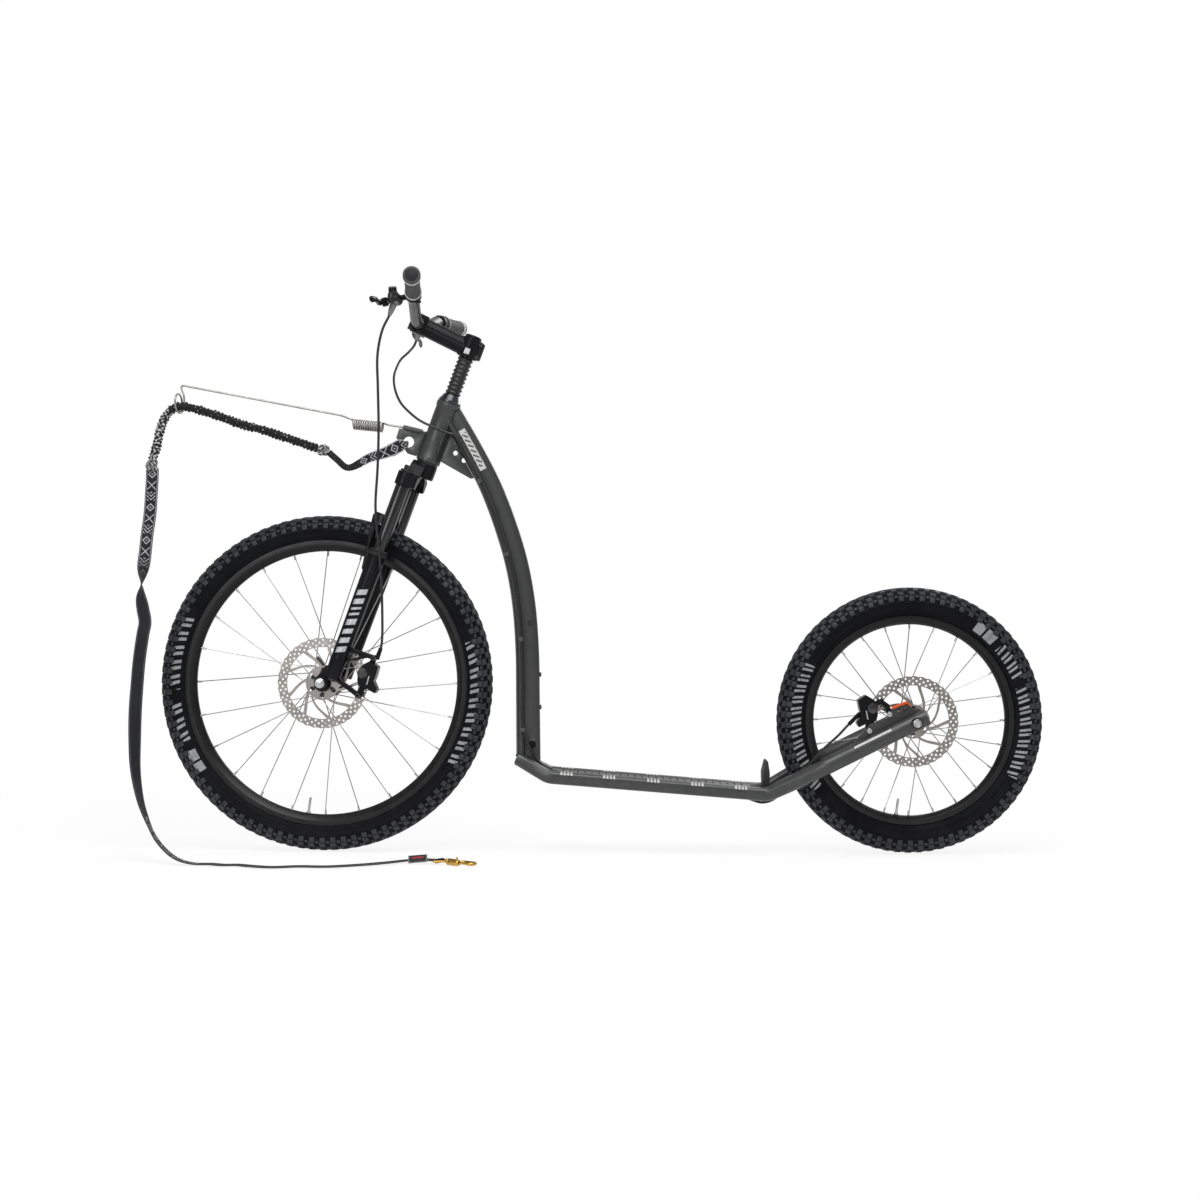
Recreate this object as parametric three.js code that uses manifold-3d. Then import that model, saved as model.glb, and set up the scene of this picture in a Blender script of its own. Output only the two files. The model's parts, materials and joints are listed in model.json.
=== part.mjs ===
// A kick bike: a tall scooter with a suspension fork, laced wheels, disc brakes and, at its front,
// a sprung wire antenna that carries a leash. Lengths are in millimetres and angles in degrees.
// X runs from the front to the rear, Y to the rider's right and Z up. The origin lies on the
// ground between the wheels.
import * as THREE from 'three';
import * as BufferGeometryUtils from 'three/addons/utils/BufferGeometryUtils.js';
import { LoftGeometry } from 'three/addons/geometries/LoftGeometry.js';
import Module from 'manifold-3d';

const wasm = await Module();
wasm.setup();
const { Manifold, Mesh: SolidMesh } = wasm;

// Driving sizes.
const frontTyreRadius = 334;
const frontTyreWidth = 57;
const frontBeadRadius = 279.5;
const frontRimInner = 263;
const rearTyreRadius = 265;
const rearTyreWidth = 60;
const rearBeadRadius = 203;
const rearRimInner = 191;
const frontAxleX = -548;
const rearAxleX = 617;
const headTiltDegrees = 20;
const restSteerDegrees = 4;
const forkRake = 37;
const frontHubWidth = 100;
const rearHubWidth = 135;
const rotorRadius = 90;
const rotorThickness = 1.8;
const stanchionOffset = 62;
const stanchionSetback = 19;
const stanchionRadius = 14;
const steererRadius = 14.3;
const quillRadius = 11;
const headTubeBottom = 483;
const headTubeLength = 126;
const headTubeRadius = 23;
const barHalfWidth = 317;
const barRadius = 11.1;
const barReach = 111;
const bellowsLength = 79.4;
const barLift = 12;
const deckTubeZ = 144.3;
const deckFallDegrees = 4.34;
const deckHalfTrack = 50;
const stayRiseDegrees = 26.5;
const stayBendAhead = 286.5;
const stayHalfTrack = 88;
const stayRadius = 16;
const hoseDiameter = 5;

// Clearances and counts that pieces share.
const gap = 0.3;
const headTubeTop = headTubeBottom + headTubeLength;
const overrun = 4;
const weldDistance = 0.0001;
const wheelSides = 30;
const shaftSides = 12;
const smallSides = 8;
const fewSides = 6;

const rad = THREE.MathUtils.degToRad;
const point = (x, y, z) => new THREE.Vector3(x, y, z);
const across = point(0, 1, 0);
const upward = point(0, 0, 1);

// The radius of a faceted hole that clears a round pin of the given radius by the shared gap.
const boreFor = (radius, sides) => (radius + gap) / Math.cos(Math.PI / sides);

// A copy of a geometry with its seams joined, no flat triangles and its faces outwards.
function closed(geometry) {
  const shape = new THREE.BufferGeometry();
  const loose = geometry.index ? geometry.toNonIndexed() : geometry;
  shape.setAttribute('position', loose.getAttribute('position').clone());
  const merged = BufferGeometryUtils.mergeVertices(shape, weldDistance);
  const corners = merged.getAttribute('position');
  const a = point(0, 0, 0);
  const b = point(0, 0, 0);
  const c = point(0, 0, 0);
  const kept = [];
  let volume = 0;
  for (let i = 0; i < merged.index.count; i += 3) {
    const [p, q, r] = [0, 1, 2].map((step) => merged.index.getX(i + step));
    if (p === q || q === r || r === p) continue;
    a.fromBufferAttribute(corners, p);
    b.fromBufferAttribute(corners, q);
    c.fromBufferAttribute(corners, r);
    volume += a.dot(b.cross(c));
    kept.push(p, q, r);
  }
  if (volume < 0) {
    for (let i = 0; i < kept.length; i += 3) {
      [kept[i + 1], kept[i + 2]] = [kept[i + 2], kept[i + 1]];
    }
  }
  merged.setIndex(kept);
  merged.computeVertexNormals();
  return merged;
}

function solidOf(geometry) {
  const shape = closed(geometry);
  return new Manifold(new SolidMesh({
    numProp: 3,
    vertProperties: shape.getAttribute('position').array,
    triVerts: new Uint32Array(shape.index.array),
  }));
}

function geometryOf(solid) {
  const mesh = solid.getMesh();
  const shape = new THREE.BufferGeometry();
  shape.setAttribute('position', new THREE.BufferAttribute(mesh.vertProperties.slice(), 3));
  shape.setIndex(Array.from(mesh.triVerts));
  shape.computeVertexNormals();
  return shape;
}

const joined = (...shapes) => Manifold.union(shapes.map(solidOf));

// Cuts tools out of a solid and keeps its main piece.
function carved(solid, ...tools) {
  let rest = solid;
  for (const tool of tools) rest = rest.subtract(solidOf(tool));
  const pieces = rest.decompose();
  pieces.sort((one, other) => other.volume() - one.volume());
  return pieces[0];
}

// A solid of revolution about Y from a list of radius and height pairs.
function turned(profile, sides) {
  return new THREE.LatheGeometry(profile.map(([r, h]) => new THREE.Vector2(r, h)), sides);
}

// The same about Z, with heights upwards.
const turnedUp = (profile, sides) => turned(profile, sides).rotateX(Math.PI / 2);

// A profile that closes on itself, for a ring or a bored piece.
const looped = (profile) => [...profile, profile[0]];

// Turns a shape that stands along Y so that it runs from one point to another.
function aimed(geometry, from, to) {
  const along = to.clone().sub(from).normalize();
  const turn = new THREE.Quaternion().setFromUnitVectors(across, along);
  return geometry.applyQuaternion(turn).translate(from.x, from.y, from.z);
}

function rod(from, to, radius, sides, endRadius = radius) {
  const length = from.distanceTo(to);
  const shape = new THREE.CylinderGeometry(endRadius, radius, length, sides);
  return aimed(shape.translate(0, length / 2, 0), from, to);
}

// A plate that stands in the XZ plane, drawn as X and Z pairs, with its middle at a given Y.
function uprightPlate(outline, thickness, middle, holes = []) {
  const shape = new THREE.Shape(outline.map(([x, z]) => new THREE.Vector2(x, z)));
  for (const hole of holes) {
    shape.holes.push(new THREE.Path(hole.map(([x, z]) => new THREE.Vector2(x, z))));
  }
  const plate = new THREE.ExtrudeGeometry(shape, { depth: thickness, bevelEnabled: false });
  return plate.rotateX(Math.PI / 2).translate(0, middle + thickness / 2, 0);
}

function box(low, high) {
  const size = high.clone().sub(low);
  const middle = low.clone().add(high).multiplyScalar(1 / 2);
  return new THREE.BoxGeometry(size.x, size.y, size.z).translate(middle.x, middle.y, middle.z);
}

// Points of a regular polygon, for holes and round ends in plates.
function circle(x, z, radius, sides, startShare = 0) {
  return Array.from({ length: sides }, (_, i) => {
    const angle = ((i + startShare) / sides) * 2 * Math.PI;
    return [x + radius * Math.cos(angle), z + radius * Math.sin(angle)];
  });
}

// Places shares of a width and a height from a corner.
function sharesAt(x, z, width, height, shares) {
  return shares.map(([along, up]) => [x + along * width, z + up * height]);
}

// How far a value has come from one limit to another, kept between 0 and 1.
function progress(value, from, to) {
  return Math.min(Math.max((value - from) / (to - from), 0), 1);
}

// Straight runs with rounded corners: each inner corner is bent over its own length.
function bentPath(corners, bends, steps) {
  const stations = [];
  corners.forEach((corner, i) => {
    if (i === 0 || i === corners.length - 1) {
      stations.push(corner.clone());
      return;
    }
    const back = corners[i - 1].clone().sub(corner).setLength(bends[i - 1]).add(corner);
    const ahead = corners[i + 1].clone().sub(corner).setLength(bends[i - 1]).add(corner);
    const bend = new THREE.QuadraticBezierCurve3(back, corner, ahead);
    stations.push(...bend.getPoints(steps));
  });
  return stations;
}

// Direction of travel at each station of a path.
function directions(stations) {
  return stations.map((station, i) => {
    const before = stations[Math.max(i - 1, 0)];
    const after = stations[Math.min(i + 1, stations.length - 1)];
    const back = station.clone().sub(before);
    const ahead = after.clone().sub(station);
    if (back.lengthSq() > 0) back.normalize();
    if (ahead.lengthSq() > 0) ahead.normalize();
    return back.add(ahead).normalize();
  });
}

function anticlockwise(outline) {
  const area = THREE.ShapeUtils.area(outline.map(([x, y]) => new THREE.Vector2(x, y)));
  return area < 0 ? outline.slice().reverse() : outline;
}

// Skins sections along stations. sectionAt gives pairs of upward and sideways distances, and
// sideAt the direction that counts as sideways at a station.
function swept(stations, sectionAt, sideAt = () => across) {
  const along = directions(stations);
  const rings = stations.map((station, i) => {
    const side = sideAt(station, i).clone();
    side.addScaledVector(along[i], -along[i].dot(side)).normalize();
    const up = side.clone().cross(along[i]);
    return anticlockwise(sectionAt(station, i)).map(([rise, reach]) =>
      station.clone().addScaledVector(up, rise).addScaledVector(side, reach));
  });
  return new LoftGeometry(rings, { capStart: true, capEnd: true });
}

// A round wire or tube whose section turns as little as it can from station to station.
function wire(stations, radius, sides) {
  const along = directions(stations);
  const section = circle(0, 0, radius, sides);
  let side = Math.abs(along[0].dot(across)) < Math.abs(along[0].dot(upward)) ? across : upward;
  const rings = stations.map((station, i) => {
    side = side.clone().addScaledVector(along[i], -along[i].dot(side)).normalize();
    const up = side.clone().cross(along[i]);
    return section.map(([rise, reach]) =>
      station.clone().addScaledVector(up, rise).addScaledVector(side, reach));
  });
  return new LoftGeometry(rings, { capStart: true, capEnd: true });
}

// A hose or cord of constant diameter through hand-set points.
function cord(route, diameter, sides, steps) {
  const curve = new THREE.CatmullRomCurve3(route.map((place) => point(...place)));
  const outline = circle(0, 0, diameter / 2, sides);
  const section = new THREE.Shape(outline.map(([x, y]) => new THREE.Vector2(x, y)));
  return new THREE.ExtrudeGeometry(section, { extrudePath: curve, steps, bevelEnabled: false });
}

// A rounded outline between an ellipse (power 2) and a box (higher powers).
function softSection(halfHeight, halfWidth, power, sides) {
  return Array.from({ length: sides }, (_, i) => {
    const angle = (i / sides) * 2 * Math.PI;
    const bend = (value) => Math.sign(value) * Math.abs(value) ** (2 / power);
    return [halfHeight * bend(Math.cos(angle)), halfWidth * bend(Math.sin(angle))];
  });
}

const scene = new THREE.Group();

function material(color, roughness, metalness) {
  return new THREE.MeshStandardMaterial({ color, roughness, metalness, flatShading: true });
}

function piece(parent, name, geometry, look, x = 0, y = 0, z = 0) {
  const mesh = new THREE.Mesh(closed(geometry), look());
  mesh.name = name;
  mesh.position.set(x, y, z);
  parent.add(mesh);
  return mesh;
}

const blackPaint = () => material(0x2b2a2c, 0.5, 0.2);
const greyPaint = () => material(0x55555a, 0.45, 0.4);
const blackMetal = () => material(0x1d1d1f, 0.45, 0.5);
const brightMetal = () => material(0xc9c9c6, 0.3, 0.9);
const steel = () => material(0x9b9790, 0.35, 0.9);
const darkTube = () => material(0x1f1f22, 0.15, 0.8);
const rubber = () => material(0x19191a, 0.85, 0);
const padLining = () => material(0x6d5a44, 0.9, 0.1);
const orangeMetal = () => material(0xd2451c, 0.4, 0.5);
const redKnob = () => material(0xb3201c, 0.4, 0.4);
const springSteel = () => material(0xa9a59c, 0.35, 0.85);
const strapBlack = () => material(0x222226, 0.9, 0);
const bungeeBlack = () => material(0x242428, 0.9, 0);
const webbingGrey = () => material(0x3a3b42, 0.85, 0);
const brass = () => material(0xc79a45, 0.35, 0.9);

// Wheels. The front wheel leans with the steering angle, so its axle sits a little lower.
const headTilt = rad(headTiltDegrees);
const restSteer = rad(restSteerDegrees);
const tyreTreadHalf = 8;
const frontLean = Math.asin(Math.sin(restSteer) * Math.sin(headTilt));
const frontAxleZ = frontTyreRadius * Math.cos(frontLean) + tyreTreadHalf * Math.sin(frontLean);
const rearAxleZ = rearTyreRadius;

const tyreSeatHalf = 9.5;
const tyreBeadHalf = 12.2;
const tyreHookRise = 5.8;
const tyreHookHalf = 12.6;
const tyreWall = 3.5;
const sidewallShares = { rise: 0.55, width: 0.8 };
const shoulderShares = { drop: 0.25, width: 0.79 };

function tyre(bead, tread, width) {
  const half = width / 2;
  const belly = tread - half;
  const side = [
    [bead + gap, tyreSeatHalf],
    [bead + gap, tyreBeadHalf],
    [bead + tyreHookRise, tyreHookHalf],
    [bead + sidewallShares.rise * (belly - bead), sidewallShares.width * half],
    [belly, half],
    [tread - shoulderShares.drop * half, shoulderShares.width * half],
    [tread, tyreTreadHalf],
  ];
  const otherSide = side.map(([r, y]) => [r, -y]).reverse();
  const inside = [[belly, tyreWall - half], [tread - tyreWall, 0], [belly, half - tyreWall]];
  return turned(looped([...side, ...otherSide, ...inside]), wheelSides);
}

const rimHalfWidth = 15;
const rimFlangeRise = 5.5;
const rimFlangeInner = 13.2;
const rimHookHalf = 12.5;
const rimBaseDepth = 6;
const rimWallDrop = 5;
const rimWallHalf = 14;
const rimSpineHalf = 4;
const valveRadius = 2.6;
const valveLength = 32;

// A hooked rim with its valve, which stands beside the lowest spoke.
function rim(bead, inner) {
  const side = [
    [inner, rimSpineHalf],
    [bead - rimWallDrop, rimWallHalf],
    [bead + rimFlangeRise, rimHalfWidth],
    [bead + rimFlangeRise, rimFlangeInner],
    [bead, rimHookHalf],
  ];
  const other = side.map(([r, y]) => [r, -y]).reverse();
  const hoop = turned(looped([...side, ...other]), wheelSides);
  const angle = Math.PI + Math.PI / spokeCount;
  const root = (inner + bead - rimBaseDepth) / 2;
  const stem = rod(wheelPoint(angle, root, 0), wheelPoint(angle, inner - valveLength, 0),
    valveRadius, smallSides / 2);
  return geometryOf(joined(hoop, stem));
}

const spokeCount = 24;
const spokeRadius = 1;
const spokeSides = 3;
const spokeCrossDegrees = 60;
const spokeEndHalf = 3;
const spokeClearance = 0.45;
const flangePitch = 24;
const flangeRadius = 29;
const flangeHalf = 1.5;
const spokeOffset = 2.2;
const axleRadius = 6;
const hubEndRadius = 10;
const hubShellRadius = 12.5;
const hubNeckRadius = 15;
const hubNeckLength = 10;
const rotorMountRadius = 25.5;
const rotorMountDepth = 4;
const rotorSpigotRadius = 17.2;
const rotorSpigotReach = 1;
const hubRunning = 1;
const hubCapLength = 9;

const wheelPoint = (angle, radius, y) =>
  point(radius * Math.sin(angle), y, radius * Math.cos(angle));

// Where the faceted rim's inner face lies in a given direction.
function rimFace(inner, angle) {
  const half = Math.PI / wheelSides;
  const offset = (angle % (2 * half)) - half;
  return (inner * Math.cos(half)) / Math.cos(offset);
}

// A hub shell with two flanges and a rotor seat, laced to the rim with crossed spokes.
function lacedHub({ leftFlange, rightFlange, half, rotorY, rimInner }) {
  const seat = rotorY + rotorThickness / 2 + gap;
  const spigot = rotorY - rotorThickness / 2 - rotorSpigotReach;
  const bore = axleRadius + hubRunning;
  const shell = turned(looped([
    [bore, -half],
    [hubEndRadius, -half],
    [hubEndRadius, spigot],
    [rotorSpigotRadius, spigot],
    [rotorSpigotRadius, seat],
    [rotorMountRadius, seat],
    [rotorMountRadius, seat + rotorMountDepth],
    [hubNeckRadius, seat + rotorMountDepth],
    [hubNeckRadius, leftFlange - flangeHalf],
    [flangeRadius, leftFlange - flangeHalf],
    [flangeRadius, leftFlange + flangeHalf],
    [hubNeckRadius, leftFlange + flangeHalf],
    [hubShellRadius, leftFlange + hubNeckLength],
    [hubShellRadius, rightFlange - hubNeckLength],
    [hubNeckRadius, rightFlange - flangeHalf],
    [flangeRadius, rightFlange - flangeHalf],
    [flangeRadius, rightFlange + flangeHalf],
    [hubNeckRadius, rightFlange + flangeHalf],
    [hubEndRadius, half - hubCapLength],
    [hubEndRadius, half],
    [bore, half],
  ]), shaftSides);
  const spokes = Array.from({ length: spokeCount }, (_, i) => {
    const side = i % 2 ? 1 : -1;
    const lead = Math.floor(i / 2) % 2 ? -1 : 1;
    const flange = side > 0 ? rightFlange : leftFlange;
    const rimAngle = (i / spokeCount) * 2 * Math.PI;
    const hubAngle = rimAngle - lead * rad(spokeCrossDegrees);
    const start = wheelPoint(hubAngle, flangePitch, flange + side * lead * spokeOffset);
    const reach = rimFace(rimInner, rimAngle) - spokeClearance;
    return rod(start, wheelPoint(rimAngle, reach, side * spokeEndHalf), spokeRadius, spokeSides);
  });
  return geometryOf(joined(shell, ...spokes));
}

const rotorTrackInner = 70;
const rotorHubRadius = 31;
const rotorArms = 6;
const rotorSweepDegrees = 13;
const rotorWindowDegrees = 49;
const rotorRootDegrees = 34;
const windowArcShares = [1, 0.34, -0.34, -1];
const ventRadius = 2.8;
const ventRowShares = [0.3, 0.7];
const ventsInRow = 12;
const ventSides = 4;

// A brake disc with swept arms and two staggered rows of vents in its track.
function rotor() {
  const windows = Array.from({ length: rotorArms }, (_, i) => {
    const middle = (i / rotorArms) * 360;
    const at = (radius, degrees) => [
      radius * Math.cos(rad(degrees)),
      radius * Math.sin(rad(degrees)),
    ];
    const far = middle + rotorSweepDegrees;
    const arc = windowArcShares.map((share) =>
      at(rotorTrackInner, far + (share * rotorWindowDegrees) / 2));
    return [
      at(rotorHubRadius, middle - rotorRootDegrees / 2),
      at(rotorHubRadius, middle + rotorRootDegrees / 2),
      ...arc,
    ];
  });
  const vents = ventRowShares.flatMap((rowShare, row) => {
    const radius = rotorTrackInner + rowShare * (rotorRadius - rotorTrackInner);
    return Array.from({ length: ventsInRow }, (_, i) => {
      const angle = ((i + row / 2) / ventsInRow) * 2 * Math.PI;
      return circle(radius * Math.cos(angle), radius * Math.sin(angle), ventRadius, ventSides);
    });
  });
  const bore = circle(0, 0, boreFor(rotorSpigotRadius, smallSides), smallSides);
  return uprightPlate(circle(0, 0, rotorRadius, wheelSides), rotorThickness, 0,
    [bore, ...windows, ...vents]);
}

function wheel(parent, name, sizes) {
  piece(parent, `${name}_tyre`, tyre(sizes.bead, sizes.tread, sizes.width), rubber);
  piece(parent, `${name}_rim`, rim(sizes.bead, sizes.rimInner), blackMetal);
  piece(parent, `${name}_hub`, lacedHub(sizes), blackMetal);
  piece(parent, `${name}_rotor`, rotor(), steel, 0, sizes.rotorY, 0);
}

const frontRotorY = -39.7;
const rearRotorY = -52;
const frontLeftFlange = -22;
const frontRightFlange = 34;
const rearFlange = 32;
const dropoutPlay = 0.4;

const frontWheelSizes = {
  bead: frontBeadRadius,
  tread: frontTyreRadius,
  width: frontTyreWidth,
  rimInner: frontRimInner,
  half: frontHubWidth / 2 - dropoutPlay,
  leftFlange: frontLeftFlange,
  rightFlange: frontRightFlange,
  rotorY: frontRotorY,
};
const rearWheelSizes = {
  bead: rearBeadRadius,
  tread: rearTyreRadius,
  width: rearTyreWidth,
  rimInner: rearRimInner,
  half: rearHubWidth / 2 - dropoutPlay,
  leftFlange: -rearFlange,
  rightFlange: rearFlange,
  rotorY: rearRotorY,
};

// Disc brake calipers, drawn round the wheel's axle: the first number of a pair is the distance
// out from the axle and the second the distance round it.
const caliperInner = 72;
const caliperDepth = 45;
const caliperLength = 65;
const caliperHalfWidth = 15;
const caliperOutlineShares = [
  [0.7, 1], [0.83, 0.9], [0.71, 0.63], [0.82, 0.49], [0.99, 0.21], [0.68, 0],
  [0.34, 0.08], [0.09, 0.24], [0, 0.54], [0.02, 0.69], [0.11, 0.76], [0.43, 0.86],
];
const rotorSlotHalf = 2.2;
const rotorSlotClearance = 4;
const padThickness = 5.2;
const padAirGap = 0.5;
const padLength = 26;
const padDepth = 22;
const padInset = 1.5;
const padSideClearance = 0.6;
const padOutlineShares = [[0.18, 0], [0.82, 0], [1, 0.2], [1, 0.8], [0.82, 1], [0.18, 1],
  [0, 0.8], [0, 0.2]];

const padInner = caliperInner + padInset;
const padFarFace = rotorThickness / 2 + padAirGap + padThickness;

// The body's outline, centred on the rotor's plane at Y 0 before it is cut.
function caliperBody(mirror) {
  const start = -caliperLength / 2;
  const outline = sharesAt(caliperInner, start, caliperDepth, caliperLength,
    caliperOutlineShares).map(([out, round]) => [out, mirror * round]);
  return uprightPlate(outline, 2 * caliperHalfWidth, 0);
}

// What is cut from a caliper: a slot for the rotor and a wider pocket for the pads.
function caliperTools() {
  const slotEnd = rotorRadius + rotorSlotClearance;
  const slot = box(
    point(caliperInner - caliperDepth, -rotorSlotHalf, -caliperLength),
    point(slotEnd, rotorSlotHalf, caliperLength),
  );
  const pocket = box(
    point(caliperInner - caliperDepth, -padFarFace - gap, -padLength / 2 - padSideClearance),
    point(padInner + padDepth + padSideClearance, padFarFace + gap,
      padLength / 2 + padSideClearance),
  );
  return [slot, pocket];
}

// The fitting that takes a hose's end, in line with the end of its route.
function banjo(route) {
  const end = point(...route[route.length - 1]);
  const along = end.clone().sub(point(...route[route.length - 2])).normalize();
  return rod(end.clone().addScaledVector(along, gap),
    end.clone().addScaledVector(along, banjoLength), banjoRadius, smallSides);
}

function brakePad() {
  const half = padLength / 2;
  const outline = sharesAt(padInner, -half, padDepth, padLength, padOutlineShares);
  return uprightPlate(outline, padThickness, 0);
}

// The two pads of a caliper, each with its lining an air gap from the rotor.
function padPair(parent, name, rotorY, x, z, angle) {
  const middle = rotorThickness / 2 + padAirGap + padThickness / 2;
  const outer = piece(parent, `${name}_pad_outer`, brakePad(), padLining, x, rotorY - middle, z);
  const inner = piece(parent, `${name}_pad_inner`, brakePad(), padLining, x, rotorY + middle, z);
  outer.rotation.y = -angle;
  inner.rotation.y = -angle;
}

// Frame. The steering axis runs up and back through the head tube.
const steeringX = frontAxleX + forkRake * Math.cos(restSteer) * Math.cos(headTilt);
const steeringZ = frontAxleZ - forkRake * Math.cos(restSteer) * Math.sin(headTilt);
const headTubeCupLength = 10;
const headTubeCupRadius = 24.5;

function headTube() {
  const bore = boreFor(steererRadius, shaftSides);
  return turnedUp(looped([
    [bore, headTubeBottom],
    [headTubeCupRadius, headTubeBottom],
    [headTubeCupRadius, headTubeBottom + headTubeCupLength],
    [headTubeRadius, headTubeBottom + headTubeCupLength],
    [headTubeRadius, headTubeTop - headTubeCupLength],
    [headTubeCupRadius, headTubeTop - headTubeCupLength],
    [headTubeCupRadius, headTubeTop],
    [bore, headTubeTop],
  ]), shaftSides);
}

// The room that the head tube takes up, with the shared gap, for what is welded to it.
function headTubeRoom() {
  const cup = headTubeCupRadius + gap;
  const body = headTubeRadius + gap;
  const low = headTubeBottom - gap;
  const high = headTubeTop + gap;
  return turnedUp([
    [0, low],
    [cup, low],
    [cup, low + headTubeCupLength + 2 * gap],
    [body, low + headTubeCupLength + 2 * gap],
    [body, high - headTubeCupLength - 2 * gap],
    [cup, high - headTubeCupLength - 2 * gap],
    [cup, high],
    [0, high],
  ], shaftSides).rotateY(headTilt).translate(steeringX, 0, steeringZ);
}

// The down tube drops from the head tube and turns upright above the deck. Its line is set by
// its foot and by where it meets the top of the head tube.
const downTubeFootX = -143.5;
const downTubeFootZ = 177;
const downTubeTopAhead = 5.03;
const downTubeTopBelow = 23.74;
const headTubeTopX = steeringX + headTubeTop * Math.sin(headTilt);
const headTubeTopZ = steeringZ + headTubeTop * Math.cos(headTilt);
const downTubeHeight = headTubeTopZ - downTubeTopBelow - downTubeFootZ;
const downTubeLean = downTubeFootX - headTubeTopX - downTubeTopAhead;
const downTubeDepth = 48;
const downTubeTopDepth = 43;
const downTubeHalfWidth = 20;
const downTubeSteps = 10;
const downTubeLineShares = [
  [0, 0], [0.01, 0.177], [0.022, 0.322], [0.067, 0.452], [0.157, 0.567], [0.297, 0.675],
  [0.502, 0.795], [0.757, 0.906], [1, 1],
];
// A rounded bead along the front edge, and a flatter web behind it that leaves a corner for the
// brake hose.
const downTubeSectionShares = [
  [-1, 0.35], [-0.9, 0.72], [-0.72, 0.95], [-0.5, 1], [-0.34, 0.88], [-0.24, 0.66], [-0.08, 0.6],
  [0.72, 0.6], [0.93, 0.48], [1, 0.26],
];

const downTubeCurve = new THREE.CatmullRomCurve3(downTubeLineShares.map(([lean, rise]) =>
  point(downTubeFootX - lean * downTubeLean, 0, downTubeFootZ + rise * downTubeHeight)));

function downTubeSkin(extra) {
  const stations = downTubeCurve.getSpacedPoints(downTubeSteps);
  if (extra > 0) {
    stations[0].z -= extra;
  }
  return swept(stations, (station, i) => {
    const depth = THREE.MathUtils.lerp(downTubeDepth, downTubeTopDepth, i / downTubeSteps);
    const half = downTubeSectionShares.map(([fore, wide]) =>
      [fore * (depth / 2 + extra), wide * (downTubeHalfWidth + extra)]);
    const other = half.map(([fore, wide]) => [fore, -wide]).reverse();
    return [...half, ...other];
  });
}

const bossRadius = 4.5;
const bossRise = 3;
const bottleBossShares = [0.152, 0.242];
const sideBossShare = 0.055;
const sideBossRadius = 5;
const clipShares = [0.3, 0.5, 0.68, 0.84];
const clipHalfLength = 3;
const clipWall = 1.6;
const hoseFromTube = 0.4;
const hoseAlongTubeY = -downTubeHalfWidth - hoseDiameter / 2 - hoseFromTube;
// Where the brake hose crosses the tube's side: shares of the length and of the half depth.
const hoseTopForeShare = -0.86;
const hoseLowForeShare = -0.42;

// A place on the down tube: a share of its length, fore and aft, and sideways.
function onDownTube(share, back, side) {
  const centre = downTubeCurve.getPointAt(share);
  const along = downTubeCurve.getTangentAt(share);
  const rearward = across.clone().cross(along);
  return centre.addScaledVector(rearward, back).add(point(0, side, 0));
}

// The hose's line on the left side of the tube.
function hoseOnTube(share) {
  const depth = THREE.MathUtils.lerp(downTubeDepth, downTubeTopDepth, share);
  const fore = THREE.MathUtils.lerp(hoseLowForeShare, hoseTopForeShare, share ** 2);
  return onDownTube(share, (fore * depth) / 2, hoseAlongTubeY);
}

function downTube() {
  const skin = downTubeSkin(0);
  const rear = downTubeDepth / 2;
  const bosses = bottleBossShares.map((share) => rod(
    onDownTube(share, rear - bossRise, 0), onDownTube(share, rear + bossRise, 0),
    bossRadius, smallSides,
  ));
  const sideBoss = rod(onDownTube(sideBossShare, 0, 0),
    onDownTube(sideBossShare, 0, -downTubeHalfWidth), sideBossRadius, smallSides);
  const clipAt = (share, half, radius) => {
    const middle = hoseOnTube(share);
    const along = downTubeCurve.getTangentAt(share).multiplyScalar(half);
    return rod(middle.clone().sub(along), middle.clone().add(along), radius, fewSides);
  };
  const clipBore = boreFor(hoseDiameter / 2, fewSides) + gap;
  const clips = clipShares.map((share) => clipAt(share, clipHalfLength, clipBore + clipWall));
  const bores = clipShares.map((share) => clipAt(share, clipHalfLength + overrun, clipBore));
  const whole = joined(skin, ...bosses, sideBoss, ...clips);
  return geometryOf(carved(whole, headTubeRoom(), ...bores));
}

const gussetX = -322;
const gussetZ = 743;
const gussetWidth = 90;
const gussetHeight = 122;
const gussetThickness = 6;
const gussetShares = [[0, 0.28], [0.67, 0], [1, 0.05], [0.62, 0.9], [0.42, 1]];
const gussetHoleShares = [[0.33, 0.42], [0.52, 0.3]];
const gussetHoleRadius = 5;

function gussetPlate() {
  const outline = sharesAt(gussetX, gussetZ, gussetWidth, gussetHeight, gussetShares);
  const holes = sharesAt(gussetX, gussetZ, gussetWidth, gussetHeight, gussetHoleShares)
    .map(([x, z]) => circle(x, z, gussetHoleRadius, smallSides));
  const plate = uprightPlate(outline, gussetThickness, 0, holes);
  return geometryOf(carved(solidOf(plate), headTubeRoom(), downTubeSkin(gap)));
}

// Deck tubes: a short diagonal from the down tube's foot, a flattened run under the feet and a
// round stay up to the rear axle.
const elbowX = -163;
const elbowZ = 185;
const elbowHalfTrack = 24;
const elbowRadius = 13;
const deckStartX = -102;
const elbowBend = 26;
const stayBend = 34;
const stayFlareAhead = 177;
const stayFlareBend = 32;
const stayOverhang = 22;
const deckTubeHalfHeight = 13;
const deckTubeHalfWidth = 16;
const deckTubePower = 3.4;
const deckTubeSides = 12;
const deckTubeBendSteps = 3;
const elbowBlend = 45;
const stayBlend = 60;
const rearAxleBoss = 5.3;
const stayEndCutShares = { down: 0.35, back: 0.9 };

const stayBendX = rearAxleX - stayBendAhead;
const stayFlareX = rearAxleX - stayFlareAhead;
const deckSlope = Math.tan(rad(deckFallDegrees));
const staySlope = Math.tan(rad(stayRiseDegrees));
const deckZAt = (x) => deckTubeZ - deckSlope * x;
const stayZAt = (x) => rearAxleZ - staySlope * (rearAxleX - x);

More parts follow.
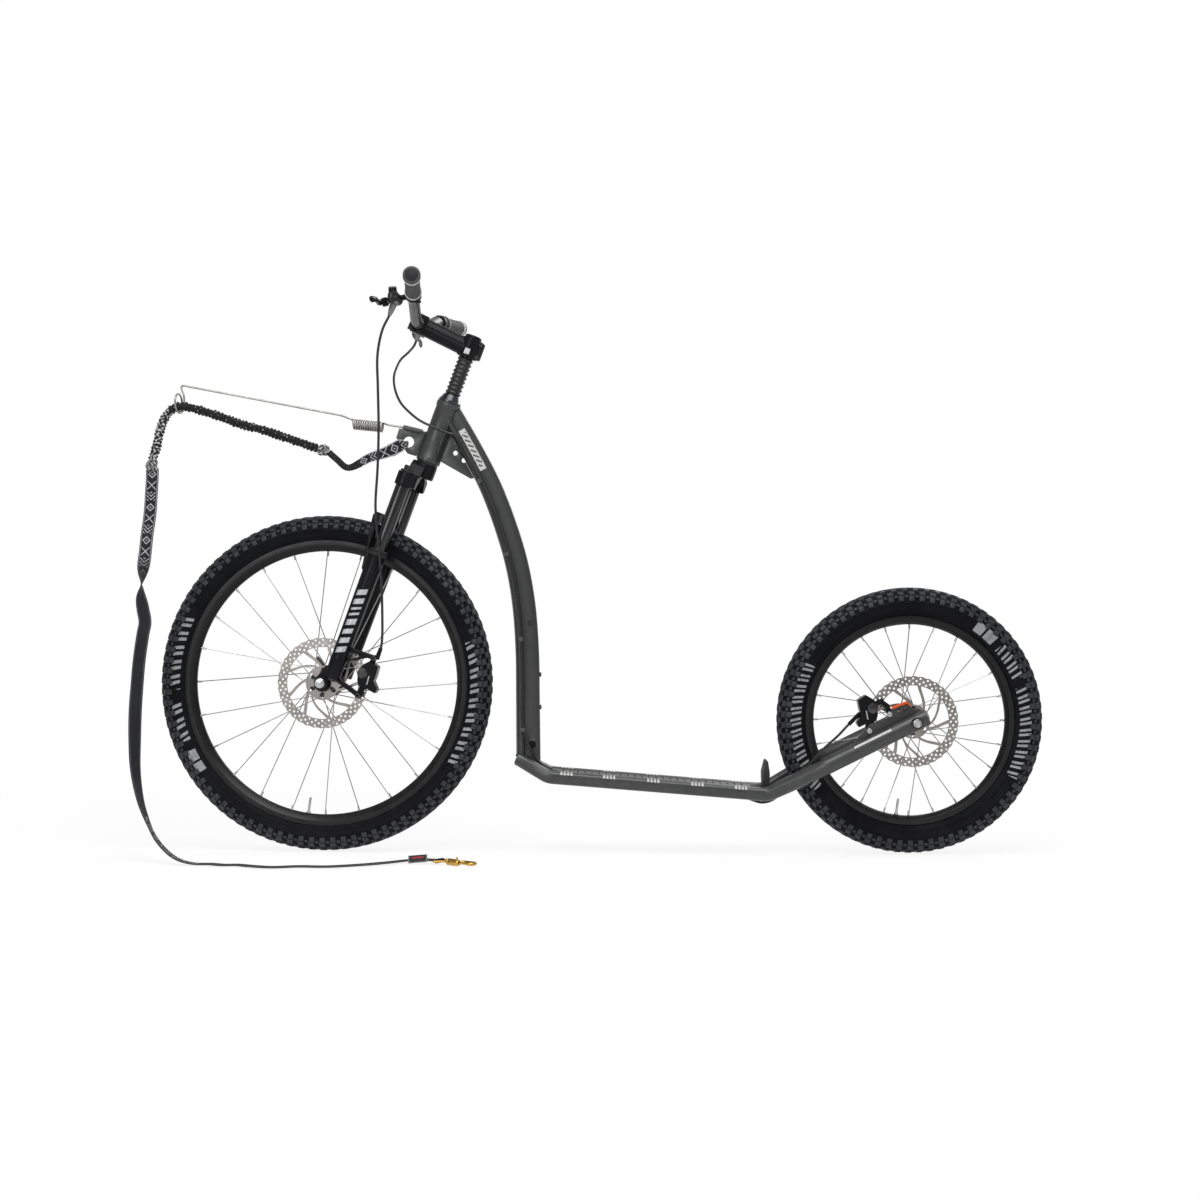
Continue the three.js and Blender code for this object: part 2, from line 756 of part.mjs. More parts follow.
function deckTubePath(side) {
  const end = rearAxleX + stayOverhang;
  return bentPath([
    point(elbowX, side * elbowHalfTrack, elbowZ),
    point(deckStartX, side * deckHalfTrack, deckZAt(deckStartX)),
    point(stayBendX, side * deckHalfTrack, deckZAt(stayBendX)),
    point(stayFlareX, side * stayHalfTrack, stayZAt(stayFlareX)),
    point(end, side * stayHalfTrack, stayZAt(end)),
  ], [elbowBend, stayBend, stayFlareBend], deckTubeBendSteps);
}

function deckTube(side) {
  const skin = swept(deckTubePath(side), (station) => {
    const flat = progress(station.x, elbowX, elbowX + elbowBlend)
      * (1 - progress(station.x, stayBendX - stayBend, stayBendX + stayBlend));
    const start = station.x < deckStartX + elbowBlend ? elbowRadius : stayRadius;
    return softSection(
      THREE.MathUtils.lerp(start, deckTubeHalfHeight, flat),
      THREE.MathUtils.lerp(start, deckTubeHalfWidth, flat),
      THREE.MathUtils.lerp(2, deckTubePower, flat),
      deckTubeSides,
    );
  });
  const tail = rearAxleX + stayOverhang;
  const tailZ = stayZAt(tail);
  const corner = uprightPlate([
    [tail - stayEndCutShares.back * stayOverhang / 2, tailZ - stayRadius * 2],
    [tail + stayOverhang, tailZ - stayRadius * 2],
    [tail + stayOverhang, tailZ + stayEndCutShares.down * stayRadius],
  ], stayRadius * 4, side * stayHalfTrack);
  const axleHole = rod(
    point(rearAxleX, side * (stayHalfTrack - 2 * stayRadius), rearAxleZ),
    point(rearAxleX, side * (stayHalfTrack + 2 * stayRadius), rearAxleZ),
    boreFor(rearAxleBoss, smallSides), smallSides,
  );
  return geometryOf(carved(solidOf(skin), downTubeSkin(gap), corner, axleHole));
}

const footPlateFront = -85;
const footPlateInset = 30.5;
const footPlateThickness = 4;
const footPlateDrop = 2;
const footPlateRibHeight = 6;
const footPlateRibHalf = 2;
const footPlateRibShares = [0.14, 0.38, 0.62, 0.86];
const footPlateRear = stayBendX - footPlateInset;

// The foot plate lies between the deck tubes, on cross ribs.
function footPlate() {
  const half = deckHalfTrack - deckTubeHalfWidth - gap;
  const top = (x) => deckZAt(x) + deckTubeHalfHeight - footPlateDrop;
  const under = (x) => top(x) - footPlateThickness;
  const outline = [[footPlateFront, top(footPlateFront)], [footPlateFront, under(footPlateFront)]];
  footPlateRibShares.forEach((share) => {
    const x = THREE.MathUtils.lerp(footPlateFront, footPlateRear, share);
    const low = under(x) - footPlateRibHeight;
    outline.push([x - footPlateRibHalf, under(x - footPlateRibHalf)]);
    outline.push([x - footPlateRibHalf, low]);
    outline.push([x + footPlateRibHalf, low]);
    outline.push([x + footPlateRibHalf, under(x + footPlateRibHalf)]);
  });
  outline.push([footPlateRear, under(footPlateRear)], [footPlateRear, top(footPlateRear)]);
  return uprightPlate(outline.reverse(), 2 * half, 0);
}

const bridgeInset = 12.5;
const bridgeX = stayBendX - bridgeInset;
const bridgeDrop = 1;
const bridgeRadius = 9;

function rearBridge() {
  const half = deckHalfTrack - deckTubeHalfWidth - gap;
  return rod(point(0, -half, 0), point(0, half, 0), bridgeRadius, smallSides);
}

const heelGuardInset = 5.5;
const heelGuardLift = 2.8;
const heelGuardX = stayBendX - heelGuardInset;
const heelGuardZ = deckZAt(stayBendX) + heelGuardLift;
const heelGuardHeight = 61.5;
const heelGuardDepth = 12;
const heelGuardHalfWidth = 31;
const heelGuardShares = [[0.1, 0], [0.8, 0], [1, 0.3], [1, 0.62], [0.7, 1], [0.35, 1],
  [-0.15, 0.62], [-0.12, 0.35]];

// A flap in front of the rear tyre, seated on the bridge.
function heelGuard() {
  const outline = sharesAt(heelGuardX, heelGuardZ, heelGuardDepth, heelGuardHeight,
    heelGuardShares);
  const flap = uprightPlate(outline, 2 * heelGuardHalfWidth, 0);
  const z = deckZAt(bridgeX) - bridgeDrop;
  const seat = rod(point(bridgeX, -heelGuardHalfWidth - overrun, z),
    point(bridgeX, heelGuardHalfWidth + overrun, z), bridgeRadius + gap, smallSides);
  return geometryOf(carved(solidOf(flap), seat));
}

// Rear dropouts between the stays and the hub, with the brake mount on the left one.
const dropoutPlate = stayHalfTrack - stayRadius - gap - rearHubWidth / 2;
const dropoutMiddle = rearHubWidth / 2 + dropoutPlate / 2;
const dropoutOutlineShares = [[-0.55, -0.75], [0.4, -0.62], [1, 0.1], [0.9, 0.75], [0.2, 1],
  [-0.9, 0.6], [-1, -0.2]];
const dropoutSize = 26;
const mountReach = 143;
const mountRise = 21;
const frontBoltAhead = 88;
const frontBoltDrop = 18;
const rearBoltAhead = 48.8;
const rearBoltLift = 14.8;
const mountBoltRadius = 4;
const mountFrontX = rearAxleX - mountReach;
const mountBoltFrontX = rearAxleX - frontBoltAhead;
const mountBoltFrontZ = rearAxleZ - frontBoltDrop;
const mountBoltRearX = rearAxleX - rearBoltAhead;
const mountBoltRearZ = rearAxleZ + rearBoltLift;
const windowPlateWidth = 52;
const windowPlateHeight = 47;
const windowTopShares = { back: 0.3, rear: 0.76, fore: 0.85, front: 0.52 };
const windowShares = [
  [[0.34, 0.36], [0.5, 0.45], [0.53, 0.56], [0.4, 0.56]],
  [[0.58, 0.42], [0.78, 0.52], [0.76, 0.66], [0.6, 0.6]],
];

function plateHole(x, z, radius) {
  return rod(point(x, 0, z), point(x, rearHubWidth, z), radius, smallSides);
}

function dropout(side) {
  const outline = dropoutOutlineShares.map(([x, z]) =>
    [rearAxleX + x * dropoutSize, rearAxleZ + z * dropoutSize]);
  const ear = uprightPlate(outline, dropoutPlate, side * dropoutMiddle);
  const bore = rod(point(rearAxleX, 0, rearAxleZ), point(rearAxleX, side * rearHubWidth, rearAxleZ),
    boreFor(rearAxleBoss, smallSides), smallSides);
  if (side > 0) return geometryOf(carved(solidOf(ear), bore));
  const low = (x) => stayZAt(x) - stayRadius / 2;
  const high = (x) => stayZAt(x) + stayRadius / Math.cos(rad(stayRiseDegrees)) + mountRise;
  const windowX = rearAxleX - windowPlateWidth;
  const mount = uprightPlate([
    [mountFrontX, low(mountFrontX)],
    [rearAxleX, low(rearAxleX)],
    [rearAxleX, rearAxleZ + windowPlateHeight / 2],
    [rearAxleX - windowPlateWidth * windowTopShares.back, rearAxleZ + windowTopShares.rear
      * windowPlateHeight],
    [rearAxleX - windowPlateWidth * windowTopShares.fore, rearAxleZ + windowTopShares.front
      * windowPlateHeight],
    [windowX, high(mountBoltRearX) - mountRise / 4],
    [mountBoltFrontX, high(mountBoltFrontX)],
    [mountFrontX + mountRise * 2, high(mountFrontX + mountRise)],
    [mountFrontX, low(mountFrontX) + stayRadius],
  ], dropoutPlate, -dropoutMiddle);
  const windows = windowShares.map((shares) => uprightPlate(
    sharesAt(windowX, rearAxleZ, windowPlateWidth, windowPlateHeight, shares),
    dropoutPlate + overrun, -dropoutMiddle,
  ));
  const bolts = [[mountBoltFrontX, mountBoltFrontZ], [mountBoltRearX, mountBoltRearZ]].map(
    ([x, z]) => rod(point(x, 0, z), point(x, -rearHubWidth, z), mountBoltRadius, smallSides / 2));
  return geometryOf(carved(joined(ear, mount), bore, ...bolts, ...windows));
}

// The coloured lock strip that lies along the top edge of the left dropout.
const lockStripThickness = 5;
const lockStripWidth = 9;

function lockStrip() {
  const y = -dropoutMiddle;
  const corners = [
    [rearAxleX - windowPlateWidth * windowTopShares.fore,
      rearAxleZ + windowTopShares.front * windowPlateHeight],
    [rearAxleX - windowPlateWidth * windowTopShares.back,
      rearAxleZ + windowTopShares.rear * windowPlateHeight],
    [rearAxleX - windowPlateWidth * windowTopShares.back / 2,
      rearAxleZ + (windowTopShares.rear + 1 / 2) / 2 * windowPlateHeight],
  ];
  const lift = gap;
  const low = corners.map(([x, z]) => [x, z + lift]);
  const high = corners.map(([x, z]) => [x, z + lift + lockStripThickness]).reverse();
  return uprightPlate([...low, ...high], lockStripWidth, y);
}

// Axles, turned about Y, with a wide ring and a cap where they show.
const rearRingRadius = 11.5;
const rearCapRadius = 8;
const rearRingLength = 5;
const rearCapLength = 6;

function rearAxle() {
  const inside = rearHubWidth / 2 - dropoutPlay - gap;
  const out = stayHalfTrack + stayRadius + gap;
  return turned([
    [0, -out - rearRingLength - rearCapLength],
    [rearCapRadius, -out - rearRingLength - rearCapLength],
    [rearCapRadius, -out - rearRingLength],
    [rearRingRadius, -out - rearRingLength],
    [rearRingRadius, -out],
    [rearAxleBoss, -out],
    [rearAxleBoss, -inside],
    [axleRadius, -inside],
    [axleRadius, inside],
    [rearAxleBoss, inside],
    [rearAxleBoss, out],
    [rearRingRadius, out],
    [rearRingRadius, out + rearRingLength],
    [0, out + rearRingLength],
  ], shaftSides);
}

// A cam lever: a round head that turns on a cross pin at the axle's end, and a thin handle.
const camRadius = 7;
const camWidth = 14;
const camLeverLength = 62;
const camLeverThickness = 5;
const camLeverShares = [[0, 0.1], [0.2, 0.1], [0.7, 0.09], [1, 0.05], [1, -0.05], [0.7, -0.09],
  [0.2, -0.1], [0, -0.1]];

function camLever() {
  const middle = gap + camRadius;
  const head = rod(point(0, middle, -camWidth / 2), point(0, middle, camWidth / 2), camRadius,
    shaftSides);
  const outline = camLeverShares.map(([x, z]) => [-x * camLeverLength, z * camLeverLength]);
  const handle = uprightPlate(outline, camLeverThickness, middle);
  return geometryOf(joined(head, handle));
}

// The rear caliper: its body, the boss on the front bolt and an arched arm to the rear bolt.
const adapterBossRadius = 8;
const adapterThickness = 8;
const adapterWidth = 27.2;
const adapterHeight = 25.2;
const adapterShares = [[-1, 0.8], [-0.56, 1], [-0.12, 0.6], [0, 0]];
const adapterHalf = 5.5;
const rearCaliperDegrees = 168.5;
const banjoRadius = 4.5;
const banjoLength = 12;

const dropoutInnerFace = -rearHubWidth / 2;

function thickLine(x0, z0, x1, z1, half, thickness, middle) {
  const length = Math.hypot(x1 - x0, z1 - z0);
  const angle = Math.atan2(z1 - z0, x1 - x0);
  const cap = circle(0, 0, half, smallSides);
  const outline = cap.map(([x, z]) => [x > 0 ? x + length : x, z]);
  return uprightPlate(outline, thickness, middle).rotateY(-angle).translate(x0, 0, z0);
}

function rearCaliper() {
  const body = caliperBody(1).rotateY(-rad(rearCaliperDegrees))
    .translate(rearAxleX, rearRotorY, rearAxleZ);
  const middle = dropoutInnerFace + gap + adapterThickness / 2;
  const bends = sharesAt(mountBoltRearX, mountBoltRearZ, adapterWidth, adapterHeight,
    adapterShares);
  const arm = bends.slice(1).map(([x, z], i) =>
    thickLine(bends[i][0], bends[i][1], x, z, adapterHalf, adapterThickness, middle));
  arm.push(thickLine(mountBoltFrontX, mountBoltFrontZ, mountBoltFrontX, mountBoltFrontZ
    + adapterBossRadius, adapterBossRadius, adapterThickness, middle));
  const placed = (tool) => tool.rotateY(-rad(rearCaliperDegrees))
    .translate(rearAxleX, rearRotorY, rearAxleZ);
  return geometryOf(carved(joined(body, ...arm, banjo(rearHoseRoute)),
    ...caliperTools().map(placed)));
}

// The bracket on the head tube's front: a hollow sleeve for the antenna on an eyed plate.
const sleeveRadius = 4.8;
const antennaRadius = 2;
const sleeveFrontX = -397;
const sleeveFrontZ = 845.5;
const sleeveRearX = -358;
const sleeveRearZ = 836.5;
const bracketX = -411;
const bracketZ = 788;
const bracketWidth = 62;
const bracketHeight = 54;
const bracketThickness = 5;
const bracketShares = [[0, 0.68], [0.37, 0.09], [0.63, 0], [1, 0.2], [1, 0.9], [0.1, 1.02]];
const bracketHoleX = -385.8;
const bracketHoleZ = 816;
const bracketHoleRadius = 11;

function antennaBracket() {
  const outline = sharesAt(bracketX, bracketZ, bracketWidth, bracketHeight, bracketShares);
  const hole = circle(bracketHoleX, bracketHoleZ, bracketHoleRadius, shaftSides);
  const plate = uprightPlate(outline, bracketThickness, 0, [hole]);
  const front = point(sleeveFrontX, 0, sleeveFrontZ);
  const rear = point(sleeveRearX, 0, sleeveRearZ);
  const sleeve = rod(front, rear, sleeveRadius, smallSides);
  const past = rear.clone().sub(front).setLength(overrun);
  const bore = rod(front.clone().sub(past), rear.clone().add(past),
    boreFor(antennaRadius, smallSides), smallSides);
  return geometryOf(carved(joined(plate, sleeve), headTubeRoom(), bore));
}

// The antenna is one wire: a stem in the sleeve, an open coil, a long straight and an eye.
const coilTurns = 13;
const coilSteps = 7;
const coilRadius = 9;
const coilStartX = -438;
const coilEndX = -497;
const coilAxisZ = 846;
const coilStartTurn = 0.08;
const coilEndTurn = 0.75;
const antennaSides = 5;
const antennaStemInset = 3;
const antennaTipX = -836.5;
const antennaTipZ = 926.5;
const eyeX = -839;
const eyeY = -19;
const eyeZ = 889;
const eyeRadius = 19;
const eyeTurns = 1.2;
const eyeSteps = 20;
const eyePitch = 5.2;
const eyeTurnDegrees = 12;
// The wire's lead-in and lead-out beside the coil, as hand-set places.
const antennaLeadIn = [[-412, 0, 847.6], [-428, 0, 850.4], [-434, -0.6, 852.6]];
const antennaLeadOut = [[-499.4, -8.2, 852], [-501.6, -6.8, 857.6],
  [-505, -4, 862.6], [-510, -1.4, 866], [-522, 0, 868.7]];
const antennaTipLead = [[-840, 0, 925.6], [-841, 0, 921.5], [-839, -0.2, 915],
  [-836, -0.6, 907]];

function antennaLine() {
  const stem = point(sleeveRearX - antennaStemInset, 0,
    THREE.MathUtils.mapLinear(sleeveRearX - antennaStemInset, sleeveRearX, sleeveFrontX,
      sleeveRearZ, sleeveFrontZ));
  const line = [stem, point(sleeveFrontX, 0, sleeveFrontZ)];
  line.push(...antennaLeadIn.map((place) => point(...place)));
  const span = coilTurns - 1 + coilEndTurn - coilStartTurn;
  const count = Math.round(span * coilSteps);
  for (let i = 0; i <= count; i += 1) {
    const angle = 2 * Math.PI * (coilStartTurn + (span * i) / count);
    line.push(point(
      THREE.MathUtils.lerp(coilStartX, coilEndX, i / count),
      coilRadius * Math.sin(angle),
      coilAxisZ + coilRadius * Math.cos(angle),
    ));
  }
  line.push(...antennaLeadOut.map((place) => point(...place)));
  line.push(point(antennaTipX, 0, antennaTipZ));
  line.push(...antennaTipLead.map((place) => point(...place)));
  const wide = point(Math.sin(rad(eyeTurnDegrees)), Math.cos(rad(eyeTurnDegrees)), 0);
  const away = point(-Math.cos(rad(eyeTurnDegrees)), Math.sin(rad(eyeTurnDegrees)), 0);
  const steps = Math.round(eyeTurns * eyeSteps);
  for (let i = 0; i <= steps; i += 1) {
    const angle = (2 * Math.PI * i) / eyeSteps;
    const place = point(eyeX, eyeY, eyeZ)
      .addScaledVector(wide, eyeRadius * Math.cos(angle))
      .addScaledVector(away, (eyePitch * i) / eyeSteps)
      .add(point(0, 0, -eyeRadius * Math.sin(angle)));
    line.push(place);
  }
  return line;
}

// The least distance that a wound wire leaves between its own turns.
function leastSelfGap(line, radius, skip) {
  let least = Infinity;
  for (let i = 0; i < line.length; i += 1) {
    for (let j = i + skip; j < line.length; j += 1) {
      const part = new THREE.Line3(line[j - 1], line[j]);
      const near = part.closestPointToPoint(line[i], true, point(0, 0, 0));
      least = Math.min(least, near.distanceTo(line[i]));
    }
  }
  return least - 2 * radius;
}

function antenna() {
  const line = antennaLine();
  console.log(`antenna: least gap to itself ${leastSelfGap(line, antennaRadius,
    coilSteps - 2).toFixed(2)} mm`);
  return wire(line, antennaRadius, antennaSides);
}

// The rear brake hose along the down tube, under the deck and up the left stay.
const rearHoseSteps = 36;
const rearHoseTop = [[16, -70.2], [24, -85.7]].map(([ahead, lift], i) =>
  [headTubeTopX + ahead, i ? -26.5 : -30, headTubeTopZ + lift]);
const rearHoseTubeShares = [0.9, 0.8, 0.68, 0.56, 0.44, 0.32, 0.2, 0.11];
// How far a typed point of the rear hose moves with the rear axle: not at all under the deck's
// front end, and all the way behind the bridge.
const typedRearAxleX = 617;
const driftStart = -90;
const driftFull = 300;
const hoseDrift = (x) => (rearAxleX - typedRearAxleX) *
  THREE.MathUtils.clamp((x - driftStart) / (driftFull - driftStart), 0, 1);
const rearHoseUnder = [
  [-139, -23.2, 205], [-127, -20, 185], [-106, -17, 165], [-90, -17, 150.5], [-70, -17, 149],
  [0, -17, 140], [150, -17, 129], [270, -20, 119], [300, -25, 107], [322, -30, 101.5],
  [345, -35, 109], [368, -38, 135], [390, -48, 162], [413, -56, 181], [433, -59, 204],
  [470, -58, 238], [487, -56.5, 256], [497.2, -56, 266],
].map(([x, y, z]) => [x + hoseDrift(x), y, z]);
const rearHoseRoute = [
  ...rearHoseTop,
  ...rearHoseTubeShares.map((share) => hoseOnTube(share).toArray()),
  ...rearHoseUnder,
];
const rearLoopSteps = 15;
const frontHoseSteps = 27;

// Steering assembly, drawn upright round the steering axis with its forward side at -X.
const headsetCoverHeight = 17;
const headsetCoverRadius = 16;
const coverRimHeight = 4;
const bellowsRibs = 8;
const bellowsPeak = 15.5;
const bellowsValley = 12.8;
const bellowsSides = 10;
const bellowsCrestShares = [0.28, 0.72];
const crownBelowHead = 3;
const socketDepth = 25;
const shoulderDrop = 1;
const stemClampBelow = 19;
const stemClampAbove = 21;

const crownTop = headTubeBottom - crownBelowHead;
const crownSocketFloor = crownTop - socketDepth;
const headsetCoverTop = headTubeTop + headsetCoverHeight;
const steererShoulder = headsetCoverTop - shoulderDrop;
const bellowsBottom = headsetCoverTop + gap;
const bellowsTop = bellowsBottom + bellowsLength;
const stemClampBottom = bellowsTop + gap;
const stemHeight = stemClampBottom + stemClampBelow;
const barHeight = stemHeight + barLift;
const stemClampTop = stemHeight + stemClampAbove;

function headsetCover() {
  const bore = boreFor(steererRadius, shaftSides);
  return turnedUp(looped([
    [bore, headTubeTop + gap],
    [headTubeRadius, headTubeTop + gap],
    [headTubeRadius, headTubeTop + gap + coverRimHeight],
    [headsetCoverRadius, headsetCoverTop],
    [bore, headsetCoverTop],
  ]), shaftSides);
}

function steererTube() {
  return turnedUp([
    [0, crownSocketFloor + gap],
    [steererRadius, crownSocketFloor + gap],
    [steererRadius, steererShoulder],
    [quillRadius, steererShoulder],
    [quillRadius, stemClampTop - gap],
    [0, stemClampTop - gap],
  ], shaftSides);
}

// The rubber boot over the quill, with a rounded crest to each rib.
function bellowsBoot() {
  const bore = boreFor(quillRadius, bellowsSides);
  const foot = boreFor(steererRadius, bellowsSides);
  const pitch = (bellowsTop - bellowsBottom) / bellowsRibs;
  const outer = [[bellowsPeak, bellowsBottom]];
  for (let i = 0; i < bellowsRibs; i += 1) {
    const low = bellowsBottom + i * pitch;
    bellowsCrestShares.forEach((share) => outer.push([bellowsPeak, low + share * pitch]));
    if (i < bellowsRibs - 1) outer.push([bellowsValley, low + pitch]);
  }
  outer.push([bellowsPeak, bellowsTop]);
  return turnedUp(looped([
    [Math.min(bore, foot), bellowsBottom],
    ...outer,
    [bore, bellowsTop],
  ]), bellowsSides);
}

const stemClampRadius = 20;
const stemTubeRadius = 18;
const stemEarHalf = 8;
const stemEarReach = 27;
const stemEarInset = 6;
const stemSlit = 2.4;
const barClampHalf = 22;
const barClampHeight = 20;
const barClampRear = 15;
const barClampFront = 16;
const barBulge = 12.7;

const barCentre = point(-barReach, 0, barHeight);
const stemRise = Math.atan2(barHeight - stemHeight, barReach);

// A block on the stem's own line: along it from the bar, across it and above it.
function stemBlock(fore, aft, half, height) {
  return box(point(fore, -half, -height), point(aft, half, height))
    .rotateY(stemRise).translate(barCentre.x, 0, barCentre.z);
}

function barRoom() {
  return rod(point(-barReach, -barClampHalf - overrun, barHeight),
    point(-barReach, barClampHalf + overrun, barHeight), boreFor(barBulge, shaftSides), shaftSides);
}

function stem() {
  const clamp = rod(point(0, 0, stemClampBottom), point(0, 0, stemClampTop), stemClampRadius,
    shaftSides);
  const tube = rod(point(0, 0, stemHeight), barCentre, stemTubeRadius, shaftSides);
  const cradle = stemBlock(gap / 2, barClampRear, barClampHalf, barClampHeight);
  const ears = box(point(0, -stemEarHalf, stemClampBottom + stemEarInset / 2),
    point(stemEarReach, stemEarHalf, stemClampTop - stemEarInset / 2));
  const whole = joined(clamp, tube, cradle, ears);
  const bore = rod(point(0, 0, stemClampBottom - overrun), point(0, 0, stemClampTop + overrun),
    boreFor(quillRadius, shaftSides), shaftSides);
  const slit = box(point(0, -stemSlit / 2, stemClampBottom - overrun),
    point(stemEarReach + overrun, stemSlit / 2, stemClampTop + overrun));
  const front = stemBlock(-barClampFront - stemTubeRadius, gap / 2, barClampHalf + overrun,
    2 * barClampHeight);
  return geometryOf(carved(whole, bore, slit, front, barRoom()));
}

const faceplateCornerShares = [[0, -0.62], [0, 0.62], [0.45, 1], [1, 1], [1, -1], [0.45, -1]];

function stemFaceplate() {
  const outline = faceplateCornerShares.map(([x, z]) =>
    [-barClampFront + x * (barClampFront - gap / 2), z * barClampHeight]);
  const plate = uprightPlate(outline, 2 * barClampHalf, 0)
    .rotateY(stemRise).translate(barCentre.x, 0, barCentre.z);
  return geometryOf(carved(solidOf(plate), barRoom()));
}

const topCapRadius = 17;
const topCapHeight = 6;
const topCapBevel = 2;

function stemTopCap() {
  return turnedUp([
    [0, 0],
    [topCapRadius, 0],
    [topCapRadius, topCapHeight - topCapBevel],
    [topCapRadius - topCapBevel, topCapHeight],
    [0, topCapHeight],
  ], shaftSides);
}

// The riser bar: a level clamp, two rising bends and swept grips.
const barLevelHalf = 48;
const barBendY = 140;
const barBendRise = 30;
const barEndRise = 51;
const barEndSweep = 19;
const barLevelBend = 22;
const barGripBend = 26;
const barBulgeHalf = 34;
const barBulgeTaper = 8;
const barSteps = 2;

const barBend = (side) => point(-barReach, side * barBendY, barHeight + barBendRise);
const barEnd = (side) => point(-barReach + barEndSweep, side * barHalfWidth,
  barHeight + barEndRise);

function barPoint(side, distance) {
  const from = barBend(side);
  const to = barEnd(side);
  return from.lerp(to, (distance - barBendY) / (barHalfWidth - barBendY));
}

function handlebar() {
  const level = (y) => point(-barReach, y, barHeight);
  const corners = [
    barEnd(-1), barBend(-1), level(-barLevelHalf), level(-barBulgeHalf),
    level(barBulgeHalf), level(barLevelHalf), barBend(1), barEnd(1),
  ];
  const left = bentPath(corners.slice(0, 4), [barGripBend, barLevelBend / 2], barSteps);
  const right = bentPath(corners.slice(4), [barLevelBend / 2, barGripBend], barSteps);
  const inner = barBulgeHalf - barBulgeTaper;
  const stations = [...left, level(-inner), level(inner), ...right];
  return swept(stations, (station) => {
    const bulge = progress(Math.abs(station.y), barBulgeHalf, inner);
    const radius = THREE.MathUtils.lerp(barRadius, barBulge, bulge);
    return circle(0, 0, radius, shaftSides);
  }, () => upward);
}

const gripRadius = 15.5;
const gripCollarRadius = 16.6;
const gripCollarLength = 8;
const gripStart = 186;
const gripEndPast = 2;
const gripWaist = 14.6;

// A grip is a sleeve with a collar at each end and a slight waist, closed at the bar's end.
function grip(side) {
  const from = barPoint(side, gripStart);
  const length = from.distanceTo(barEnd(side));
  const bore = boreFor(barRadius, shaftSides);
  const end = length + gripEndPast;
  const shape = turned([
    [0, length + gap],
    [bore, length + gap],
    [bore, 0],
    [gripCollarRadius, 0],
    [gripCollarRadius, gripCollarLength],
    [gripRadius, gripCollarLength],
    [gripWaist, length / 2],
    [gripRadius, end - gripCollarLength],
    [gripCollarRadius, end - gripCollarLength],
    [gripCollarRadius, end],
    [0, end],
  ], shaftSides);
  return aimed(shape, from, barEnd(side));
}

// Brake levers, drawn for one side and mirrored by the sign of Y.
const leverPivotAhead = 42;
const leverPivotY = 178;
const leverPivotLift = 1;
const leverPlaneDegrees = 36.2;
const leverClampY = 166;
const leverClampHalf = 6;
const leverClampRadius = 16;
const cylinderInnerY = 150;
const cylinderOuterY = 203;
const cylinderAhead = 26;
const cylinderLift = 15;
const cylinderRadius = 11;
const reservoirAhead = 35;
const reservoirY = 190;
const reservoirLift = 30;
const reservoirRadius = 8;
const hosePortAhead = 29;
const hosePortY = 160;
const hosePortLift = 5;
const hosePortDrop = 18.8;
const hosePortRadius = 7;
const hosePortTip = 3.6;
const pivotEarRadius = 6.5;
const pivotEarHalf = 8;
const pivotPinRadius = 2.4;
const slotRadius = 28;
const slotInset = 1.2;
const leverKnuckleRadius = 5.6;
const leverKnuckleHalf = 3.6;
const leverBladeLength = 113;
const leverBladeDepth = 5;
const leverBladeHeight = 10;
const leverBladeSides = 6;
const leverBladeSteps = 7;
const leverBladeShares = [
  [0.02, 0, 0], [-0.05, 0.12, -0.01], [-0.08, 0.3, -0.03], [-0.045, 0.6, -0.06],
  [-0.05, 0.84, -0.085], [-0.1, 1, -0.1],
];
const leverTaperShare = 0.35;

const leverPivotX = -barReach - leverPivotAhead;
const leverPivotZ = barHeight + leverPivotLift;
const cylinderX = -barReach - cylinderAhead;
const cylinderZ = barHeight + cylinderLift;
const reservoirX = -barReach - reservoirAhead;
const reservoirZ = barHeight + reservoirLift;
const hosePortX = -barReach - hosePortAhead;
const hosePortTop = barHeight + hosePortLift;
const hosePortBottom = barHeight - hosePortDrop;

const leverPlane = rad(leverPlaneDegrees);
const leverForward = point(Math.cos(leverPlane), 0, Math.sin(leverPlane));
const leverPin = point(-Math.sin(leverPlane), 0, Math.cos(leverPlane));
const leverPivot = (side) => point(leverPivotX, side * leverPivotY, leverPivotZ);

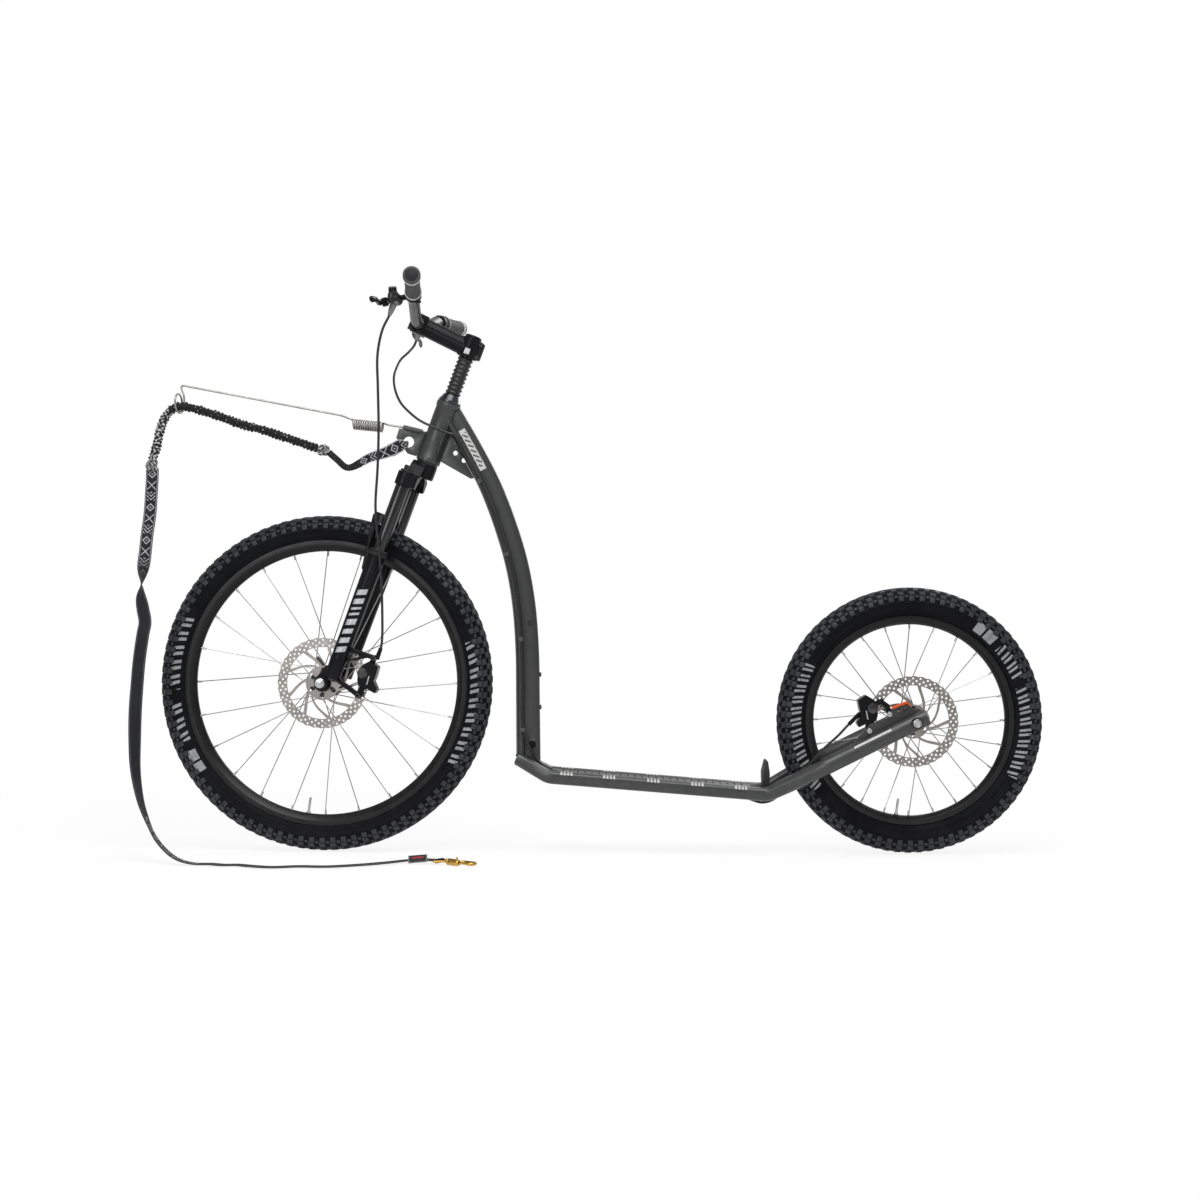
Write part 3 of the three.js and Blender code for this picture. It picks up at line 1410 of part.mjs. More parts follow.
function brakeBody(side) {
  const clampMiddle = barPoint(side, leverClampY);
  const along = barEnd(side).sub(barBend(side)).normalize();
  const clampAt = (distance) => clampMiddle.clone().addScaledVector(along, distance);
  const clamp = rod(clampAt(-leverClampHalf), clampAt(leverClampHalf), leverClampRadius,
    shaftSides);
  const cylinder = rod(point(cylinderX, side * cylinderInnerY, cylinderZ),
    point(cylinderX, side * cylinderOuterY, cylinderZ), cylinderRadius, smallSides);
  const neck = rod(clampMiddle, point(cylinderX, side * leverClampY, cylinderZ), leverClampHalf,
    fewSides);
  const reservoir = rod(point(cylinderX, side * reservoirY, cylinderZ),
    point(reservoirX, side * reservoirY, reservoirZ), reservoirRadius, smallSides);
  const port = rod(point(hosePortX, side * hosePortY, hosePortTop),
    point(hosePortX, side * hosePortY, hosePortBottom), hosePortRadius, fewSides, hosePortTip);
  const pivot = leverPivot(side);
  const pinAt = (distance) => pivot.clone().addScaledVector(leverPin, distance);
  const ear = rod(pinAt(-pivotEarHalf), pinAt(pivotEarHalf), pivotEarRadius, smallSides);
  const link = rod(pivot, point(cylinderX, side * leverPivotY, cylinderZ), pivotEarRadius,
    fewSides);
  const bore = rod(clampAt(-leverClampHalf - overrun), clampAt(leverClampHalf + overrun),
    boreFor(barRadius, shaftSides), shaftSides);
  const slotHalf = leverKnuckleHalf + gap;
  const slotStart = pinAt(-slotHalf).addScaledVector(leverForward, -slotRadius + pivotEarRadius
    + slotInset);
  const slot = rod(slotStart, slotStart.clone().addScaledVector(leverPin, 2 * slotHalf),
    slotRadius, shaftSides);
  const pin = rod(pinAt(-pivotEarHalf), pinAt(pivotEarHalf), pivotPinRadius, fewSides);
  const body = carved(joined(clamp, cylinder, neck, reservoir, port, ear, link), bore, slot);
  return geometryOf(Manifold.union([body, solidOf(pin)]));
}

// The lever blade swings on its pin; drawn from the pivot, with pull towards +X.
function brakeLever(side) {
  const knuckle = rod(point(0, 0, -leverKnuckleHalf), point(0, 0, leverKnuckleHalf),
    leverKnuckleRadius, smallSides);
  const line = new THREE.CatmullRomCurve3(leverBladeShares.map(([pull, out, rise]) =>
    point(pull * leverBladeLength, side * out * leverBladeLength, rise * leverBladeLength)));
  const stations = line.getSpacedPoints(leverBladeSteps);
  const blade = swept(stations, (station, i) => {
    const slim = 1 - leverTaperShare * (i / leverBladeSteps);
    const height = i < 2 ? leverKnuckleHalf : (leverBladeHeight / 2) * slim;
    return softSection((leverBladeDepth / 2) * slim, height, 2, leverBladeSides);
  }, () => upward);
  const hole = rod(point(0, 0, -pivotEarHalf), point(0, 0, pivotEarHalf),
    boreFor(pivotPinRadius, fewSides), fewSides);
  const limit = box(point(-leverBladeLength / 8, -leverKnuckleRadius - gap, -leverBladeHeight),
    point(leverBladeLength / 8, leverKnuckleRadius + gap, -leverKnuckleHalf));
  const roof = box(point(-leverBladeLength / 8, -leverKnuckleRadius - gap, leverKnuckleHalf),
    point(leverBladeLength / 8, leverKnuckleRadius + gap, leverBladeHeight));
  return geometryOf(carved(joined(knuckle, blade), hole, limit, roof));
}

// The fork. The crown carries the steerer and both stanchions.
const crownBossRadius = 22;
const crownBossDepth = 30;
const crownSleeveRadius = 17.8;
const crownDepth = 59.5;
const stanchionTopBelow = 31;
const crownBossBottom = crownTop - crownBossDepth;
const crownSleeveBottom = crownTop - crownDepth;
const crownSleeveTop = crownTop - stanchionTopBelow;
const crownBodyHalf = 15;
const crownBodyX = -11;
const crownArchShares = [
  [0, 0.97], [0.2, 1], [0.42, 0.86], [0.74, 0.47], [1, 0.42], [1, 0.05], [0.78, 0],
  [0.62, 0.22], [0.4, 0.44], [0, 0.52],
];

function crown() {
  const height = crownTop - crownSleeveBottom;
  const half = crownArchShares.map(([side, up]) =>
    [side * stanchionOffset, crownSleeveBottom + up * height]);
  const other = half.slice(1, -1).map(([y, z]) => [-y, z]).reverse();
  const outline = [...half, ...other];
  const shape = new THREE.Shape(outline.map(([y, z]) => new THREE.Vector2(y, z)));
  const body = new THREE.ExtrudeGeometry(shape, { depth: 2 * crownBodyHalf, bevelEnabled: false });
  body.rotateX(Math.PI / 2).rotateZ(Math.PI / 2).translate(crownBodyX - crownBodyHalf, 0, 0);
  const boss = rod(point(0, 0, crownBossBottom), point(0, 0, crownTop), crownBossRadius,
    shaftSides);
  const sleeves = [-1, 1].map((side) => rod(
    point(-stanchionSetback, side * stanchionOffset, crownSleeveBottom),
    point(-stanchionSetback, side * stanchionOffset, crownSleeveTop),
    crownSleeveRadius, shaftSides,
  ));
  const socket = rod(point(0, 0, crownSocketFloor), point(0, 0, crownTop + overrun),
    boreFor(steererRadius, shaftSides), shaftSides);
  const bores = [-1, 1].map((side) => rod(
    point(-stanchionSetback, side * stanchionOffset, crownSleeveBottom - overrun),
    point(-stanchionSetback, side * stanchionOffset, crownTop + overrun),
    boreFor(stanchionRadius, shaftSides), shaftSides,
  ));
  return geometryOf(carved(joined(body, boss, ...sleeves), socket, ...bores));
}

const stanchionBottom = 140;
const legTopRadius = 17;
const legBottomRadius = 15.5;
const sealRadius = 18.5;
const legBottom = 17;
const legTop = 286;
const sealHeight = 10;
const legBoreBottom = 60;
const archFront = -55;
const archRear = -39.2;
const archShares = [
  [1.14, 0], [1.16, 0.72], [1.06, 0.93], [0.82, 1], [0, 1],
];
const archInnerShares = [
  [0.84, 0], [0.82, 0.55], [0.7, 0.76], [0.46, 0.86], [0, 0.87],
];
const archBottom = 240;
const archTop = 356;
const footHalf = 10;
const footDepth = 24;
const footTop = 281;

function stanchion() {
  return turnedUp([
    [0, stanchionBottom],
    [stanchionRadius, stanchionBottom],
    [stanchionRadius, crownSleeveTop],
    [0, crownSleeveTop],
  ], shaftSides);
}

const frontCamDegrees = 35;
const forkDropoutRadius = 14;
const forkDropoutThickness = 8;
const axleEndRadius = 4.4;
const forkDropoutTop = 42;
const dropoutTopShares = [[-1, 0.1], [-0.86, 0.6], [-0.2, 2.6]];
const dropoutRearShares = [[0.72, 1.36], [0.74, 0.6], [0.97, 0.1], [0.9, -0.4], [0.72, -0.8]];
const slotArcSteps = 6;
const mountArmHalf = 5.5;
const mountArmThickness = 10;
const mountUpperX = 45;
const mountUpperZ = 83;
const mountLowerX = 41;
const mountLowerZ = 3;
const mountWebShares = { leg: 0.62, arm: 0.8 };
const armSetOut = 2;
const dropoutTailShare = 0.78;

// The magnesium lowers: two legs, an arch between them, axle dropouts and the brake mount.
function forkLowers() {
  const legs = [-1, 1].map((side) => turnedUp([
    [0, legBottom],
    [legBottomRadius, legBottom],
    [legTopRadius, legTop - sealHeight],
    [sealRadius, legTop - sealHeight],
    [sealRadius, legTop],
    [0, legTop],
  ], shaftSides).translate(-stanchionSetback, side * stanchionOffset, 0));
  const bores = [-1, 1].map((side) => rod(
    point(-stanchionSetback, side * stanchionOffset, legBoreBottom),
    point(-stanchionSetback, side * stanchionOffset, legTop + overrun),
    boreFor(stanchionRadius, shaftSides), shaftSides,
  ));
  const height = archTop - archBottom;
  const archPoint = ([side, up]) => [side * stanchionOffset, archBottom + up * height];
  const outer = archShares.map(archPoint);
  const inner = archInnerShares.map(archPoint);
  const flip = (list) => list.map(([y, z]) => [-y, z]);
  const ring = [...outer, ...flip(outer).reverse().slice(1), ...flip(inner),
    ...inner.slice().reverse().slice(1)];
  const shape = new THREE.Shape(ring.map(([y, z]) => new THREE.Vector2(y, z)));
  const arch = new THREE.ExtrudeGeometry(shape, {
    depth: archRear - archFront, bevelEnabled: false,
  });
  arch.rotateX(Math.PI / 2).rotateZ(Math.PI / 2).translate(archFront, 0, 0);
  const feet = [-1, 1].map((side) => box(
    point(archFront, side * stanchionOffset - footHalf, archBottom),
    point(archFront + footDepth, side * stanchionOffset + footHalf, footTop),
  ));
  const dropouts = [-1, 1].map((side) => {
    const r = forkDropoutRadius;
    const slot = axleEndRadius + gap;
    const legRear = -stanchionSetback + legBottomRadius - overrun;
    const outline = [
      ...dropoutTopShares.map(([x, z]) => [-forkRake + x * r, z * r]),
      [-stanchionSetback - legBottomRadius + overrun, forkDropoutTop],
      [legRear, forkDropoutTop],
      [legRear, legBottom + overrun / 2],
      ...dropoutRearShares.map(([x, z]) => [-forkRake + x * r, z * r]),
      [-forkRake + slot, -r],
      ...Array.from({ length: slotArcSteps }, (_, i) => {
        const angle = (Math.PI * (i + 1 / 2)) / slotArcSteps;
        const reach = boreFor(axleEndRadius, 2 * slotArcSteps);
        return [-forkRake + reach * Math.cos(angle), reach * Math.sin(angle)];
      }),
      [-forkRake - slot, -r],
      [-forkRake - r * dropoutTailShare, -r * dropoutTailShare],
    ];
    return uprightPlate(outline, forkDropoutThickness,
      side * (frontHubWidth / 2 + forkDropoutThickness / 2));
  });
  const armMiddle = -frontHubWidth / 2 - armSetOut - mountArmThickness / 2;
  const arms = [
    thickLine(-stanchionSetback, mountUpperZ, mountUpperX, mountUpperZ, mountArmHalf,
      mountArmThickness, armMiddle),
    thickLine(-stanchionSetback, legBottom + mountArmHalf, mountLowerX, mountLowerZ, mountArmHalf,
      mountArmThickness, armMiddle),
  ];
  const web = thickLine(-stanchionSetback, mountUpperZ * mountWebShares.leg,
    mountUpperX * mountWebShares.arm, mountUpperZ, mountArmHalf / 2, mountArmThickness, armMiddle);
  const whole = joined(...legs, arch, ...feet, ...dropouts, ...arms, web);
  return geometryOf(carved(whole, ...bores));
}

// The front caliper hangs inside the mount's two arms by an upright adapter.
const frontCaliperDegrees = 26.9;
const adapterPlateThickness = 7;
const adapterPlateHalf = 6.5;

function frontCaliper() {
  const body = caliperBody(-1).rotateY(-rad(frontCaliperDegrees))
    .translate(-forkRake, frontRotorY, 0);
  const armFace = -frontHubWidth / 2 - armSetOut;
  const middle = armFace + gap + adapterPlateThickness / 2;
  const spine = thickLine(mountUpperX, mountUpperZ, mountLowerX, mountLowerZ, adapterPlateHalf,
    adapterPlateThickness, middle);
  const placed = (tool) => tool.rotateY(-rad(frontCaliperDegrees))
    .translate(-forkRake, frontRotorY, 0);
  return geometryOf(carved(joined(body, spine, banjo(frontHoseRoute)),
    ...caliperTools().map(placed)));
}

const frontRingRadius = 11.5;
const frontCapRadius = 9.75;
const frontRingLength = 7;
const frontCapLength = 6;

function frontAxle() {
  const inside = frontHubWidth / 2 - dropoutPlay - gap;
  const out = frontHubWidth / 2 + forkDropoutThickness + gap;
  return turned([
    [0, -out - frontRingLength - frontCapLength],
    [frontCapRadius, -out - frontRingLength - frontCapLength],
    [frontCapRadius, -out - frontRingLength],
    [frontRingRadius, -out - frontRingLength],
    [frontRingRadius, -out],
    [axleEndRadius, -out],
    [axleEndRadius, -inside],
    [axleRadius, -inside],
    [axleRadius, inside],
    [axleEndRadius, inside],
    [axleEndRadius, out],
    [frontCapRadius, out],
    [frontCapRadius, out + frontRingLength],
    [0, out + frontRingLength],
  ], shaftSides);
}

const capBaseRadius = 15;
const capBaseHeight = 4;
const capTopRadius = 10;
const capHeight = 13.7;

function airCap() {
  return turnedUp([
    [0, 0],
    [capBaseRadius, 0],
    [capBaseRadius, capBaseHeight],
    [capTopRadius, capBaseHeight],
    [capTopRadius, capHeight],
    [0, capHeight],
  ], shaftSides);
}

const knobTabReach = 19;
const knobTabHalf = 4;
const knobTabHeight = 5;

// A round lockout knob with a finger tab.
function lockoutKnob() {
  const tab = box(point(0, -knobTabHalf, capBaseHeight),
    point(knobTabReach, knobTabHalf, capBaseHeight + knobTabHeight));
  return geometryOf(joined(airCap(), tab));
}

const reboundRadius = 7;
const reboundGrip = 5.5;
const reboundHeight = 9;

function reboundKnob() {
  return turnedUp([
    [0, -reboundHeight],
    [reboundGrip, -reboundHeight],
    [reboundRadius, -reboundHeight * 2 / 3],
    [reboundRadius, 0],
    [0, 0],
  ], smallSides);
}

// Hoses in the steering frame: the front one runs down behind the left leg to its caliper, the
// rear one crosses over to the down tube.
// Moves a typed hose line so that its top meets the brake's port and its end keeps its own place.
function hungFromPort(route, endHeight) {
  const [typedX, , typedTop] = route[0];
  const typedEnd = route.at(-1)[2];
  return route.map(([x, y, z]) => {
    const share = (z - typedEnd) / (typedTop - typedEnd);
    const height = endHeight + share * (hosePortBottom - gap - endHeight);
    return [x + share * (hosePortX - typedX), y, height];
  });
}

const frontHoseEnd = 96;
const rearLoopEndBelow = 57;
const frontHoseRoute = hungFromPort([
  [-140, -160, 717.9], [-143, -160, 690], [-141, -153, 659], [-135.6, -144, 631],
  [-120.5, -131, 587], [-92.3, -112, 506], [-70, -100, 434], [-52, -90, 369], [-36, -86, 330],
  [-12, -84, 280], [12, -78, 225], [32, -66, 170], [45, -53, 128], [49, -46.5, 108],
  [49, -45.8, 96],
], frontHoseEnd);
const rearLoopRoute = hungFromPort([
  [-140, 160, 717.9], [-140.2, 159.8, 708], [-145, 153, 690], [-150, 132, 670],
  [-146, 98, 646], [-136, 62, 622], [-116, 28, 596], [-92, 2, 576], [-66, -20, 564],
  [-38, -32, 555], [-8, -34, 552], [18, -31, 551], [34, -29.5, 552],
], headTubeTop - rearLoopEndBelow);

// The leash. Its tying strap loops through the bracket's eye and ends in a knot.
const strapDiameter = 7;
const strapSteps = 20;
const bungeeDiameter = 17;
const knotRadius = 13;
const knotLengthShare = 1.15;
const knotSides = 7;
const webbingWidth = 25;
const webbingThickness = 2.2;

function knot(from, to) {
  const length = from.distanceTo(to);
  const ball = new THREE.SphereGeometry(length / 2, knotSides, knotSides - 2);
  ball.scale(knotRadius * 2 / length, 1, knotRadius * 2 / length);
  return aimed(ball.translate(0, length / 2, 0), from, to);
}

const strapRoute = [
  [-424, 9, 799], [-412, 9.5, 805], [-400, 9.5, 811], [-391, 6.5, 813.5], [-387.6, 0, 813],
  [-391, -6.5, 811], [-401, -10, 808.5], [-414, -13, 801.5], [-430, -16, 794], [-462, -21, 782.5],
  [-504, -26, 762.5], [-526, -28, 779], [-542, -30, 793],
];
const strapKnotEnd = [-563, -30, 800.5];
const bungeeRoute = [
  [-563.2, -30, 800.8], [-569.5, -30, 802], [-596, -30, 811], [-635, -28, 824], [-675, -26, 837],
  [-721, -24, 849], [-754, -22, 861], [-787, -20, 872], [-815, -19, 880], [-842, -19, 882.5],
  [-860, -21, 873], [-871, -27, 853], [-877, -36, 826], [-880, -43, 804], [-884, -49, 784],
  [-887, -50, 774.5],
];
const webbingKnotTop = [-887.4, -50, 774];
const webbingKnotEnd = [-887, -52, 752];
const webbingRoute = [
  [-886.5, -52, 756], [-885.5, -56, 746], [-886.5, -60, 705], [-888, -65, 665], [-892, -71, 625],
  [-895, -76, 584], [-899, -84, 540], [-899, -92, 508], [-893, -98, 480], [-888, -102, 455],
  [-891, -107, 430], [-896, -115, 380], [-898, -124, 330], [-899, -132, 285], [-898, -140, 233],
  [-894, -150, 171], [-882, -160, 114], [-868, -170, 80], [-850, -181, 48], [-826, -200, 25],
  [-796, -222, 9], [-765, -233, 2.6], [-731, -236, 2.2], [-705, -248, 2.2], [-680, -246, 2.2],
  [-650, -262, 2.2], [-610, -275, 2.2], [-562, -262, 2.2], [-510, -264, 2.2], [-450, -238, 2.2],
  [-400, -203, 2.4], [-365, -184, 4], [-335, -184, 5.6], [-305.6, -204.8, 6.8],
];
const webbingSteps = 40;
const webbingTwistTop = 330;
const webbingTwistEnd = 60;
const rollOuter = 4.4;
const rollHalf = 10.5;
const eyeWire = 2;
const snapX = -303;
const snapY = -207;
const snapZ = 6.8;
const snapTurnDegrees = -40;

const snapLength = point(Math.cos(rad(snapTurnDegrees)), Math.sin(rad(snapTurnDegrees)), 0);
const snapSide = point(-Math.sin(rad(snapTurnDegrees)), Math.cos(rad(snapTurnDegrees)), 0);
const snapOrigin = point(snapX, snapY, snapZ);

// Flat webbing that faces sideways as it hangs and turns to lie flat on the ground, with a
// sewn roll round the swivel's bar.
function leashWebbing() {
  const curve = new THREE.CatmullRomCurve3(webbingRoute.map((place) => point(...place)));
  const stations = curve.getSpacedPoints(webbingSteps);
  const band = swept(stations, () => [
    [-webbingThickness / 2, -webbingWidth / 2],
    [webbingThickness / 2, -webbingWidth / 2],
    [webbingThickness / 2, webbingWidth / 2],
    [-webbingThickness / 2, webbingWidth / 2],
  ], (station, i) => {
    const share = progress(station.z, webbingTwistTop, webbingTwistEnd);
    const turn = i > webbingSteps / 2 && station.z < webbingTwistEnd ? 1 : share;
    const angle = turn * Math.PI / 2;
    return point(Math.cos(angle), Math.sin(angle), 0);
  });
  const tie = knot(point(...webbingKnotTop), point(...webbingKnotEnd));
  const rollAt = (distance) => snapOrigin.clone().addScaledVector(snapSide, distance);
  const roll = rod(rollAt(-rollHalf), rollAt(rollHalf), rollOuter, smallSides);
  const bore = rod(rollAt(-rollHalf - overrun), rollAt(rollHalf + overrun),
    boreFor(eyeWire, smallSides), smallSides);
  return geometryOf(carved(joined(band, tie, roll), bore));
}

function leashStrap() {
  const strap = cord(strapRoute, strapDiameter, fewSides, strapSteps);
  const last = strapRoute[strapRoute.length - 1];
  return geometryOf(joined(strap, knot(point(...last), point(...strapKnotEnd))));
}

// The bolt snap, drawn along X from the swivel's bar, flat on the ground.
const eyeBarHalf = 18;
const eyeNeckX = 17;
const stemWire = 2.4;
const barrelStart = 21;
const barrelEnd = 52;
const barrelRadius = 6.5;
const barrelBore = 3;
const hookSide = 17;
const hookWire = 3.2;
const hookStraightEnd = 74;
const hookTipX = 70;
const hookArcSteps = 6;
const boltStart = 39;
const boltRadius = 2.4;
const studX = 46;
const studRadius = 2;
const studHeight = 10.5;
const boltTravel = 11;
const studClearance = 0.8;

function snapPiece(parent, name, geometry, look) {
  const mesh = piece(parent, name, geometry, look, snapX, snapY, snapZ);
  mesh.rotation.z = rad(snapTurnDegrees);
  return mesh;
}

function snapEye() {
  const corners = [
    point(0, -eyeBarHalf, 0), point(0, eyeBarHalf, 0),
    point(eyeNeckX, eyeWire, 0), point(eyeNeckX, -eyeWire, 0),
  ];
  const sides = corners.map((corner, i) => {
    const next = corners[(i + 1) % corners.length];
    return rod(corner, next, eyeWire, fewSides);
  });
  const knuckles = corners.slice(0, 2).map((corner) =>
    new THREE.SphereGeometry(eyeWire, fewSides, fewSides / 2).translate(corner.x, corner.y, 0));
  const shank = rod(point(eyeNeckX - eyeWire, 0, 0),
    point(barrelStart + barrelRadius, 0, 0), stemWire, fewSides);
  return geometryOf(joined(...sides, ...knuckles, shank));
}

function snapBody() {
  const barrel = rod(point(barrelStart, 0, 0), point(barrelEnd, 0, 0), barrelRadius, shaftSides / 2);
  const arc = hookSide / 2;
  const line = [point((barrelStart + barrelEnd) / 2, barrelBore + hookWire, 0),
    point(barrelEnd, hookSide, 0)];
  for (let i = 0; i <= hookArcSteps; i += 1) {
    const angle = Math.PI / 2 - (Math.PI * i) / hookArcSteps;
    line.push(point(hookStraightEnd + arc * Math.cos(angle), arc + arc * Math.sin(angle), 0));
  }
  line.push(point(hookTipX, 0, 0));
  const hook = wire(line, hookWire, fewSides);
  const bore = rod(point(barrelStart - overrun, 0, 0), point(barrelEnd + overrun, 0, 0),
    barrelBore, smallSides);
  const slot = box(
    point(studX - boltTravel - studRadius - studClearance, -studRadius - studClearance, 0),
    point(studX + studRadius + studClearance, studRadius + studClearance, barrelRadius * 2),
  );
  return geometryOf(carved(joined(barrel, hook), bore, slot));
}

function snapBolt() {
  const pin = rod(point(boltStart, 0, 0), point(hookTipX - gap, 0, 0), boltRadius, fewSides);
  const stud = rod(point(studX, 0, 0), point(studX, 0, studHeight), studRadius, fewSides);
  return geometryOf(joined(pin, stud));
}

// Assembly: frame first.
const frame = new THREE.Group();
scene.add(frame);

const head = new THREE.Group();
head.position.set(steeringX, 0, steeringZ);
head.rotation.y = headTilt;
frame.add(head);
piece(head, 'head_tube', headTube(), blackPaint);

piece(frame, 'down_tube', downTube(), blackPaint);
piece(frame, 'gusset_plate', gussetPlate(), blackPaint);
piece(frame, 'antenna_bracket', antennaBracket(), blackMetal);
piece(frame, 'deck_tube_left', deckTube(-1), greyPaint);
piece(frame, 'deck_tube_right', deckTube(1), greyPaint);
piece(frame, 'foot_plate', footPlate(), blackPaint);
piece(frame, 'rear_bridge', rearBridge(), greyPaint, bridgeX, 0, deckZAt(bridgeX) - bridgeDrop);
piece(frame, 'heel_guard', heelGuard(), rubber);
piece(frame, 'dropout_left', dropout(-1), greyPaint);
piece(frame, 'dropout_right', dropout(1), greyPaint);
piece(frame, 'axle_lock_plate', lockStrip(), orangeMetal);
piece(frame, 'rear_axle', rearAxle(), brightMetal, rearAxleX, 0, rearAxleZ);
piece(frame, 'rear_caliper', rearCaliper(), blackMetal);
padPair(frame, 'rear', rearRotorY, rearAxleX, rearAxleZ, rad(rearCaliperDegrees));
const rearCam = piece(frame, 'rear_qr_lever', camLever(), blackMetal, rearAxleX,
  stayHalfTrack + stayRadius + gap + rearRingLength, rearAxleZ);
rearCam.rotation.y = rad(stayRiseDegrees);
piece(frame, 'rear_hose', cord(rearHoseRoute, hoseDiameter, fewSides, rearHoseSteps), rubber);
piece(frame, 'antenna', antenna(), springSteel);
piece(frame, 'leash_strap', leashStrap(), strapBlack);
piece(frame, 'leash_bungee', cord(bungeeRoute, bungeeDiameter, smallSides - 2,
  bungeeRoute.length + 2), bungeeBlack);
piece(frame, 'leash_webbing', leashWebbing(), webbingGrey);
snapPiece(frame, 'snap_swivel_eye', snapEye(), brass);
snapPiece(frame, 'snap_body', snapBody(), brass);
snapPiece(frame, 'snap_bolt', snapBolt(), brass);

const rearWheel = new THREE.Group();
rearWheel.position.set(rearAxleX, 0, rearAxleZ);
frame.add(rearWheel);
wheel(rearWheel, 'rear', rearWheelSizes);

// The steering group leans back with the head tube and is turned a little to the right.
const steering = new THREE.Group();
steering.position.set(steeringX, 0, steeringZ);
steering.rotation.set(0, headTilt, -restSteer, 'YXZ');
scene.add(steering);
piece(steering, 'headset_cover', headsetCover(), blackMetal);
piece(steering, 'steerer_tube', steererTube(), brightMetal);
piece(steering, 'fork_crown', crown(), blackMetal);
piece(steering, 'stanchion_left', stanchion(), darkTube, -stanchionSetback, -stanchionOffset, 0);
piece(steering, 'stanchion_right', stanchion(), darkTube, -stanchionSetback, stanchionOffset, 0);
piece(steering, 'bellows_boot', bellowsBoot(), rubber);
piece(steering, 'stem', stem(), blackMetal);
piece(steering, 'stem_faceplate', stemFaceplate(), blackMetal);
piece(steering, 'stem_top_cap', stemTopCap(), blackMetal, 0, 0, stemClampTop + gap);
piece(steering, 'handlebar', handlebar(), blackMetal);
for (const [side, name] of [[-1, 'left'], [1, 'right']]) {
  piece(steering, `grip_${name}`, grip(side), rubber);
  piece(steering, `brake_body_${name}`, brakeBody(side), blackMetal);
  const lever = piece(steering, `brake_lever_${name}`, brakeLever(side), blackMetal,
    leverPivotX, side * leverPivotY, leverPivotZ);
  lever.rotation.y = -leverPlane;
}
piece(steering, 'rear_hose_loop', cord(rearLoopRoute, hoseDiameter, fewSides, rearLoopSteps),
  rubber);
piece(steering, 'air_cap', airCap(), blackMetal, -stanchionSetback, -stanchionOffset,
  crownSleeveTop + gap);
piece(steering, 'lockout_knob', lockoutKnob(), blackMetal, -stanchionSetback, stanchionOffset,
  crownSleeveTop + gap);

// The lowers slide on the stanchions and carry the front wheel.
const lowers = new THREE.Group();
steering.add(lowers);
piece(lowers, 'fork_lowers', forkLowers(), blackPaint);
piece(lowers, 'front_caliper', frontCaliper(), blackMetal);
piece(lowers, 'front_axle', frontAxle(), brightMetal, -forkRake, 0, 0);
padPair(lowers, 'front', frontRotorY, -forkRake, 0, rad(frontCaliperDegrees));
// The closed lever points forward and up, clear of the leg.
const frontCam = piece(lowers, 'front_qr_lever', camLever(), blackMetal, -forkRake,
  frontHubWidth / 2 + forkDropoutThickness + gap + frontRingLength, 0);
frontCam.rotation.y = rad(frontCamDegrees);
piece(lowers, 'rebound_knob', reboundKnob(), redKnob, -stanchionSetback, stanchionOffset,
  legBottom - gap);
piece(lowers, 'front_hose', cord(frontHoseRoute, hoseDiameter, fewSides, frontHoseSteps),
  rubber);

const frontWheel = new THREE.Group();
frontWheel.position.set(-forkRake, 0, 0);
frontWheel.rotation.y = -Math.atan(Math.tan(headTilt) * Math.cos(restSteer));
lowers.add(frontWheel);
wheel(frontWheel, 'front', frontWheelSizes);

export default scene;
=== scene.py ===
"""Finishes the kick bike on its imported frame: bodies, tread, spokes, welds, hoses and the leash."""

import json
import math
import random

import bmesh
import bpy
from bpy.props import FloatProperty, FloatVectorProperty, IntProperty, PointerProperty
from bpy.types import Operator, Panel, PropertyGroup
from mathutils import Matrix, Vector


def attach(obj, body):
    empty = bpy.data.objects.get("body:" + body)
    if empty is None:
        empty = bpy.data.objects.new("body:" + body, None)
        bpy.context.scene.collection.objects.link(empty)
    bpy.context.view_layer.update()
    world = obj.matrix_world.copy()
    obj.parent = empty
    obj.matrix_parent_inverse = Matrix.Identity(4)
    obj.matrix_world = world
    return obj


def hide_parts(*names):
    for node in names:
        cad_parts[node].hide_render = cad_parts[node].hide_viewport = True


bl_info = {
    "name": "Kick bike",
    "version": (1, 0, 0),
    "blender": (4, 5, 0),
    "location": "3D View > Sidebar > Kick Bike",
    "description": "Builds the finished surfaces of a kick bike round its packed frame",
    "category": "Add Mesh",
}

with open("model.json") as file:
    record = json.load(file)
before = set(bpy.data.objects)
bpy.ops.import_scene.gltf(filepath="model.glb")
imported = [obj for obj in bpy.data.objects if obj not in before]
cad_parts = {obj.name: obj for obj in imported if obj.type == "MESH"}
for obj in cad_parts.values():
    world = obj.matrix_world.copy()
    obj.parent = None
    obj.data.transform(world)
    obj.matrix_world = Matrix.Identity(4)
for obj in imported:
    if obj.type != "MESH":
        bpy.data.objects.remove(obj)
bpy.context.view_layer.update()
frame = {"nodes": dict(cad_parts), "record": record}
NODE_BODY = {node: body for body, nodes in frame["record"]["behaviour"]["bodies"].items()
             for node in nodes}
NODE_SLOT = {part["node"]: part["material_slot"] for part in frame["record"]["subparts"]}

# Lengths below are millimetres in the space of the piece; every finished mesh is in metres.
MM = 0.001
# Corners nearer to each other than SAME_PLACE are one; faces that turn less than SAME_FACE are one.
SAME_PLACE = 0.004
SAME_FACE = math.radians(1.5)
# Edges that turn by more than BEVEL_TURN degrees are rounded.
BEVEL_TURN = 35.0
CURVE_STEPS = 24

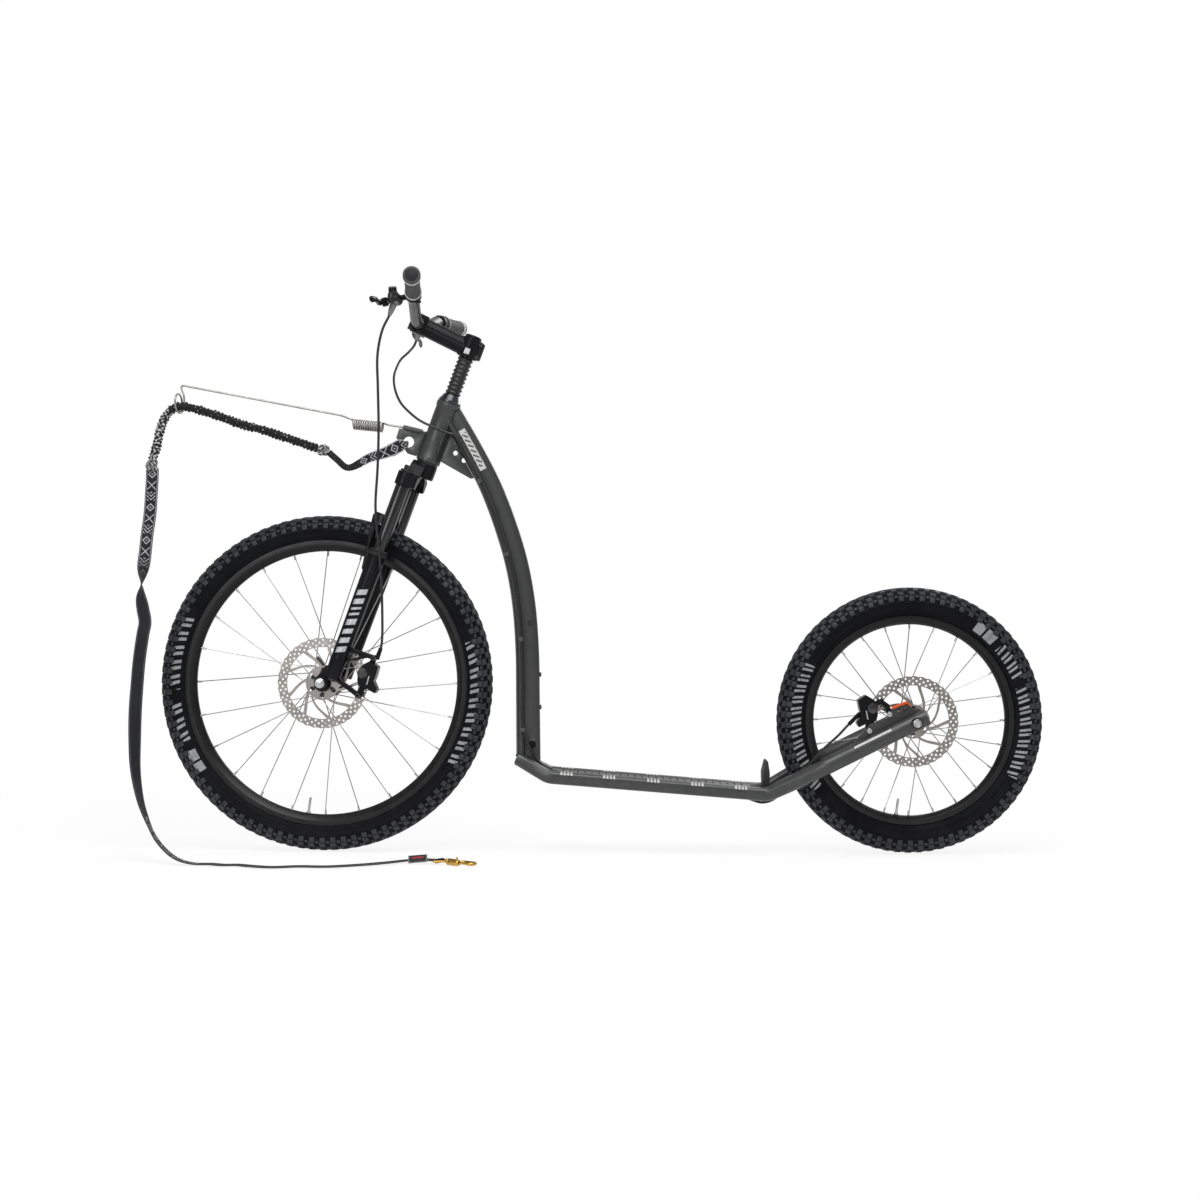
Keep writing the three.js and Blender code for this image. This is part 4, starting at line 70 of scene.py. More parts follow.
SIDES = ((-1, "left"), (1, "right"))
REAR_AXLE_X, REAR_AXLE_Z = 617, 265
FRONT_AXLE_X = -37
LEG_X, LEG_Y = -19, 62
BAR_X, BAR_Z, STEM_Z = -111, 737, 725
BAR_BEND, BAR_END = (BAR_X, 140, 767), (-92, 317, 788)
DECK_Y, STAY_Y, STAY_END_X = 50, 88, 639


def turn(degrees, axis):
    return Matrix.Rotation(math.radians(degrees), 4, axis)


def shift(x, y, z):
    return Matrix.Translation((x, y, z))


GROUND = Matrix.Identity(4)
HEAD = shift(-513.316, 0, 321.472) @ turn(20, "Y")
STEER = HEAD @ turn(-4, "Z")
FRONT_WHEEL = STEER @ shift(FRONT_AXLE_X, 0, 0) @ turn(-19.957, "Y")
REAR_WHEEL = shift(REAR_AXLE_X, 0, REAR_AXLE_Z)
SNAP = shift(-303, -207, 6.8) @ turn(-40, "Z")


# ---------------------------------------------------------------- shapes in millimetres


def held(value):
    """The value, kept between nought and one."""
    return min(1, max(0, value))


def eased(share):
    """The share, with a gentle start and end."""
    return share * share * (3 - 2 * share)


def polar(radius, angle, height):
    """A place round the Y axis."""
    return radius * math.sin(angle), height, radius * math.cos(angle)


def on_circle(radius, angle):
    return radius * math.cos(angle), radius * math.sin(angle)


class Shape:
    """Corners and faces, with a finish number for each face and an optional UV for each corner."""

    def __init__(self):
        self.corners, self.faces, self.finishes, self.uvs = [], [], [], []

    def add(self, corners, faces, finish=0, uvs=None, place=None):
        start = len(self.corners)
        self.corners += [place @ Vector(c) if place else Vector(c) for c in corners]
        self.faces += [tuple(i + start for i in face) for face in faces]
        self.finishes += [finish] * len(faces)
        self.uvs += list(uvs) if uvs else [(0.0, 0.0)] * len(corners)
        return self

    def join(self, other, place=None, finish=None):
        start = len(self.corners)
        self.corners += [place @ c if place else c.copy() for c in other.corners]
        self.faces += [tuple(i + start for i in face) for face in other.faces]
        self.finishes += [finish if finish is not None else f for f in other.finishes]
        self.uvs += other.uvs
        return self


def grid(rows, columns, wrap_rows=False, wrap_columns=True):
    """The quads of a net of corners that is laid out row by row."""
    quads = []
    for i in range(rows if wrap_rows else rows - 1):
        for j in range(columns if wrap_columns else columns - 1):
            a, b = i * columns + j, i * columns + (j + 1) % columns
            c, d = ((i + 1) % rows) * columns + (j + 1) % columns, ((i + 1) % rows) * columns + j
            quads.append((a, b, c, d))
    return quads


def lathe(profile, sides, axis="Y", closed=False, place=None):
    """A turned solid from pairs of radius and height. A closed profile makes a ring."""
    corners, uvs = [], []
    for k, (radius, height) in enumerate(profile):
        for j in range(sides):
            angle = 2 * math.pi * j / sides
            x, z = radius * math.sin(angle), radius * math.cos(angle)
            corners.append((x, height, z) if axis == "Y" else (x, -z, height))
            uvs.append((j / sides, k / max(1, len(profile) - 1)))
    return Shape().add(corners, grid(len(profile), sides, wrap_rows=closed), uvs=uvs, place=place)


def aim(start, end):
    """The matrix that carries the Y axis onto the line from start to end."""
    start, end = Vector(start), Vector(end)
    way = (end - start).normalized()
    return Matrix.Translation(start) @ way.to_track_quat("Y", "Z").to_matrix().to_4x4()


def rod(start, end, radius, sides=24, end_radius=None, round_off=0.0):
    end_radius = radius if end_radius is None else end_radius
    length = (Vector(end) - Vector(start)).length
    soft = min(round_off, length / 2, radius / 2)
    if soft:
        profile = [(0, 0), (radius - soft, 0), (radius - 0.3 * soft, 0.3 * soft), (radius, soft),
                   (end_radius, length - soft), (end_radius - 0.3 * soft, length - 0.3 * soft),
                   (end_radius - soft, length), (0, length)]
    else:
        profile = [(0, 0), (radius, 0), (end_radius, length), (0, length)]
    return lathe(profile, sides, place=aim(start, end))


def block(low, high, finish=0, place=None):
    (a, b, c), (d, e, f) = low, high
    corners = [(a, b, c), (d, b, c), (d, e, c), (a, e, c), (a, b, f), (d, b, f), (d, e, f),
               (a, e, f)]
    faces = [(0, 3, 2, 1), (4, 5, 6, 7), (0, 1, 5, 4), (1, 2, 6, 5), (2, 3, 7, 6), (3, 0, 4, 7)]
    return Shape().add(corners, faces, finish, place=place)


def hexagon_bolt(start, end, radius, socket, finish=0):
    """A round bolt head with a hexagon socket sunk in its outer face."""
    length = (Vector(end) - Vector(start)).length
    edge, sides = min(0.5, radius * 0.15), 24
    round_rings = [(0, 0), (radius, 0), (radius, length - edge), (radius - edge, length)]
    socket_rings = [(socket, length), (socket, length - 0.6 * length), (0, length - 0.7 * length)]
    corners = []
    for k, (reach, height) in enumerate(round_rings + socket_rings):
        for j in range(sides):
            angle = 2 * math.pi * j / sides
            flat = math.cos(math.pi / 6) / math.cos((angle % (math.pi / 3)) - math.pi / 6)
            corners.append(polar(reach * flat if k >= len(round_rings) else reach, angle, height))
    faces = grid(len(round_rings + socket_rings), sides)
    return Shape().add(corners, faces, finish, place=aim(start, end))


def curve_through(points, count):
    """Evenly spaced points on one smooth curve through the given ones."""
    given = [Vector(p) for p in points]
    knots = [given[0] * 2 - given[1], *given, given[-1] * 2 - given[-2]]
    dense = []
    for i in range(len(given) - 1):
        a, b, c, d = knots[i:i + 4]
        p, q, r = [max(math.sqrt((v - u).length), 1e-4) for u, v in ((a, b), (b, c), (c, d))]
        m = ((b - a) / p - (c - a) / (p + q) + (c - b) / q) * q
        n = ((c - b) / q - (d - b) / (q + r) + (d - c) / r) * q
        for k in range(CURVE_STEPS):
            t = k / CURVE_STEPS
            dense.append(b + m * t + (c * 3 - b * 3 - m * 2 - n) * t ** 2
                         + (b * 2 - c * 2 + m + n) * t ** 3)
    dense.append(given[-1])
    return evenly(dense, count)


def evenly(line, count):
    """The same line with its points evenly spaced."""
    reach = [0.0]
    for a, b in zip(line, line[1:]):
        reach.append(reach[-1] + (b - a).length)
    spaced, at = [], 0
    for k in range(count + 1):
        want = reach[-1] * k / count
        while at < len(line) - 2 and reach[at + 1] < want:
            at += 1
        span = max(reach[at + 1] - reach[at], 1e-9)
        spaced.append(line[at].lerp(line[at + 1], held((want - reach[at]) / span)))
    return spaced


def bent_line(corners, radii, steps=10):
    """Straight runs joined by round bends, one radius for each inner corner."""
    corners = [Vector(c) for c in corners]
    line = [corners[0]]
    for before, corner, after, radius in zip(corners, corners[1:], corners[2:], radii):
        u, v = (before - corner).normalized(), (after - corner).normalized()
        half = u.angle(v) / 2
        reach = min(radius / math.tan(half), (before - corner).length * 0.49,
                    (after - corner).length * 0.49)
        start, end = corner + u * reach, corner + v * reach
        for k in range(steps + 1):
            t = k / steps
            line.append(start.lerp(corner, t).lerp(corner.lerp(end, t), t))
    line.append(corners[-1])
    return line


def frames_on(line, up=None):
    """For each point the tangent, the side and the top of a section that doesn't twist."""
    count = len(line)
    tangents = []
    for i in range(count):
        way = line[min(i + 1, count - 1)] - line[max(i - 1, 0)]
        tangents.append(way.normalized())
    made = []
    top = None
    for i, tangent in enumerate(tangents):
        if up is not None:
            guide = Vector(up(i) if callable(up) else up)
        else:
            guide = top if top is not None else (Vector((0, 0, 1)) if abs(tangent.z) < 0.9
                                                 else Vector((1, 0, 0)))
        top = (guide - tangent * guide.dot(tangent)).normalized()
        made.append((tangent, tangent.cross(top).normalized(), top))
    return made


def sweep(line, section, up=None):
    """Carries a closed section of side and top pairs along a line. It may change with the index."""
    rings, uvs, reach = [], [], 0.0
    for i, (centre, (_, side, top)) in enumerate(zip(line, frames_on(line, up))):
        outline = section(i) if callable(section) else section
        reach += (centre - line[i - 1]).length if i else 0.0
        for k, (a, b) in enumerate(outline):
            rings.append(centre + side * a + top * b)
            uvs.append((reach, k / len(outline)))
    columns = len(rings) // len(line)
    ends = [tuple(reversed(range(columns))), tuple(range(len(rings) - columns, len(rings)))]
    return Shape().add(rings, grid(len(line), columns) + ends, uvs=uvs)


def round_section(radius, sides=16):
    return [on_circle(radius, 2 * math.pi * k / sides) for k in range(sides)]


def tube(line, radius, sides=16):
    """A round tube; the radius may change with the index."""
    if callable(radius):
        return sweep(line, lambda i: round_section(radius(i), sides))
    return sweep(line, round_section(radius, sides))


def oval(half_width, half_height, power=2.0, sides=32):
    """A rounded rectangle or ellipse as pairs, squarer as the power grows."""
    pairs = []
    for k in range(sides):
        c, s = math.cos(2 * math.pi * k / sides), math.sin(2 * math.pi * k / sides)
        pairs.append((half_width * math.copysign(abs(c) ** (2 / power), c),
                      half_height * math.copysign(abs(s) ** (2 / power), s)))
    return pairs


# ---------------------------------------------------------------- pieces


def mesh_of(name, shape, space=GROUND, materials=(), crease=35.0, bevel=0.0, merge=True):
    """A finished mesh in metres: doubles merged, faces outwards, edges softened."""
    mesh = bpy.data.meshes.new(name)
    mesh.from_pydata([space @ c for c in shape.corners], [], shape.faces)
    layer = mesh.uv_layers.new(name="Lie")
    for loop in mesh.loops:
        layer.data[loop.index].uv = shape.uvs[loop.vertex_index]
    for polygon, number in zip(mesh.polygons, shape.finishes):
        polygon.material_index = number
    edit = bmesh.new()
    edit.from_mesh(mesh)
    if merge:
        bmesh.ops.remove_doubles(edit, verts=edit.verts, dist=SAME_PLACE)
        bmesh.ops.dissolve_degenerate(edit, edges=edit.edges, dist=0.0005)
        bmesh.ops.recalc_face_normals(edit, faces=edit.faces)
    soften(edit, bevel, BEVEL_TURN, 2)
    bmesh.ops.scale(edit, vec=(MM, MM, MM), verts=edit.verts)
    edit.to_mesh(mesh)
    edit.free()
    for material in materials:
        mesh.materials.append(material)
    shade(mesh, crease)
    return mesh


def soften(edit, width, angle, steps):
    """Rounds the edges that turn by more than the angle."""
    if width <= 0:
        return
    limit = math.radians(angle)
    sharp = [e for e in edit.edges if len(e.link_faces) == 2 and e.calc_face_angle(0) > limit]
    if sharp:
        bmesh.ops.bevel(edit, geom=sharp, offset=width, offset_type="OFFSET", segments=steps,
                        profile=0.6, affect="EDGES", clamp_overlap=True, harden_normals=False)


def shade(mesh, crease):
    mesh.polygons.foreach_set("use_smooth", [True] * len(mesh.polygons))
    mesh.set_sharp_from_angle(angle=math.radians(crease))
    mesh.update()


def in_scene(name, data):
    """A new object of the scene."""
    thing = bpy.data.objects.new(name, data)
    bpy.context.scene.collection.objects.link(thing)
    return thing


def put(name, mesh, body, replaces=()):
    """Puts a finished mesh in the scene on its body, in place of the nodes it stands for."""
    piece = in_scene(name, mesh)
    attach(piece, body)
    if replaces:
        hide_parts(*replaces)
    return piece


def make(name, shape, space, body, slot, materials, replaces=(), **how):
    return put(name, mesh_of(name, shape, space, materials, **how), body, replaces)


def cad_edit(node):
    """A working copy of a CAD node in millimetres, with its loose triangles merged."""
    edit = bmesh.new()
    edit.from_mesh(frame["nodes"][node].data)
    bmesh.ops.scale(edit, vec=(1 / MM, 1 / MM, 1 / MM), verts=edit.verts)
    bmesh.ops.remove_doubles(edit, verts=edit.verts, dist=SAME_PLACE)
    return edit


def rounded(name, node, material, bevel, angle, steps, crease, plain_faces=True):
    """The CAD node's own shape as a mesh in metres, with rounded edges and smooth shading."""
    edit = cad_edit(node)
    if plain_faces:
        bmesh.ops.dissolve_limit(edit, angle_limit=SAME_FACE, verts=edit.verts, edges=edit.edges)
    soften(edit, bevel, angle, steps)
    bmesh.ops.scale(edit, vec=(MM, MM, MM), verts=edit.verts)
    mesh = bpy.data.meshes.new(name)
    edit.to_mesh(mesh)
    edit.free()
    mesh.materials.append(material)
    shade(mesh, crease)
    return mesh


def dressed(node, material, bevel):
    """Puts the CAD node's own rounded shape in its place."""
    name = node + "_finished"
    put(name, rounded(name, node, material, bevel, 30.0, 2, 32.0), NODE_BODY[node],
        [node])


def cast(name, node, extra, space, voxel, rounds, trims, shaped=None):
    """A cast body: the CAD shape and some round forms run together, with soft inner corners."""
    edit = cad_edit(node)
    if shaped:
        for vertex in edit.verts:
            vertex.co = space @ shaped(space.inverted() @ vertex.co)
    edit.from_mesh(rough_mesh(node + "_forms", extra, space))
    bmesh.ops.scale(edit, vec=(MM, MM, MM), verts=edit.verts)
    rough = bpy.data.meshes.new(node + "_rough")
    edit.to_mesh(rough)
    edit.free()
    worker = in_scene(node + "_worker", rough)
    remesh = worker.modifiers.new("Run together", "REMESH")
    remesh.mode, remesh.voxel_size, remesh.adaptivity = "VOXEL", voxel * MM, 0.0
    smooth = worker.modifiers.new("Soften", "SMOOTH")
    smooth.factor, smooth.iterations = 0.5, rounds
    mesh = evaluated_mesh(worker)
    bpy.data.objects.remove(worker)
    mesh.materials.clear()
    mesh.materials.append(cast_black())
    shade(mesh, 180)
    put(name, merged(name, mesh, *trims), NODE_BODY[node], [node])


def carve(mesh, *cutters):
    """The mesh with other closed meshes cut out of it."""
    worker = in_scene("worker", mesh)
    tools = [in_scene("cutter", cutter) for cutter in cutters]
    for tool in tools:
        cut = worker.modifiers.new("Cut", "BOOLEAN")
        cut.operation, cut.solver, cut.object = "DIFFERENCE", "EXACT", tool
    result = evaluated_mesh(worker)
    for thing in [worker, *tools]:
        bpy.data.objects.remove(thing)
    return result


def evaluated_mesh(worker):
    bpy.context.view_layer.update()
    graph = bpy.context.evaluated_depsgraph_get()
    return bpy.data.meshes.new_from_object(worker.evaluated_get(graph), depsgraph=graph)


# ---------------------------------------------------------------- finishes


def new_group(name, kind, inputs, outputs):
    """A node group with named sockets; returns it with its input and output nodes."""
    group = bpy.data.node_groups.new(name, kind)
    for label, form, default in inputs:
        socket = group.interface.new_socket(name=label, in_out="INPUT",
                                            socket_type="NodeSocket" + form)
        if default is not None:
            socket.default_value = default
    for label, form in outputs:
        group.interface.new_socket(name=label, in_out="OUTPUT", socket_type="NodeSocket" + form)
    return group, group.nodes.new("NodeGroupInput"), group.nodes.new("NodeGroupOutput")


def shader_group(name, inputs, outputs):
    return new_group(name, "ShaderNodeTree", inputs, outputs)


def give(tree, socket, value):
    """Links the socket to the value where that is a socket too, or else stores the value in it."""
    if isinstance(value, bpy.types.NodeSocket):
        tree.links.new(value, socket)
    else:
        socket.default_value = value


def math_node(tree, operation, *values, clamp=False):
    node = tree.nodes.new("ShaderNodeMath")
    node.operation, node.use_clamp = operation, clamp
    feed(tree, node.inputs, values)
    return node.outputs[0]


def feed(tree, sockets, values):
    for socket, value in zip(sockets, values):
        give(tree, socket, value)


def mixed(tree, share, first, second):
    """A colour between two, by a share."""
    node = tree.nodes.new("ShaderNodeMix")
    node.data_type = "RGBA"
    for socket, value in ((node.inputs["Factor"], share), (node.inputs[6], first),
                          (node.inputs[7], second)):
        give(tree, socket, (*value, 1) if isinstance(value, tuple) else value)
    return node.outputs[2]


def noise_on_object(tree, scale, detail=3.0):
    where = tree.nodes.new("ShaderNodeTexCoord")
    noise = tree.nodes.new("ShaderNodeTexNoise")
    tree.links.new(where.outputs["Object"], noise.inputs["Vector"])
    feed(tree, [noise.inputs["Scale"], noise.inputs["Detail"]], [scale, detail])
    return noise.outputs[0]


def between(tree, value, low, high, to_low=0.0, to_high=1.0):
    node = tree.nodes.new("ShaderNodeMapRange")
    feed(tree, node.inputs, [value, low, high, to_low, to_high])
    return node.outputs[0]


def grain_group():
    """Fine bumps of paint, cast skin or moulded rubber."""
    group, into, out = shader_group("Fine Grain", [
        ("Scale", "Float", 900), ("Strength", "Float", 0.2), ("Depth", "Float", 0.0002)],
        [("Normal", "Vector")])
    bump = group.nodes.new("ShaderNodeBump")
    feed(group, [bump.inputs["Strength"], bump.inputs["Distance"], bump.inputs["Height"]],
         [into.outputs["Strength"], into.outputs["Depth"],
          noise_on_object(group, into.outputs["Scale"])])
    group.links.new(bump.outputs[0], out.inputs[0])
    return group


def handling_group():
    """Patches that shine more or less, from hands and wiping."""
    group, into, out = shader_group("Handling Marks", [
        ("Scale", "Float", 30), ("Smoothest", "Float", 0.3), ("Roughest", "Float", 0.45)],
        [("Roughness", "Float")])
    patches = noise_on_object(group, into.outputs["Scale"], 5.0)
    group.links.new(between(group, patches, 0.3, 0.7, into.outputs["Smoothest"],
                            into.outputs["Roughest"]), out.inputs[0])
    return group


def dust_group():
    """A mask of road dust that is thickest near the ground."""
    group, into, out = shader_group("Road Dust", [
        ("Amount", "Float", 0.1), ("Reach", "Float", 0.4), ("Scale", "Float", 60)],
        [("Mask", "Float")])
    where = group.nodes.new("ShaderNodeTexCoord")
    parts = group.nodes.new("ShaderNodeSeparateXYZ")
    group.links.new(where.outputs["Object"], parts.inputs[0])
    low = between(group, parts.outputs[2], into.outputs["Reach"], 0.0)
    spots = between(group, noise_on_object(group, into.outputs["Scale"], 6.0), 0.42, 0.75)
    dusty = math_node(group, "MULTIPLY", low, spots)
    mask = math_node(group, "MULTIPLY", dusty, into.outputs["Amount"], clamp=True)
    group.links.new(mask, out.inputs[0])
    return group


def edge_group():
    """A mask of the raised edges, where a finish rubs thin."""
    group, into, out = shader_group("Edge Wear", [
        ("Amount", "Float", 0.3), ("Start", "Float", 0.53)], [("Mask", "Float")])
    shape = group.nodes.new("ShaderNodeNewGeometry")
    raised = between(group, shape.outputs["Pointiness"], into.outputs["Start"], 0.62)
    broken = between(group, noise_on_object(group, 140.0, 4.0), 0.35, 0.65)
    mask = math_node(group, "MULTIPLY", math_node(group, "MULTIPLY", raised, broken),
                     into.outputs["Amount"], clamp=True)
    group.links.new(mask, out.inputs[0])
    return group


def lie_parts(tree):
    """The two parts of the piece's own UV."""
    lie = tree.nodes.new("ShaderNodeUVMap")
    lie.uv_map = "Lie"
    parts = tree.nodes.new("ShaderNodeSeparateXYZ")
    tree.links.new(lie.outputs[0], parts.inputs[0])
    return parts.outputs[0], parts.outputs[1]


def braid_group():
    """Crossed yarns round a cord or along a band, read from the piece's own lengthwise UV."""
    group, into, out = shader_group("Woven Yarn", [
        ("Along", "Float", 1.0), ("Across", "Float", 12.0), ("Depth", "Float", 0.0004)],
        [("Normal", "Vector"), ("Yarn", "Float")])
    lengthwise, sideways = lie_parts(group)
    along = math_node(group, "MULTIPLY", lengthwise, into.outputs["Along"])
    across = math_node(group, "MULTIPLY", sideways, into.outputs["Across"])
    yarns = []
    for way in ("ADD", "SUBTRACT"):
        slant = math_node(group, way, along, across)
        yarns.append(math_node(group, "PINGPONG", slant, 0.5))
    height = math_node(group, "ADD", *yarns)
    bump = group.nodes.new("ShaderNodeBump")
    feed(group, [bump.inputs["Strength"], bump.inputs["Distance"], bump.inputs["Height"]],
         [0.7, into.outputs["Depth"], height])
    group.links.new(bump.outputs[0], out.inputs[0])
    group.links.new(height, out.inputs[1])
    return group


GROUPS = {}
MADE = {}


def group_node(tree, name, **values):
    makers = {"Fine Grain": grain_group, "Handling Marks": handling_group, "Road Dust": dust_group,
              "Edge Wear": edge_group, "Woven Yarn": braid_group}
    if name not in GROUPS:
        GROUPS[name] = makers[name]()
    node = tree.nodes.new("ShaderNodeGroup")
    node.node_tree = GROUPS[name]
    for label, value in values.items():
        node.inputs[label].default_value = value
    return node


def finish(name, colour, second, rough, metal=0.0, grain=(900, 0.15, 0.0002), drift=18.0, worn=None,
           dust=0.0, coat=0.0, sheen=0.0, specular=0.5, weave=None, ink=None):
    """A material: a drifting base colour, worn edges, dust, handled gloss and a fine surface."""
    if name in MADE:
        return MADE[name]
    material = bpy.data.materials.new(name)
    material.use_nodes = True
    tree = material.node_tree
    shader = tree.nodes["Principled BSDF"]
    drifted = mixed(tree, between(tree, noise_on_object(tree, drift, 4.0), 0.35, 0.65), colour,
                    second)
    if ink:
        drifted = ink(tree, drifted)
    if worn:
        drifted = mixed(tree, group_node(tree, "Edge Wear", Amount=worn[1]).outputs[0], drifted,
                        worn[0])
    if dust:
        drifted = mixed(tree, group_node(tree, "Road Dust", Amount=dust).outputs[0], drifted,
                        (0.21, 0.19, 0.16))
    tree.links.new(drifted, shader.inputs["Base Color"])
    marks = group_node(tree, "Handling Marks", Smoothest=rough[0], Roughest=rough[1])
    tree.links.new(marks.outputs[0], shader.inputs["Roughness"])
    if weave:
        surface = group_node(tree, "Woven Yarn", Along=weave[0], Across=weave[1], Depth=weave[2])
    else:
        surface = group_node(tree, "Fine Grain", Scale=grain[0], Strength=grain[1], Depth=grain[2])
    tree.links.new(surface.outputs[0], shader.inputs["Normal"])
    shader.inputs["Metallic"].default_value = metal
    shader.inputs["Coat Weight"].default_value = coat
    shader.inputs["Coat Roughness"].default_value = 0.15
    shader.inputs["Sheen Weight"].default_value = sheen
    shader.inputs["Specular IOR Level"].default_value = specular
    MADE[name] = material
    return material


def frame_paint(name="Satin frame paint", share=1.0):
    """The frame's satin paint, or a darker share of its colour that is painted shade, with bare metal
    thinly on its edges.
    """
    colour = tuple(c * share for c in bpy.context.scene.kick_bike.frame.colour)
    return finish(name, colour, tuple(c * 0.86 for c in colour), (0.34, 0.46), metal=0.35,
                  grain=(2600, 0.12, 0.00008), worn=((0.16, 0.16, 0.16), 0.35), dust=0.12,
                  coat=0.25)


def black_metal():
    return finish("Black anodised metal", (0.008, 0.008, 0.009), (0.012, 0.012, 0.0135),
                  (0.26, 0.4), metal=0.4, grain=(2200, 0.12, 0.00008), worn=((0.2, 0.2, 0.2), 0.3),
                  dust=0.06)


def rim_black():
    return finish("Rim coating", (0.0045, 0.0045, 0.0052), (0.0065, 0.0065, 0.0075), (0.3, 0.42),
                  metal=0.2, grain=(2200, 0.12, 0.00008), worn=((0.1, 0.1, 0.1), 0.2), dust=0.05,
                  specular=0.35)


def cast_black():
    return finish("Black cast metal", (0.0052, 0.0052, 0.0062), (0.008, 0.008, 0.0095), (0.2, 0.34),
                  metal=0.1, grain=(1500, 0.18, 0.00012), worn=((0.1, 0.1, 0.1), 0.2), dust=0.02,
                  coat=0.03, specular=0.1)


def bright_metal():
    return finish("Bright steel", (0.56, 0.56, 0.57), (0.44, 0.44, 0.45), (0.2, 0.36), metal=1.0,
                  grain=(3000, 0.1, 0.00005))


def rotor_steel():
    return finish("Ground rotor steel", (0.34, 0.32, 0.30), (0.25, 0.235, 0.22), (0.24, 0.38),
                  metal=1.0, grain=(3500, 0.2, 0.00006), drift=60)


def dark_tube():
    return finish("Dark hard coated tube", (0.020, 0.020, 0.022), (0.028, 0.028, 0.03), (0.1, 0.2),
                  metal=0.8, grain=(2600, 0.05, 0.00004), coat=0.4)


def rubber():
    return finish("Moulded black rubber", (0.011, 0.011, 0.011), (0.018, 0.018, 0.018), (0.5, 0.68),
                  grain=(1800, 0.3, 0.00015), dust=0.08, specular=0.35)


def lining():
    return finish("Pad lining", (0.07, 0.05, 0.04), (0.035, 0.03, 0.028), (0.75, 0.9),
                  grain=(2400, 0.6, 0.0003))


def orange_metal():
    return finish("Orange anodised metal", (0.72, 0.115, 0.02), (0.62, 0.085, 0.012), (0.28, 0.4),
                  metal=0.5, grain=(2200, 0.1, 0.00006))


def red_knob():
    return finish("Red anodised knob", (0.42, 0.012, 0.012), (0.34, 0.008, 0.008), (0.26, 0.4),
                  metal=0.6, grain=(2200, 0.1, 0.00006))


def spring_wire():
    return finish("Spring steel wire", (0.36, 0.35, 0.33), (0.27, 0.26, 0.245), (0.3, 0.46),
                  metal=1.0, grain=(3200, 0.15, 0.00005), drift=70)


def brass():
    return finish("Polished brass", (0.62, 0.37, 0.085), (0.5, 0.28, 0.055), (0.18, 0.34),
                  metal=1.0, grain=(2000, 0.1, 0.00008), drift=90, worn=((0.8, 0.6, 0.25), 0.4))


def pale_print():
    """Plain pale ink, worn a little, for bars, blocks and bare labels."""
    return finish("Pale print", (0.50, 0.50, 0.49), (0.42, 0.42, 0.41), (0.4, 0.55),
                  grain=(1800, 0.1, 0.00005), drift=80)


# ---------------------------------------------------------------- geometry node trees


def new_tree(name, inputs):
    """A geometry tree; its last input, for every tree, is the material."""
    inputs = [("Geometry", "Geometry", None), *inputs, ("Material", "Material", None)]
    return new_group(name, "GeometryNodeTree", inputs, [("Geometry", "Geometry")])


def node_in(tree, kind, links=(), **settings):
    node = tree.nodes.new(kind)
    for label, value in settings.items():
        setattr(node, label, value)
    for label, value in dict(links).items():
        give(tree, node.inputs[label], value)
    return node


def end_tree(tree, into, out, instances):
    """Realizes the instances and gives them the tree's material."""
    real = node_in(tree, "GeometryNodeRealizeInstances", {"Geometry": instances})
    final = node_in(tree, "GeometryNodeSetMaterial", {"Geometry": real.outputs[0],
                                                      "Material": into.outputs["Material"]})
    tree.links.new(final.outputs[0], out.inputs[0])
    return tree


def around_axle_tree():
    """Repeats the object's own mesh round the wheel's axis."""
    tree, into, out = new_tree("Repeat Around Axle", [
        ("Count", "Int", 12), ("Step", "Float", 0.5),
        ("Start", "Float", 0.0)])
    line = node_in(tree, "GeometryNodeMeshLine", {"Count": into.outputs["Count"],
                                                  "Offset": (0, 0, 0)})
    index = tree.nodes.new("GeometryNodeInputIndex")
    angle = math_node(tree, "MULTIPLY_ADD", index.outputs[0], into.outputs["Step"],
                      into.outputs["Start"])
    spin = node_in(tree, "ShaderNodeCombineXYZ", {"Y": angle})
    copies = node_in(tree, "GeometryNodeInstanceOnPoints", {
        "Points": line.outputs[0], "Instance": into.outputs["Geometry"],
        "Rotation": spin.outputs[0]})
    return end_tree(tree, into, out, copies.outputs[0])


def along_path_tree():
    """Repeats the object's own mesh along a path, Z on the path, with small seeded changes."""
    tree, into, out = new_tree("Repeat Along Path", [
        ("Path", "Object", None), ("Count", "Int", 10), ("Turn", "Float", 0.0),
        ("Unevenness", "Float", 0.1), ("Seed", "Int", 3)])
    path = node_in(tree, "GeometryNodeObjectInfo", {"Object": into.outputs["Path"]})
    curve = node_in(tree, "GeometryNodeMeshToCurve", {"Mesh": path.outputs["Geometry"]})
    points = node_in(tree, "GeometryNodeCurveToPoints", {
        "Curve": curve.outputs[0], "Count": into.outputs["Count"]}, mode="COUNT")
    low = math_node(tree, "SUBTRACT", 1.0, into.outputs["Unevenness"])
    high = math_node(tree, "ADD", 1.0, into.outputs["Unevenness"])
    sizes = node_in(tree, "FunctionNodeRandomValue",
                    {2: low, 3: high, "Seed": into.outputs["Seed"]}, data_type="FLOAT")
    size = node_in(tree, "ShaderNodeCombineXYZ", dict.fromkeys("XYZ", sizes.outputs[1]))
    copies = node_in(tree, "GeometryNodeInstanceOnPoints", {
        "Points": points.outputs["Points"], "Instance": into.outputs["Geometry"],
        "Rotation": points.outputs["Rotation"], "Scale": size.outputs[0]})
    index = tree.nodes.new("GeometryNodeInputIndex")
    rolled = math_node(tree, "MULTIPLY", index.outputs[0], into.outputs["Turn"])
    roll = node_in(tree, "ShaderNodeCombineXYZ", {"Z": rolled})
    turned = node_in(tree, "GeometryNodeRotateInstances", {
        "Instances": copies.outputs[0], "Rotation": roll.outputs[0]})
    return end_tree(tree, into, out, turned.outputs[0])


